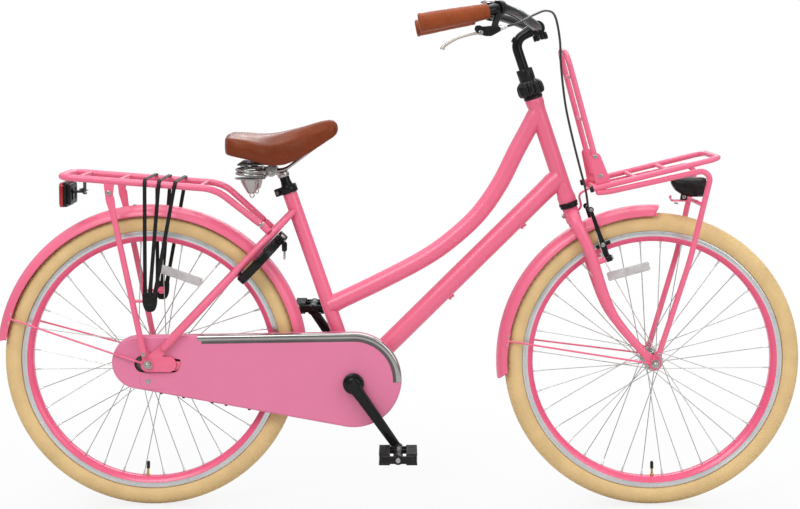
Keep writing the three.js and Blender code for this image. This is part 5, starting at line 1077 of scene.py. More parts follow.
def makeDrive():
    """The chain's links, alternately inner and outer, on the pitch line round both sprockets, and the
    sprockets."""
    level = drive["side"]
    pitchLine = belt(
        bracket[[0, 2]], pitchRadius(drive["ring"]), rearAxle[[0, 2]], pitchRadius(drive["sprocket"]), 60
    )
    pitchLine = np.vstack([pitchLine, pitchLine[:1]])
    count = int(round(lengths(pitchLine)[-1] / drive["pitch"] / 2)) * 2
    pins = even(pitchLine, count + 1)[:-1]
    parts = []
    shape = np.array([
        (-1, -0.62), (-1, 0.62), (-0.3, 0.98), (0, 0.72), (0.3, 0.98), (1, 0.62), (1, -0.62), (0.3, -0.98),
        (0, -0.72), (-0.3, -0.98)
    ])
    for i in range(count):
        here, there = pins[i], pins[(i + 1) % count]
        middle, way = (here + there) / 2, unit(there - here)
        normal = np.array([-way[1], way[0]])
        far = 3.4 if i % 2 else 2.0
        outline = middle + shape[:, :1] * way * 9.4 + shape[:, 1:] * normal * 4.1
        for side in (-1, 1):
            low, high = sorted((level + side * far, level + side * (far + drive["plate"])))
            parts.append(slab(outline, low, high, 0.25, steps=1))
        spot = np.array([here[0], level, here[1]])
        parts.append(rod(spot - across * 4.9, spot + across * 4.9, 1.8, 8, "flat"))
        parts.append(rod(spot - across * 1.7, spot + across * 1.7, 3.7, 10, "flat"))
    build("driveChain", parts, darkSteel, "frame", "chain")
    build(
        "frontChainring", [toothed(bracket, drive["ring"], 8.4)], steel, "cranks", "chainring"
    )
    boss = turned([(5.7, -4), (14, -4), (14, 4), (5.7, 4), (5.7, -4)], rearAxle + across * level, across, 36)
    build(
        "rearSprocket", [toothed(rearAxle, drive["sprocket"], 5.7), boss], darkSteel, "sprocket",
        "rear_sprocket"
    )


crank = {"right": -55.0, "left": 125.0, "length": 170.0}


def makeCranks():
    """Forged arms: an oval section that narrows towards the pedal, with round bosses and a domed dust
    cap."""
    size = {"inner": 74.0, "thick": 13.0, "boss": 16.0, "end": 11.5}
    axle = mirrored([(0, -80), (7.2, -80), (8, -79), (8, -34), (8.6, -33)], ring=False)
    build("crankAxle", [turned(axle, bracket, across, 32)], steel, "cranks", "crank_axle")
    for name, side in sides:
        out = across * side
        end = around(bracket, crank[name], crank["length"])
        level = side * (size["inner"] + size["thick"] / 2)
        run = np.linspace(0, 1, 40)[:, None]
        path = bracket + (end - bracket) * run + across * level
        half = 13.2 - 3.6 * run[:, 0] + 1.6 * np.exp(-(run[:, 0] / 0.1) ** 2)
        thick = size["thick"] / 2 - 0.9 * run[:, 0]
        parts = [sweep(path, ovals(thick, half, 28, 3.2))]
        for centre, radius, reach in ((bracket, size["boss"], 6.5), (end, size["end"], 6.2)):
            profile = [
                (0, -reach), (radius - 1.6, -reach), (radius, 1.4 - reach), (radius, reach - 1.4),
                (radius - 1.6, reach), (0, reach)
            ]
            parts.append(turned(profile, centre + across * level, across, 40))
        spindle = [(0, 0), (7.5, 0), (7.5, 3.2), (6, 3.6), (6, 96), (5, 98), (0, 98)]
        parts += tagged(turned(spindle, end + out * (size["inner"] + size["thick"] - 0.4), out, 28), 1)
        if name == "right":
            inner = [
                (8.3, 48.6), (13.5, 48.6), (13.5, 61), (21.6, 61), (23, 62.2), (23, 68.2), (21, 70),
                (12, 70.4), (12, 75), (8.3, 75), (8.3, 48.6)
            ]
        else:
            inner = [(8.3, 50), (13, 50), (14, 52), (14, 75), (8.3, 75), (8.3, 50)]
        parts.append(turned(inner, bracket, out, 48))
        cap = [(0, 86.8), (9.6, 86.8), (10.2, 87.2), (9.6, 88.2), (6, 89), (0, 89.3)]
        parts += tagged(turned(cap, bracket, out, 36), 2)
        build(
            f"crank{name.title()}", parts, [blackEnamel, steel, blackPlastic], "cranks", f"crank_{name}",
        )


def makePedals():
    """Moulded block pedals: a barrel, two ribbed treads joined by end plates, and a reflector in each long
    side."""
    size = {"width": 90.0, "start": 91.0, "tread": 29.0, "rib": 10.6}
    for name, side in sides:
        end = around(bracket, crank[name], crank["length"])
        middle = end + across * side * (size["start"] + size["width"] / 2)
        parts = [
            turned(
                mirrored([(6.4, -44.5), (9.5, -44.5), (11, -42), (11, -20), (9.6, -16)]), middle, across, 32
            )
        ]
        for way in (-1, 1):
            x = way * size["tread"]
            parts.append(block(middle + (x, 0, 0), (21, 84, 19.4), 2.2))
            for rib in np.linspace(-37, 37, 9):
                for up in (-1, 1):
                    parts.append(block(middle + (x, rib, up * size["rib"]), (23.6, 4.6, 3.8), 1.2))
            for up in (-1, 1):
                parts.append(block(middle + (way * 20, 0, up * 9.4), (3, 80, 2.4), 0.8))
            parts.append(block(middle + (0, way * 42.4, 0), (72, 5, 17), 2.2))
            parts.append(block(middle + (0, way * 30, 0), (60, 4, 10), 1.6))
            parts += tagged(block(middle + (way * 40.1, 0, 0), (1.4, 58, 13), 0.6), 1)
        build(
            f"pedal{name.title()}", parts, [blackPlastic, clearPlastic], f"{name}_pedal", f"pedal_{name}",
        )


makeDrive()
makeCranks()
makePedals()
print("frame and drive ready")


# Mudguards
guard = {"crown": 345.0, "skirt": 322.0, "half": 29.0, "wall": 1.4, "bead": 1.5, "wire": 2.1}


def arched(centre, start, end, bulge, count):
    """A mudguard's strip: at every angle an elliptical arch with rolled edges. Each line of the section
    ends sooner by bulge times the fourth power of its share of the half width, so that the strip's ends are
    round."""
    turn = np.linspace(0, math.pi, 25)
    outer, inner = (
        rays(turn) * (guard["half"] - wall, guard["crown"] - guard["skirt"] - wall)
        for wall in (0, guard["wall"])
    )
    roll = np.radians(np.array([150, 200, 250, 300, 350]))
    bead = np.stack([
        1.0 - guard["half"] + guard["bead"] * np.cos(roll), 0.9 + guard["bead"] * np.sin(roll)
    ], 1)
    section = np.vstack([outer[1:-1], bead, inner[1:-1][::-1], (bead * (-1, 1))[::-1]])
    share = np.linspace(0, 1, count)[:, None]
    sooner = bulge * (np.abs(section[:, 0]) / guard["half"]) ** 4
    angle = np.radians(start + sooner + (end - start - 2 * sooner) * share)
    return grid(swung(centre, angle, guard["skirt"] + section[:, 1], section[:, 0]))


def guardWires(centre, angle, stack, eye):
    """A wire from each side of the axle to a riveted clip on the strip's edge."""
    parts = []
    ring = [
        (5.3, 0.3), (5.6, 0), (10.8, 0), (11.4, 0.5), (11.4, 1.9), (10.8, 2.4), (5.6, 2.4), (5.3, 2.1),
        (5.3, 0.3)
    ]
    for side in (-1, 1):
        out = across * side
        tab = around(centre, angle, guard["skirt"] + guard["wire"], side * (guard["half"] + 0.4))
        loop = around(centre, angle, eye - 1.2, side * (stack + guard["wire"]))
        knee = loop + (tab - loop) * 0.1
        knee[1] = loop[1]
        parts.append(tube(fillet([loop, knee, tab], 18, 8), guard["wire"], 14, "round"))
        parts.append(turned(ring, centre + out * stack, out, 36))
        ends = [
            around(centre, angle + d, guard["skirt"] + guard["wire"], side * guard["half"])
            for d in (-3.2, 3.2)
        ]
        parts.append(sweep(np.linspace(*ends, 7), oval(1.7, 3.4, 16, 3)))
        for share in (0.22, 0.78):
            spot = ends[0] + (ends[1] - ends[0]) * share + out * 1.4
            parts += tagged(turned([(0, 1.9), (1.4, 1.7), (2.2, 0.9), (2.4, 0)], spot, out, 16), 1)
    return parts


def makeGuards():
    """Rear and front strips with their wires, clips, and a bridge bolt on the crown line."""
    parts = [arched(rearAxle, -15, 173, 1.6, 150)] + guardWires(rearAxle, 163, 65.9, 11.5)
    for angle in (96, 20):
        spot = around(rearAxle, angle, guard["crown"] - 0.6)
        parts += tagged(hexNut(spot, spot - rearAxle, 8, 2.2), 1)
    build("rearMudguard", parts, [pink, steel], "frame", "rear_mudguard")
    parts = [arched(frontAxle, 88, 187, 2.2, 90)] + guardWires(frontAxle, 172, 55.9, 11.5)
    for side in (-1, 1):
        spot = around(frontAxle, 89.6, guard["skirt"] + 2.2, side * guard["half"])
        parts.append(block(spot, (5, 2.2, 7), 0.8))
    build("frontMudguard", parts, [pink, steel], "steering", "front_mudguard")


makeGuards()


# Headset and fork
def makeHeadset():
    """The stepped cup below the head tube, and the collar above it: a ring, a bulb with twelve rounded ribs
    whose depth fades at its ends, and a sleeve with two slots' edges. A row holds radius, height and the
    ribs' share."""
    cup = [
        (13.4, 0), (19, 0), (20, 0.8), (20.2, 3.4), (19.4, 4.2), (19.4, 5.2), (21, 6), (21, 11.4),
        (20.3, 12.2), (13.4, 12.2), (13.4, 0)
    ]
    build(
        "headsetLowerCup", [turned(cup, steering(379.5), steering.along, 56)], blackPlastic, "frame",
        "headset_lower_cup"
    )
    foot = 632.3
    rows = np.array([
        (13.4, 0, 0), (20.2, 0, 0), (21, 0.8, 0), (21, 6, 0), (20.4, 7, 0), (22, 7.8, 0.1),
        (25.8, 8.8, 0.6), (28.2, 11, 0.9), (29.5, 14.5, 1), (29.9, 19, 1), (29.7, 26, 1), (28.9, 31, 1),
        (26.8, 35, 0.9), (23.4, 38.6, 0.6), (19.2, 42, 0.1), (17.6, 43, 0), (17.4, 44, 0), (18, 45, 0),
        (18, 67.6, 0), (17.2, 68.6, 0), (13.4, 68.8, 0)
    ])
    turn = fullTurn(168)
    lobe = np.abs(np.cos(turn * 6)) ** 0.55
    radius = rows[:, 0:1] * (1 - 0.11 * rows[:, 2:] * (1 - lobe)[None])
    spokes = np.cos(turn)[:, None] * across + np.sin(turn)[:, None] * np.cross(steering.along, across)
    points = steering(foot) + rows[:, None, 1:2] * steering.along + radius[..., None] * spokes
    parts = [grid(points, loop=True)]
    for side in (-1, 1):
        parts.append(
            block(steering(foot + 57, 0, side * 17.4), (4.2, 1.8, 20), 0.8, steering.ahead, steering.along)
        )
    build("headsetCollar", parts, blackPlastic, "frame", "headset_collar")


def makeFork():
    """Crown, steerer and two blades, oval and tapered, that sweep forward to flattened ends."""
    size = {"middle": 363.0, "rake": 66.3}
    crown = [
        (0, -17), (15.6, -17), (16.6, -16.4), (17, -15), (17, 15), (16.6, 15.8), (12.8, 16), (12.8, 337.5),
        (0, 337.5)
    ]
    parts = [turned(crown, steering(size["middle"]), steering.along, 48)]
    for side in (-1, 1):
        shares = [(0.78, 0.12), (0.37, 0.19), (0.14, 0.62), (0.035, 0.88)]
        points = [
            steering(366, 0, side * 2), steering(365, 0, side * 20), steering(354, 0, side * 38),
            steering(326, 3, side * 45.6)
        ]
        points += [
            steering(size["middle"] * a, size["rake"] * f, side * (46.25 + i / 4))
            for i, (a, f) in enumerate(shares)
        ]
        path = spline(points, 110)
        run = np.linspace(0, 1, len(path))
        wide, deep = 11.8 - 5.4 * run ** 0.9, 13.8 - 5.2 * run
        parts.append(sweep(path, ovals(wide, deep, 32), steering.along))
        outline = belt(frontAxle[[0, 2]], 15, path[-4][[0, 2]], 7.6, 20)
        parts.append(sidePlate(outline, side, 50.3, 55.3, 1.0))
        way = unit(path[-1] - path[-2])
        tip = [(0, 0), (7.8, 0), (7.6, 5), (6.2, 9), (3.4, 11.6), (0, 12.4)]
        parts.append(turned(tip, path[-1] - way * 1.5, way, 24))
        pin = steering(251, 10, side * 43)
        parts.append(
            turned([(0, 0), (7.6, 0), (6.5, 6), (6.5, 25.4), (5.9, 26), (0, 26)], pin, steering.ahead, 24)
        )
        parts += tagged(
            turned([(0, 20), (3.5, 20), (3.5, 40.4), (3, 41), (0, 41)], pin, steering.ahead, 20), 1
        )
    back = steering(size["middle"] + 2, -16.4)
    parts += tagged(hexNut(back, -steering.ahead, 10, 5.2, 2.4), 1)
    front = steering(size["middle"] - 2, 13)
    parts += tagged(hexNut(front, steering.ahead, 9, 4), 1)
    build("frontFork", parts, [pink, steel], "steering", "fork")


makeHeadset()
makeFork()


# Stem, bar, grips
clampCentre = steering(777, 54)
barEnds = np.array([
    (0, 0.083, 0), (0.061, 0.264, 0.22), (0.168, 0.495, 0.61), (0.286, 0.76, 0.92), (0.374, 0.9, 1),
    (0.48, 0.964, 0.8), (0.74, 0.99, 0.47), (0.985, 1, 0.14)
])


def halfBar(side, count=120):
    """The bar's line on one side, from the middle outwards and back to the grip's end."""
    points = np.stack([
        clampCentre[0] - barEnds[:, 0] * 262, side * barEnds[:, 1] * 303,
        clampCentre[2] + barEnds[:, 2] * 36
    ], 1)
    return spline(points, count)


barRight, barLeft = halfBar(-1), halfBar(1)
barLength = lengths(barLeft)[-1]


def onBar(half, share):
    """A point of half the bar and the heading there."""
    spot = share * (len(half) - 1)
    i = min(int(spot), len(half) - 2)
    return half[i] + (half[i + 1] - half[i]) * (spot - i), unit(half[i + 1] - half[i])


def makeStem():
    """A quill bent forward into a clamp that is slotted below and pinched by a bolt with a knurled head."""
    head = clampCentre - steering.ahead * 10
    path = fillet([steering(633), steering(766), head], 22, 10)
    run = lengths(path)
    radius = 11 + 2.6 * np.clip((run - run[-1] + 30) / 30, 0, 1) ** 2
    parts = [tube(path, radius, 36, "edge")]
    ring = mirrored([(11.3, -21), (15.4, -21), (16.6, -20.2), (17, -18.6), (17, -3.2), (16.2, -2.4)])
    parts.append(turned(ring, clampCentre, across, 56))
    low = clampCentre - steering.along * 20
    for side in (-1, 1):
        parts.append(
            block(
                low + steering.ahead * side * 5.2 + steering.along * 2, (8.4, 30, 20), 3.4, steering.ahead,
                steering.along
            )
        )
    bolt = clampCentre - steering.along * 21
    knob = [(0, 0), (7.6, 0), (8.4, 0.8), (8.4, 7.6), (7.4, 8.6), (4, 8.8), (3.6, 7), (0, 6.8)]
    ribs = 1 - 0.05 * (np.cos(fullTurn(72) * 12) < 0)[None] * np.array([0, 1, 1, 1, 1, 0, 0, 0])[:, None]
    parts += tagged(turned(knob, bolt + steering.ahead * 9, steering.ahead, 72, ribs), 1)
    parts += tagged(hexNut(bolt - steering.ahead * 9, -steering.ahead, 12, 5), 1)
    bend = path[len(path) // 2]
    outward = unit(steering.along - steering.ahead)
    parts += tagged(socketBolt(bend + outward * 9.4, outward, 6.4, 4.4), 1)
    build("barStem", parts, [blackEnamel, blackPlastic], "steering", "stem")


def makeBar():
    """The swept bar, with a fine knurled sleeve where the clamp holds it."""
    path = np.vstack([barRight[::-1], barLeft])
    sleeve = np.exp(-(path[:, 1] / 34) ** 8)
    build(
        "sweptBar", [tube(path, 11.1 + 0.35 * sleeve, 36, "edge")], blackEnamel, "steering", "handlebar",
    )


def makeGrip(name, half):
    """A moulded grip on the bar's own line, wider outwards, ringed by grooves and closed by a rounded cap.
    Its radius is a straight taper less a narrow bell-shaped dip at each groove, with a low wave for the
    palm. A groove is its distance from the grip's end, its width and its depth."""
    size = {"length": 136.0, "inner": 16.2, "outer": 19.6, "over": 3.0, "cap": 4.0, "bore": 11.35}
    count = 150
    back = np.linspace(0, size["length"], count)
    path = np.array([onBar(half, 1 - b / barLength)[0] for b in back])
    heading = onBar(half, 1.0)[1]
    path[0] = path[0] + heading * size["over"]
    share = back / size["length"]
    radius = size["outer"] + (size["inner"] - size["outer"]) * share + 0.35 * np.sin(share * 2 * math.pi)
    for spot, wide, deep in (
        (9, 1.0, 0.9), (13.5, 0.8, 0.7), (18, 0.8, 0.7), (52, 0.9, 0.8), (57, 0.9, 0.8), (79, 0.8, 0.6),
        (129, 0.9, 0.9), (124, 0.8, 0.6), (3.5, 3.4, -0.9),
    ):
        radius = radius - deep * np.exp(-((back - spot) / wide) ** 2)
    path, cap = even(path, count), size["cap"]
    turns = np.linspace(0, math.pi / 2, 7)
    runs = np.concatenate([cap * (1 - np.sin(turns))[::-1], back[back > cap * 1.05]])
    shrink = np.ones(len(runs))
    shrink[:7] = 1 - (cap - cap * np.cos(turns[::-1])) / radius[0]
    middles = np.stack([np.interp(runs, back, path[:, k]) for k in range(3)], 1)
    tangent = headings(middles)
    middles, tangent = (np.vstack([rows, rows[-1:]]) for rows in (middles, tangent))
    shape = np.append(np.interp(runs, back, radius) * shrink, size["bore"])
    first = unit(np.cross(tangent, across))
    second = np.cross(tangent, first)
    turn = fullTurn(48)
    points = middles[:, None] + shape[:, None, None] * (
        np.cos(turn)[None, :, None] * first[:, None] + np.sin(turn)[None, :, None] * second[:, None]
    )
    build(f"grip{name.title()}", [grid(points)], gripLeather, "steering", f"grip_{name}")


makeStem()
makeBar()
makeGrip("right", barRight)
makeGrip("left", barLeft)


# Bell, brake lever, arms and cable
def makeBell():
    """A stamped dome with a rolled lip and a button on top, over a base on a band, and a curved thumb
    lever."""
    foot, heading = onBar(barLeft, 0.565)
    base = foot + (0, 0, 23)
    band = mirrored([(11.4, -6), (14, -6), (14.5, -5.4)])
    parts = tagged(turned(band, foot, heading, 40), 1)
    parts += tagged(turned([(0, 13), (6, 13), (5, 17), (5, 22), (8, 23.2), (0, 23.2)], foot, upward, 28), 1)
    plate = [(0, 0), (18, 0), (19, 0.8), (19, 3.2), (18.2, 4), (0, 4)]
    parts += tagged(turned(plate, base, upward, 56), 1)
    turn = np.linspace(0, 1, 18)[1:-1] * math.pi / 2
    bowl = lambda radius, low, tall: [(radius * math.cos(t) ** 0.9, low + tall * math.sin(t)) for t in turn]
    dome = [(21.4, 4.6), (22.4, 4.4), (23, 5.2), (22.8, 6.4)] + bowl(22.4, 6.4, 9.2)
    dome += [(0.4, 15.6), (0, 15.6), (0, 13.4)] + bowl(20.6, 5.8, 8.0)[::-1] + [(21.4, 4.6)]
    parts.append(turned(dome, base, upward, 80))
    parts.append(turned([(0, 14.6), (3.4, 15.2), (3, 16), (1.8, 16.4), (0, 16.5)], base, upward, 28))
    parts += tagged(turned([(0, 4), (2.2, 4), (2.2, 15), (0, 15)], base, upward, 16), 1)
    pivot = base + (-12, 0, -2.3)
    parts += tagged(
        turned([(0, -3.6), (2.4, -3.6), (2.4, -2.4), (1.6, -2.2), (1.6, 3.6), (0, 3.6)], pivot, upward, 18),
        1
    )
    build("ringBell", parts, [chrome, blackPlastic], "steering", "bell")
    outline = fillet([
        (4, -2.8), (4, 2.8), (-10, 2.6), (-17, 3), (-18, 0), (-17, -3), (-10, -2.6)
    ], 2.2, 5, loop=True)
    thumb = slab(outline, -1.8, 1.8, 0.7, pivot, lengthways, across, upward)
    ridges = [block(pivot + (x, 0, 1.7), (0.8, 4.2, 0.6), 0.25) for x in (-16, -14.4, -12.8)]
    build("bellLever", [thumb] + ridges, blackPlastic, "bell_thumb_lever", "bell_lever")


leverFoot, leverLine = onBar(barRight, 0.615)
leverBody = leverFoot + (-25, -20, -46)
leverPivot = leverBody + (-14, 0, -4)
barrelRun = (15, 0, 4)


def makeBrakeLever():
    """A pear-shaped body of two cheeks and a solid nose, hung from a band round the bar, with its barrel
    and blade."""
    outline = fillet([
        (-26.4, 3), (-24, 10.2), (-16, 11), (-11, 8.2), (-2, 9), (21, 9.6), (26.4, 6), (25.4, -1),
        (8, -10.8), (-3, -10.9), (-15, -7.6), (-22, -4)
    ], 2.6, 5, loop=True)
    nose = fillet([(-3, 9.4), (19, 10.2), (25.6, 6), (24, -2), (9, -10), (-3, -10)], 3, 4, loop=True)
    parts = [slab(outline, side - 1.15, side + 1.15, 0.9, leverBody) for side in (-7.35, 7.35)]
    parts.append(slab(nose, -6.4, 6.4, 0.3, leverBody))
    band = mirrored([(11.4, -7), (14.8, -7), (15.5, -6.2)])
    parts.append(turned(band, leverFoot, leverLine, 44))
    neck = leverFoot + np.array([-12, -20, -40]) * np.linspace(0.2, 1, 12)[:, None]
    parts.append(sweep(neck, oval(8.6, 7.4, 28, 2.6)[None] * np.linspace(1.0, 0.86, 12)[:, None, None]))
    parts += tagged(socketBolt(leverPivot - across * 8.5, -across, 4.6, 1.8), 1)
    parts += tagged(rod(leverPivot - across * 8, leverPivot + across * 8, 2.8, 20), 1)
    parts += tagged(hexNut(leverPivot + across * 8.4, across, 7, 2.4), 1)
    start = leverBody + (24, 0, 5)
    heading, length = unit(barrelRun), float(np.linalg.norm(barrelRun))
    profile = [
        (0, -4), (6.2, -4), (6.6, -1), (6.6, 1.6), (5.4, 2.4), (5.2, 5.6), (5.4, 6), (5, 6.6), (4.4, 10),
        (3.8, 14), (3.5, length - 0.6), (2.8, length), (0, length)
    ]
    ribs = 1 - 0.06 * (np.cos(fullTurn(60) * 10) < 0)[None] * np.array([0] + [1] * 4 + [0] * 8)[:, None]
    parts += tagged(turned(profile, start, heading, 60, ribs), 2)
    build(
        "brakeLeverBody", parts, [blackPlastic, steel, alloy], "steering", "brake_lever_body",
    )
    shares = [(-0.1, 0), (0.08, 0.02), (0.25, 0.1), (0.62, 0.38), (0.86, 0.7), (0.965, 0.9), (0.985, 1.05)]
    points = [leverPivot + (-back * 78, 0, -drop * 32) for back, drop in shares]
    path = spline(points, 60)
    run = np.linspace(0, 1, len(path))
    knob = np.exp(-((run - 0.985) / 0.03) ** 2)
    tall = 4.0 - 1.3 * np.sin(np.clip(run / 0.96, 0, 1) * math.pi) ** 0.8 + 0.7 * knob
    blade = sweep(path, ovals(5.6 - 0.9 * run + 0.6 * knob, tall, 28, 2.6))
    eye = turned(mirrored([(3.3, -5.8), (4.8, -5.8), (5.2, -5.2)]), leverPivot, across, 32)
    build("brakeLever", [blade, eye], satinSilver, "lever", "brake_lever")


armLine = Line(steering(251, 41), 109.6)


def makeArms():
    """Rim brake arms: a slim forged bar from the pivot to the cable's anchor, with pad, washers, spring and
    bolts."""
    size = {"length": 114.0, "side": 43.0, "padAngle": 113.4, "padRadius": 281.3, "padSide": 23.1}
    for name, side in sides:
        out = across * side
        spot = lambda along, ahead=0.0, y=size["side"]: armLine(along, ahead, y * side)
        run = np.linspace(0, 1, 26)
        top = spot(size["length"])
        path = spot(0) + (top - spot(0)) * run[:, None]
        deep = 6.4 - 2.6 * run + 1.4 * np.exp(-((run - 0.28) / 0.08) ** 2)
        wide = 3.5 + 0.8 * np.exp(-(run / 0.08) ** 2)
        parts = [sweep(path, ovals(wide, deep, 24, 3))]
        boss = [(3.8, -4.4), (6.8, -4.4), (7.5, -3.6), (7.5, 8), (6.8, 8.9), (3.8, 8.9), (3.8, -4.4)]
        parts.append(turned(boss, spot(0), armLine.ahead, 36))
        pad = around(frontAxle, size["padAngle"], size["padRadius"], size["padSide"] * side)
        padLine = Line(pad, size["padAngle"])
        along, up = -padLine.ahead, padLine.along
        parts.append(block(pad, (33.6, 8.6, 7.8), 1.6, along, up))
        for step in (-9, -3, 3, 9):
            parts.append(block(pad - out * 4.0 + along * step, (2.4, 1.2, 8.0), 0.3, along, up))
        hold = spot(32)
        heading = unit(pad - hold)
        reach = float(np.linalg.norm(pad - hold))
        parts += tagged(rod(hold - heading * 5.6, pad, 2.9, 20), 1)
        for where, radius, thick in ((reach - 9.2, 5.4, 2.2), (reach - 6.6, 4.6, 2.0), (3.6, 5.2, 1.6)):
            parts += tagged(washer(hold + heading * where, heading, radius, 2.6, thick), 1)
        parts += tagged(hexNut(hold - heading * 3.4, -heading, 9, 4.2, 2.2), 1)
        parts.append(
            turned([(0, -3.6), (5.6, -3.6), (6.4, -2.6), (6.4, 3), (5.6, 3.9), (0, 4)], top, out, 28)
        )
        parts.append(rod(top, spot(size["length"], 0, 14), 3.4))
        if name == "right":
            parts += tagged(socketBolt(top + out * 3.6, out, 4.2, 3.4), 1)
        wire = [spot(3, -7.4, 46), spot(20, -7.8, 46), spot(44, -6.6, 45.2), spot(62, -5, 44.8)]
        parts += tagged(tube(spline(wire, 24), 0.9, 8, "flat"), 1)
        parts += tagged(rod(spot(60, -6.5, 43), spot(60, 5.5, 43), 1.5, 12), 1)
        parts += tagged(socketBolt(spot(0, 9.0), armLine.ahead, 5.0, 3.2), 1)
        build(
            f"brakeArm{name.title()}", parts, [blackEnamel, steel], f"{name}_arm", f"brake_arm_{name}",
        )


def makeCable():
    """The brake cable from the lever's barrel, over in a high loop and down to the arms."""
    start = leverBody + (39, 0, 9)
    heading = unit(barrelRun)
    top = armLine(118.3)
    route = [start + heading * 1.2] + [
        np.array(p, float)
        for p in (
            (232, -286, 1064), (269, -215, 1082), (303, -150, 1093), (326, -95, 1082), (340, -62, 1030),
            (343, -48, 989), (349, -42, 935), (357, -38, 883), (373, -33, 815), (389, -27, 755),
            (401, -18, 714), (407, -7, 690)
        )
    ] + [top + (0, 0, 2.6)]
    path = spline(route, 220)
    piece = build(
        "brakeCable", [tube(path, 2.5, 18, "edge", (0.2, 0.9, 0.1), 0.4)], sleeveRubber, "steering",
        "brake_cable"
    )


makeBell()
makeBrakeLever()
makeArms()
makeCable()
print("steering ready")


# Carriers
def pinched(start, end, radius, flat=1.7, run=13.0, up=upward):
    """A crossbar: round in the middle, its ends pressed flat and wide over run millimetres. The section's
    height and width blend between the two by a smooth step of the distance from the end."""
    start, end = np.asarray(start, float), np.asarray(end, float)
    length = float(np.linalg.norm(end - start))
    far = np.unique(np.concatenate([np.linspace(0, run * 1.6, 12), length - np.linspace(0, run * 1.6, 12)]))
    path = start + (end - start) * (far / length)[:, None]
    near = np.clip(np.minimum(far, length - far) / run, 0, 1)
    blend = near * near * (3 - 2 * near)
    return sweep(path, ovals(flat + (radius - flat) * blend, radius * (1.55 - 0.55 * blend), 20, 2.4), up)


rack = {
    "tube": 7.5, "leg": 6.5, "half": 76.0, "rear": -185.0, "rearTop": 738.0, "length": 336.0, "drop": 26.0
}


def rackSpot(x, y, z):
    """A point at x ahead of the rear axle."""
    return np.array([rearAxle[0] + x, y, z], float)


def rackTop(x):
    """The height of the rear carrier's rail, which falls evenly towards the front."""
    return rack["rearTop"] - (x - rack["rear"]) * rack["drop"] / rack["length"]


def makeRearRack():
    """One bent tube with pressed crossbars, legs that hang from lugs under it, tabs for the straps and flat
    feet."""
    size = {"lug": 700, "hook": 468, "foot": 352}
    spot, half = rackSpot, rack["half"]
    halfLoop = lambda s: [
        spot(248, s * 44, 630), spot(151, s * half, rackTop(151)),
        spot(rack["rear"], s * half, rackTop(rack["rear"]))
    ]
    parts = [tube(fillet(halfLoop(-1) + halfLoop(1)[::-1], 30, 10), rack["tube"], 28, "round")]
    for share in (0.116, 0.375, 0.899):
        x = rack["rear"] + rack["length"] * share
        parts.append(pinched(spot(x, -half, rackTop(x) + 1), spot(x, half, rackTop(x) + 1), 4.5))
    bolts = []
    for side in (-1, 1):
        out = across * side
        top, foot = spot(-78, side * 79, size["lug"]), spot(-8, side * 74, size["foot"])
        way = unit(foot - top)
        run = np.array([0, 3, 8, 16, 28, 44, 60, 320, 336, 348])
        path = top + way * (run * np.linalg.norm(foot - top) / run[-1])[:, None]
        flat = np.array([0.42, 0.42, 0.42, 0.45, 0.62, 0.9, 1, 1, 0.9, 0.8])
        wide = np.array([0.9, 1.35, 1.5, 1.45, 1.25, 1.05, 1, 1, 1.15, 1.1])
        parts.append(sweep(path, ovals(flat * rack["leg"], wide * rack["leg"], 24, 2.2)))
        outline = fillet([(-12, 26), (12, 26), (9, 0), (7.5, -12), (-7.5, -12), (-9, 0)], 5, 5, loop=True)
        centre = spot(-78, side * 78.5, 704)
        parts.append(slab(outline, -2.3, 2.3, 0.8, centre))
        bolts += socketBolt(centre + out * 3.8, out, 5.2, 3.0)
        eye = foot * (1, 0, 1)
        parts.append(rod(eye + out * 66.2, eye + out * 80, 5.4, 24))
        bolts += hexNut(eye + out * 79.6, out, 8, 3.2, 1.6)
        shoe, knee = halfLoop(side)[:2]
        gap = stay(float((shoe - rearAxle) @ stay.along)) + out * 44 - shoe
        parts.append(rod(shoe, shoe + unit(gap) * max(float(np.linalg.norm(gap)) - 8.6, 2), 7.6, 28))
        bolts += socketBolt(shoe + out * 7.0 - unit(shoe - knee) * 2, out, 4.6, 2.6)
        inner = top + (foot - top) * (size["lug"] - size["hook"]) / (size["lug"] - size["foot"])
        outer = spot(11.5, side * 80, size["hook"])
        parts.append(tube(np.stack([inner, (inner + outer) / 2, outer]), 3.4, 18, "round"))
        tab = fillet([(-7, -8), (7, -8), (7, 8), (-7, 8)], 5, 5, loop=True)
        parts.append(slab(tab, -2, 2, 0.8, outer - (3, 0, 0)))
    parts += tagged(bolts, 1)
    build("rearRack", parts, [pink, steel], "frame", "rear_rack")


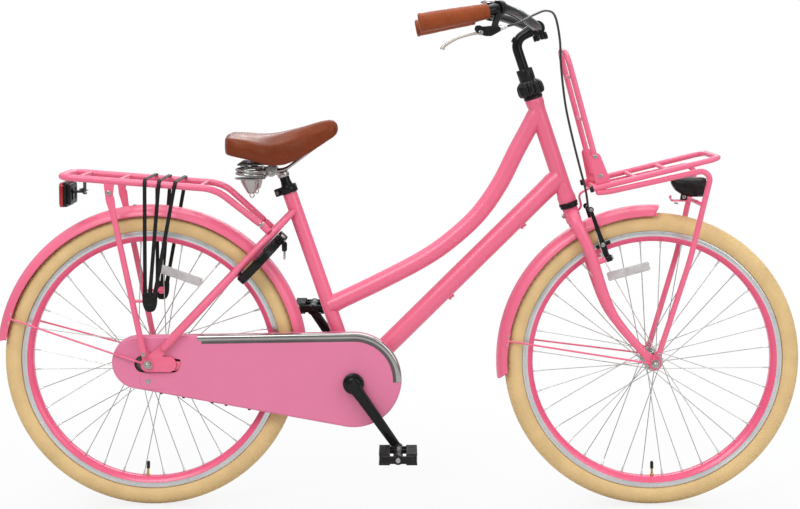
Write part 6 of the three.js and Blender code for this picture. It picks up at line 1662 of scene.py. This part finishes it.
def makeTailLight():
    """A red lens before a black shell and a clear reflector housing, on a flat arm with a wing bolt. The
    lens is the shell's outline drawn in more and more towards the rear."""
    centre = rackSpot(-182.5, 0, 695)
    outline = roundRect(84, 54, 9, 6)
    rings = [(-3.5, 1.0), (-9.5, 1.0), (-11.3, 0.975), (-12.1, 0.93), (-12.4, 0.85)]
    points = np.empty((len(rings), len(outline), 3))
    for ring, (x, share) in zip(points, rings):
        ring[:] = centre + outline[:, :1] * share * across + outline[:, 1:] * share * upward + lengthways * x
    parts = [grid(points)]
    parts += [block(centre + (-11.9, y, 0), (1.0, 9.0, 38), 0.4, corner=1.2) for y in (-28, -14, 0, 14, 28)]
    rearward = (across, upward, -lengthways)
    black = [
        slab(outline * 0.985, 0, 7.6, 1.2, centre + (4, 0, 0), *rearward),
        slab(roundRect(74, 46, 8, 6), 0, 9, 2.4, centre + (12.4, 0, 1), *rearward)
    ]
    arm = block(rackSpot(-162, 0, 700), (28, 30, 3.8), 1.2)
    clear = [block(centre + (11.9, y, 1), (1.0, 18, 26), 0.4, corner=2) for y in (-18, 18)]
    bolt = rackSpot(-146, 0, 0)
    dark = [rod(bolt + upward * 699, bolt + upward * 729.4, 3.6, 24)]
    dark += (
        hexNut(bolt + upward * 698, -upward, 9, 3.4, 1.6) + washer(bolt + upward * 702, upward, 8, 3.5, 1.4)
    )
    dark.append(rod(rackSpot(-158, 0, 705), rackSpot(-149.6, 0, 705), 1.8, 16))
    dark += [block(rackSpot(-152, side * 5, 705), (2.2, 8, 5), 1.0) for side in (-1, 1)]
    parts += tagged(black, 1) + tagged(clear, 2) + tagged(arm, 1) + tagged(dark, 3)
    build(
        "tailLight", parts, [redLens, blackPlastic, clearPlastic, darkSteel], "frame", "tail_light",
    )


def makeStraps():
    """Three rubber bands over the carrier, drawn together into a moulded hook on each side."""
    clear, hookSide, count = 9.4, 87.0, 120
    parts = []
    for i, share in enumerate((0.551, 0.643, 0.747)):
        x = rack["rear"] + rack["length"] * share
        hook = lambda s: rackSpot(9 + (i - 1) * 10.5, s * hookSide, 482)
        edge = lambda s: rackSpot(x, s * (rack["half"] + clear), rackTop(x) + clear)
        path = fillet([hook(-1), edge(-1), edge(1), hook(1)], 10, 8)
        run = np.linspace(0, lengths(path)[-1], count)
        middle = np.clip(np.minimum(run, run[-1] - run) / 30, 0, 1)
        parts.append(sweep(pointsAt(path, run), ovals(4.2 + 0.9 * (1 - middle), 1.75, 20, 2.8), lengthways))
    for side in (-1, 1):
        centre = rackSpot(9, side * hookSide, 468.5)
        outline = fillet([
            (-17, 20), (17, 20), (15.5, -8), (9, -22.5), (-9, -22.5), (-15.5, -8)
        ], 7, 6, loop=True)
        parts.append(slab(outline, -2.2, 2.2, 1.2, centre))
        for x in (-10.5, 0, 10.5):
            parts.append(block(centre + (x, 0, 15.5), (8.4, 6.4, 10), 1.6, corner=2.4))
        parts.append(block(centre + (0, 0, -12), (15, 6.2, 11), 2, corner=4))
        lip = [centre + (x, -side * 2.2, -19.5) for x in (-8, 0, 8)]
        parts.append(tube(lip, 2.6, 16, "round", upward))
    build("luggageStraps", parts, strapRubber, "frame", "luggage_straps")


basket = {
    "tube": 6.2, "half": 90.0, "foot": 62.4, "bend": 757.0, "cross": 4.5, "rear": -148.0, "front": 128.0,
    "low": 712.0, "high": 780.0
}
backrest = {"length": 289.0, "foot": 74.0, "top": 66.0}
backrestLine = Line((430, 0, 730.14), 105.5)


def frontSpot(x, y, z):
    """A point at x ahead of the front axle."""
    return np.array([frontAxle[0] + x, y, z], float)


def railZ(x):
    """The height of the front carrier's rail, which rises evenly towards the front."""
    return (
        basket["low"]
        + (x - basket["rear"]) * (basket["high"] - basket["low"]) / (basket["front"] - basket["rear"])
    )


def legSide(z):
    """How far the front carrier's legs stand from the middle at a height: they part evenly from the axle
    up."""
    rise = (z - wheelRadius) / (basket["bend"] - wheelRadius)
    return basket["foot"] + (basket["half"] - basket["foot"]) * rise


def makeFrontRack():
    """A loop of tube over a lower pair that bends down into the legs, with crossbars, base plates and end
    caps."""
    half, rear, front = basket["half"], basket["rear"], basket["front"]
    rails = [
        frontSpot(x, y, railZ(x)) for x, y in ((rear, -half), (front, -half), (front, half), (rear, half))
    ]
    parts = [tube(fillet(rails, 26, 10), basket["tube"], 28, "flat")]
    bolts, caps = [], []
    way = unit(rails[1] - rails[0])
    for side in (-1, 1):
        out = across * side
        end = frontSpot(rear, side * half, railZ(rear))
        caps.append(
            turned([(0, -2.4), (5.2, -2.2), (6.4, -1.2), (6.9, 0), (6.9, 5), (6.3, 5.4)], end, way, 28)
        )
        knee, foot = frontSpot(69, side * legSide(556), 556), frontSpot(4, side * legSide(340), 340)
        path = fillet([
            frontSpot(-138, side * half, railZ(-138) - 9), frontSpot(-112, side * half, railZ(-112) - 14),
            frontSpot(113, side * half, basket["bend"]), knee, foot
        ], [0, 16, 30, 30, 0], 10)
        parts.append(tube(path, basket["tube"], 28, "round"))
        parts.append(
            sidePlate(belt(frontAxle[[0, 2]], 9.5, foot[[0, 2]] + (0, 9.5), 6, 16), side, 58.3, 60.7, 0.6)
        )
        low, high = backrestLine(-14), backrestLine(62)
        flat = [
            low + (-15, 0, 0), low + (21, 0, 0), high + backrestLine.ahead * 10,
            high - backrestLine.ahead * 10
        ]
        plan = fillet([(p[0], p[2]) for p in flat], [5, 5, 9, 9], 6, loop=True)
        parts.append(sidePlate(plan, side, 82.3, 85.3, 0.6))
        for share in (0.04, 0.19):
            bolts += socketBolt(backrestLine(backrest["length"] * share, 0, side * 85.2), out, 4.4, 2.6)
        bolts += socketBolt(frontSpot(6, side * legSide(352), 349) + out * 5, out, 3.4, 2.0)
    for x, below in ((rear + (front - rear) * 0.36, 1), (rear + (front - rear) * 0.61, 1), (rear + 18.6, 6)):
        z = railZ(x) - below
        parts.append(pinched(frontSpot(x, -half, z), frontSpot(x, half, z), basket["cross"]))
    foot = steering(363, 13.3, 24)
    wire = [frontSpot(x, 24, railZ(x) - 7), steering(398, 30, 24), steering(368, 27, 24), foot]
    parts.append(tube(fillet(wire, 9, 6), 2.5, 16, "round"))
    bar = frontSpot(95.5, 0, 677)
    parts.append(rod(bar - across * legSide(677), bar + across * legSide(677), basket["cross"]))
    parts.append(slab(roundRect(56, 24, 7, 5), 0, 3, 0.7, bar + (-28, 0, 1.5), lengthways, across, upward))
    lip = [bar + (x, 0, z) for x, z in ((-50, 3.0), (-55, 4.6), (-57.5, 9), (-56.5, 14))]
    parts.append(sweep(spline(lip, 14), oval(11, 1.4, 16, 4)))
    for side in (-1, 1):
        bolts += hexNut(bar + (-44, side * 5.5, -1.8), -upward, 7, 2.6)
    parts += tagged(bolts, 1) + tagged(caps, 2)
    build("frontRack", parts, [pink, steel, blackPlastic], "steering", "front_rack")


def makeBackrest():
    """A narrowing loop of tube on stubs from the carrier's base plates, with two crossbars."""
    length, foot, top = backrest["length"], backrest["foot"], backrest["top"]
    corners = [backrestLine(z, 0, y) for z, y in ((0, -foot), (length, -top), (length, top), (0, foot))]
    parts = [tube(even(fillet(corners, 34, 12), 140), basket["tube"], 28, "round")]
    for share in (0.2, 0.53):
        along = length * (1 - share)
        half = foot + (top - foot) * along / length
        ends = (backrestLine(along, -1, y) for y in (-half, half))
        parts.append(pinched(*ends, 4.0, 1.6, 11, backrestLine.ahead))
    for side in (-1, 1):
        for share in (0.04, 0.19):
            base = backrestLine(length * share, 0, side * 67.8)
            parts.append(rod(base, base * (1, 0, 1) + across * side * 82, 5.6, 24))
    build("frontRackBackrest", parts, pink, "steering", "front_rack_backrest")


def makeHeadlight():
    """A teardrop shell whose tail rises to the top line, with a bright rim, a domed lens, and a hinged
    foot. A stop is the share of the length and, in half heights, the radius and the lift there."""
    start = np.array([593.5, 0, 710.0])
    stops = np.array([
        (0, 0.30, 0.72), (0.03, 0.44, 0.6), (0.12, 0.68, 0.36), (0.32, 0.93, 0.08), (0.55, 1.0, 0),
        (0.79, 1.0, 0), (0.9, 0.97, 0), (0.935, 0.94, 0)
    ])
    share = np.linspace(0, 0.935, 34)
    radius, lift = (22 * np.interp(share, stops[:, 0], stops[:, k])[:, None, None] for k in (1, 2))
    ring = oval(1, 1, 56, 2 / 0.92)
    shell = start + share[:, None, None] * 81 * lengthways + lift * 0.9 * upward
    parts = [grid(shell + radius * (ring[:, :1] * across + ring[:, 1:] * upward))]
    nose, ahead = start + (75.6, 0, 0), lengthways
    rim = [(18.5, -1), (20.6, -1), (21.6, 0), (21.8, 1.6), (21.2, 3.4), (19.6, 4), (18.5, 3.4), (18.5, -1)]
    parts += tagged(turned(rim, nose, ahead, 60), 1)
    dome = [(18.6, 1.5)] + [
        (18.6 * math.cos(t), 2.6 + 2.7 * math.sin(t)) for t in np.linspace(0, math.pi / 2 - 0.02, 10)
    ] + [(0, 5.3)]
    parts += tagged(turned([(0, 1.0)] + dome, nose, ahead, 60), 2)
    parts.append(block(start + (34, 0, 21.4), (30, 9, 2.2), 0.9, corner=3))
    base = np.array([621.5, 0, 684.0])
    for side in (-1, 1):
        parts.append(
            slab(
                fillet([(-7, -5), (7, -5), (7.5, 12), (-4, 13)], 4, 5, loop=True), side * 5 - 1.6,
                side * 5 + 1.6, 0.6, base + (0, 0, 2)
            )
        )
    parts.append(block(base + (2, 0, 10), (12, 7, 9), 1.6))
    parts.append(turned([(0, -1.6), (7.6, -1.6), (7.8, -0.8), (6.6, 1.2), (0, 1.2)], base, upward, 28))
    pivot = base + (0, 0, 4)
    parts += tagged(rod(pivot - across * 7.6, pivot + across * 7.6, 2.2, 20), 1)
    parts += tagged(socketBolt(pivot - across * 6.4, -across, 4.2, 2.2), 1)
    build("frontLamp", parts, [blackPlastic, chrome, clearLens], "steering", "headlight")


makeRearRack()
makeTailLight()
makeStraps()
makeFrontRack()
makeBackrest()
makeHeadlight()
print("carriers ready")


# Lock and stand
lock = {
    "outer": 79.0, "inner": 57.0, "half": 10.0, "middle": 68.0, "along": 325.0, "ahead": 21.0, "end": 136.0,
    "mount": 51.6
}


def lockSpot(degrees, radius, forward=0.0):
    """A point of the lock: degrees are counted from its top, about the middle of its opening."""
    turn = math.radians(degrees)
    return stay(lock["along"] + radius * math.cos(turn), lock["ahead"] + forward, radius * math.sin(turn))


def makeLock():
    """A horseshoe with a rounded section, with its mounts, its key housing and the key on a wire. Its slot,
    open where the knob runs, is a notch of the section whose depth rises from nothing at the slot's end.
    The shackle is a bent rod with a knob."""
    outer, middle, end = lock["outer"], lock["middle"], lock["end"]
    degrees = np.concatenate([np.linspace(-end, 36, 60), np.linspace(36.3, 39, 5), np.linspace(40, end, 40)])
    deep = np.clip((degrees - 37) / 2, 0, 1) * 11.6
    half, mid, slot = lock["half"], (outer - lock["inner"]) / 2, 3.8
    corner = fillet([(-mid, -half), (mid, -half), (mid, half), (-mid, half)], 4.2, 5, loop=True)
    outside = np.where(corner[:, 0] > mid - 0.01)[0]
    split = outside[len(outside) // 2 - 1] + 1
    rings = []
    for angle, depth in zip(degrees, deep):
        notch = [(mid, -slot), (mid - depth, -slot), (mid - depth, slot), (mid, slot)]
        section = np.vstack([corner[:split], notch, corner[split:]])
        edge = 1 - 0.05 * math.exp(-((abs(angle) - end) / 1.2) ** 2)
        centre = lockSpot(angle, middle)
        out = unit(lockSpot(angle, outer) - centre)
        rings.append(centre + section[:, :1] * edge * out + section[:, 1:] * edge * stay.ahead)
    parts = [grid(np.stack(rings))]
    for side in (-1, 1):
        along, mount = lock["along"] - middle * math.cos(math.radians(49.4)), side * lock["mount"]
        parts.append(rod(stay(along, lock["ahead"], mount), stay(along, 6.2, mount), 5, 24))
        parts += tagged(socketBolt(stay(along, 30.6, mount), stay.ahead, 5.2, 1.6), 1)
        tip = lockSpot(side * end, middle)
        heading = unit(tip - lockSpot(side * (end - 1), middle))
        lip = [(4.1, -0.5), (6.6, -0.5), (6.8, 0.2), (6.2, 0.7), (4.1, 0.7), (4.1, -0.5)]
        parts += tagged(turned(lip, tip, heading, 28), 1)
    barrel = lockSpot(-30, outer)
    out = unit(lockSpot(-30, outer + 15) - barrel)
    housing = [(0, -6), (10.4, -6), (10.6, 1), (9.8, 3), (8, 3.6), (8, 14.4), (7.4, 15), (0, 15)]
    parts.append(turned(housing, barrel, out, 40))
    parts += tagged(turned([(0, 14), (5.8, 14), (5.8, 15.4), (5.2, 15.8), (0, 15.8)], barrel, out, 32), 1)
    parts.append(block(lockSpot(-9, outer - 9), (24, 22, 21.4), 3, stay.along, -stay.ahead))
    parts.append(block(lockSpot(-9, outer - 6, 9.2), (12, 16, 4), 1.4, stay.along, -stay.ahead, corner=3))
    hang = lockSpot(-30, outer + 12)
    key = hang + (4, -1.5, -22)
    wire = [hang + (1, -1, -2), hang + (4, -3, -7), hang + (4, -1.5, -13)]
    parts += tagged(tube(spline(wire, 14), 0.8, 10, "flat"), 1)
    outline = fillet([(-5.5, -10), (5.5, -10), (6, 8), (3, 12), (-3, 12), (-6, 8)], 3.4, 5, loop=True)
    parts.append(slab(outline, -2.2, 2.2, 0.8, key))
    blade = fillet([(-2.4, 0), (2.4, 0), (2.4, -16), (1.2, -19), (-2.4, -19)], 0.8, 3, loop=True)
    parts += tagged(slab(blade, -0.7, 0.7, 0.2, key + (0, 0, -9)), 1)
    build("lockBody", parts, [blackEnamel, steel], "frame", "lock_body")
    parts = [
        tube([lockSpot(d, middle) for d in np.linspace(32, end, 70)], 3.5, 20, "round"),
        rod(lockSpot(42, middle), lockSpot(42, middle + 19), 2.9, 18, "round")
    ]
    build("lockShackle", parts, steel, "shackle", "lock_shackle")


def makeStand():
    """The stand's eye, a leg that tapers and is bent a little outwards, and a rubber-shod foot."""
    size = {"side": 58.0, "bend": 14.0, "start": 8, "end": 262, "shoe": 246}
    pivot = np.array([-185.0, size["side"], 262.0])
    ring = mirrored([(4.3, -5), (9.4, -5), (10, -4.4)])
    parts = [turned(ring, pivot, across, 40)]
    leg = Line(pivot * (1, 0, 1), 175.6)
    path = [
        leg(r, 0, size["side"] + size["bend"] * r / size["end"])
        for r in np.linspace(size["start"], size["end"], 30)
    ]
    run = np.linspace(0, 1, 30)
    parts.append(sweep(path, ovals(4.6 + 1.2 * run, 6.4 - 0.6 * run, 28, 2.4)))
    shoe = [
        (0, 0), (6.6, 0), (7.4, 1), (7.0, 4), (7.8, 6), (7.4, 9), (8, 12), (7.8, 20), (6.4, 23.6), (0, 24)
    ]
    parts += tagged(turned(shoe, leg(size["shoe"], 0, size["side"] + size["bend"]), leg.along, 32), 1)
    build("kickstandLeg", parts, [blackEnamel, strapRubber], "kickstand", "kickstand_leg")


makeLock()
makeStand()


# Saddle
postTop = seat(474)


def saddleSpot(back, side, rise):
    """A point behind and above the seat post's top."""
    return np.array([postTop[0] - back, side, postTop[2] + rise], float)


def springSpot(side, rise):
    """A point of a spring's middle line."""
    return saddleSpot(70, side * 52, rise)


def makeSaddleFrame():
    """Wire rails on a serrated clamp, a pressed plate for the springs, and drawn cups below them."""
    parts = []
    centre = saddleSpot(27, 0, 14.7)
    clamp = mirrored([
        (0, -28), (8, -28), (8.6, -27.2), (8.6, -24.6), (12, -24.4), (13, -23.6), (13, -19), (12.2, -18.2),
        (12.2, -11.6), (13, -11)
    ], ring=False)
    serrated = np.isin(np.arange(len(clamp)), [5, 6, 9, 10, 13, 14])[:, None]
    teeth = 1 - 0.03 * (np.cos(fullTurn(120) * 20) < 0)[None] * serrated
    parts.append(turned(clamp, centre, across, 120, teeth))
    for side in (-1, 1):
        parts += hexNut(centre + across * side * 27.4, across * side, 12, 4.6, 2.4)
    sleeve = [(11.2, 0.4), (12.4, 0.4), (13, 1.2), (13, 11), (12.2, 12), (0, 12.2), (0, 1)]
    parts.append(turned(sleeve, postTop, seat.along, 44))
    parts.append(sweep(np.linspace(seat(480), centre, 6), oval(12, 6.2, 24, 3.2)))
    outline = fillet([(-26, -84), (26, -70), (26, 70), (-26, 84)], [14, 12, 12, 14], 6, loop=True)
    dark = [slab(outline, -1.5, 1.5, 0.6, saddleSpot(70, 0, 31.5), lengthways, across, upward)]
    for side in (-1, 1):
        rail = fillet([
            saddleSpot(-102, side * 9, 90.2), saddleSpot(-1, side * 16, 14.7),
            saddleSpot(55, side * 16, 14.7), saddleSpot(73.5, side * 16, 31.5)
        ], 14, 8)
        parts.append(tube(rail, 3.4, 20, "round"))
        top = springSpot(side, 2.4)
        cup = [(0, 0), (32.2, 0), (33, -0.5), (33, -2.4), (32, -3), (22.6, -3.2), (21.4, -4.4), (20.8, -6)]
        parts.append(turned(cup + [(0, -6)], top, upward, 64))
        low = saddleSpot(66, side * 52, -31.3)
        run = np.linspace(0, 1, 18)
        start = top - (0, 0, 5.0)
        path = start + (low - start) * run[:, None]
        radius = 20.9 - 11.7 * run + 0.5 * np.sin(run * math.pi)
        radius[-1] = 8.2
        flutes = 1 - 0.02 * (np.cos(fullTurn(96) * 12) < -0.2)
        parts.append(sweep(path, circle(1, 96)[None] * radius[:, None, None] * flutes[None, :, None]))
        hang = low - (0, 0, 4.6)
        loop = [hang + (math.cos(t) * 4.8, 0, math.sin(t) * 4.8) for t in fullTurn(28)]
        parts.append(sweep(loop, circle(1.2, 10), loop=True))
        bolt = springSpot(side, 33)
        parts.append(rod(bolt - (0, 0, 3), bolt + (0, 0, 14.6), 4.6, 20))
        parts += hexNut(bolt + (0, 0, 0.2), upward, 13, 4.4)
        strut = fillet([
            springSpot(side, -1.1), saddleSpot(43, side * 16, -1.1), saddleSpot(27, side * 16, 14.7)
        ], 5, 4)
        parts.append(tube(strut, 3.1, 18, "flat"))
    parts += tagged(dark, 1)
    build("saddleFrame", parts, [chrome, darkSteel], "seat", "saddle_frame")


def makeSprings():
    """Two coils of two turns each, a little narrower at their ends, which point up and down."""
    size = {"turns": 2, "high": 24.3, "low": 8.1, "radius": 28.8, "end": 4.2}
    for name, side in sides:
        fall = np.linspace(0, 1, 120)
        angle = fall * size["turns"] * 2 * math.pi
        wide = size["radius"] - 1.2 * (1 - np.sin(fall * math.pi)) ** 3
        curls = springSpot(side, 0) + np.stack([
            wide * np.cos(angle), wide * np.sin(angle), size["high"] + (size["low"] - size["high"]) * fall
        ], 1)
        ends = np.vstack([curls[:1] + upward * size["end"], curls, curls[-1:] - upward * size["end"]])
        build(
            f"saddleSpring{name.title()}", [sweep(even(ends, 150), oval(3.1, 2.9, 18), lengthways)], chrome,
            "seat", f"saddle_spring_{name}"
        )


def makeSaddle():
    """The moulded cushion. At each share of its length the section's top, foot and half width follow curves
    through the measured stations: cubics between them whose slope at a station is the harmonic mean of the
    slopes beside it, or level at a peak. The corner between top and side is cut tightly at the tail and
    widely at the nose."""
    size = {"length": 242.0, "back": 123.0, "base": 27.7, "height": 99.0, "width": 214.0}
    stations = np.array([
        # along, top, foot, half width, top corner's height, corner's cut
        (0.0, 0.60, 0.36, 0.60, 0.57, 3), (0.006, 0.655, 0.30, 0.72, 0.60, 4),
        (0.02, 0.69, 0.265, 0.83, 0.62, 5), (0.045, 0.705, 0.245, 0.91, 0.625, 6),
        (0.08, 0.705, 0.225, 0.955, 0.62, 6), (0.14, 0.7, 0.195, 0.99, 0.605, 7),
        (0.2, 0.692, 0.165, 1.0, 0.58, 8), (0.26, 0.682, 0.125, 0.995, 0.545, 10),
        (0.31, 0.675, 0.085, 0.975, 0.51, 13), (0.36, 0.68, 0.045, 0.92, 0.48, 18),
        (0.42, 0.695, 0.015, 0.82, 0.46, 22), (0.5, 0.73, 0.01, 0.66, 0.47, 24),
        (0.6, 0.79, 0.075, 0.49, 0.53, 22), (0.7, 0.855, 0.2, 0.365, 0.62, 20),
        (0.8, 0.93, 0.35, 0.295, 0.72, 18), (0.87, 0.975, 0.46, 0.262, 0.79, 16),
        (0.92, 0.992, 0.545, 0.235, 0.83, 14), (0.955, 0.98, 0.6, 0.2, 0.84, 11),
        (0.98, 0.94, 0.655, 0.15, 0.83, 8), (0.993, 0.89, 0.71, 0.1, 0.81, 5),
        (1.0, 0.83, 0.765, 0.045, 0.8, 3),
    ])
    share = np.sort(
        np.concatenate([np.linspace(0, 0.06, 16), np.linspace(0.07, 0.9, 90), np.linspace(0.905, 1.0, 30)])
    )
    along, curves = stations[:, 0], []
    step = np.diff(along)
    k = np.clip(np.searchsorted(along, share, side="right") - 1, 0, len(along) - 2)
    t = (share - along[k]) / step[k]
    for value in stations[:, 1:].T:
        rate = np.diff(value) / step
        before, after = rate[:-1], rate[1:]
        total = np.where(after + before == 0, 1, after + before)
        middle = np.where(after * before > 0, 2 * after * before / total, 0)
        tangent = np.concatenate([rate[:1], middle, rate[-1:]])
        curves.append(
            (2 * t ** 3 - 3 * t ** 2 + 1) * value[k] + (t ** 3 - 2 * t ** 2 + t) * step[k] * tangent[k]
            + (-2 * t ** 3 + 3 * t ** 2) * value[k + 1] + (t ** 3 - t ** 2) * step[k] * tangent[k + 1]
        )
    top, foot, wide, corner, cut = curves
    rings = []
    for s, high, foot, half, crease, k in zip(
        share, top * size["height"], foot * size["height"], wide * size["width"] / 2,
        corner * size["height"], cut
    ):
        tall = high - foot
        saddleBack = 1.6 * math.exp(-((s - 0.16) / 0.14) ** 2)
        outline = [
            (0, high - saddleBack), (half * 0.5, high + saddleBack * 0.2),
            (half * 0.955, max(crease, foot + tall * 0.55)), (half, foot + tall * 0.4),
            (half * 0.965, foot + tall * 0.12), (half * 0.88, foot), (half * 0.78, foot + tall * 0.07),
            (half * 0.7, foot + tall * 0.2), (0, foot + tall * 0.26)
        ]
        room = min(1.0, half / 60)
        cuts = [0, 26 * room, k, 14 * room, 9 * room, 3.2 * room, 3 * room, 8 * room, 0]
        left = fillet(outline, np.maximum(cuts, 0.2), 6)
        rings.append(np.vstack([left, left[1:-1][::-1] * (-1, 1)]))
    rings = np.stack(rings)
    points = np.empty(rings.shape[:2] + (3,))
    points[..., 0] = postTop[0] - size["back"] + share[:, None] * size["length"]
    points[..., 1] = rings[..., 0]
    points[..., 2] = postTop[2] + size["base"] + rings[..., 1]
    piece = build("saddleCushion", [grid(points)], leather, "seat", "saddle")
    smoothed = piece.modifiers.new("smoothed", "SUBSURF")
    smoothed.levels = smoothed.render_levels = 1


def makeAxles():
    """Both axles: a threaded rod with washers, flanged nuts and domed caps."""
    cap = [(0, 8.6), (5.6, 8.6), (5.6, 10), (4.6, 11.4), (2.4, 12.0), (0, 12.1)]
    for name, centre, stack, body in (
        ("rear", rearAxle, 68.3, "frame"), ("front", frontAxle, 61.0, "steering")
    ):
        parts = [rod(centre - across * (stack + 10), centre + across * (stack + 10), 4.9, 28)]
        for side in (-1, 1):
            out = across * side
            face = centre + out * stack
            parts += washer(face + out * 0.1, out, 9.6, 5.0, 1.6) + hexNut(face + out * 1.6, out, 14.6, 7.2)
            parts.append(turned(cap, face, out, 28))
        build(f"{name}Axle", parts, steel, body, f"{name}_axle")


makeSaddleFrame()
makeSprings()
makeSaddle()
makeAxles()
print("fittings ready")
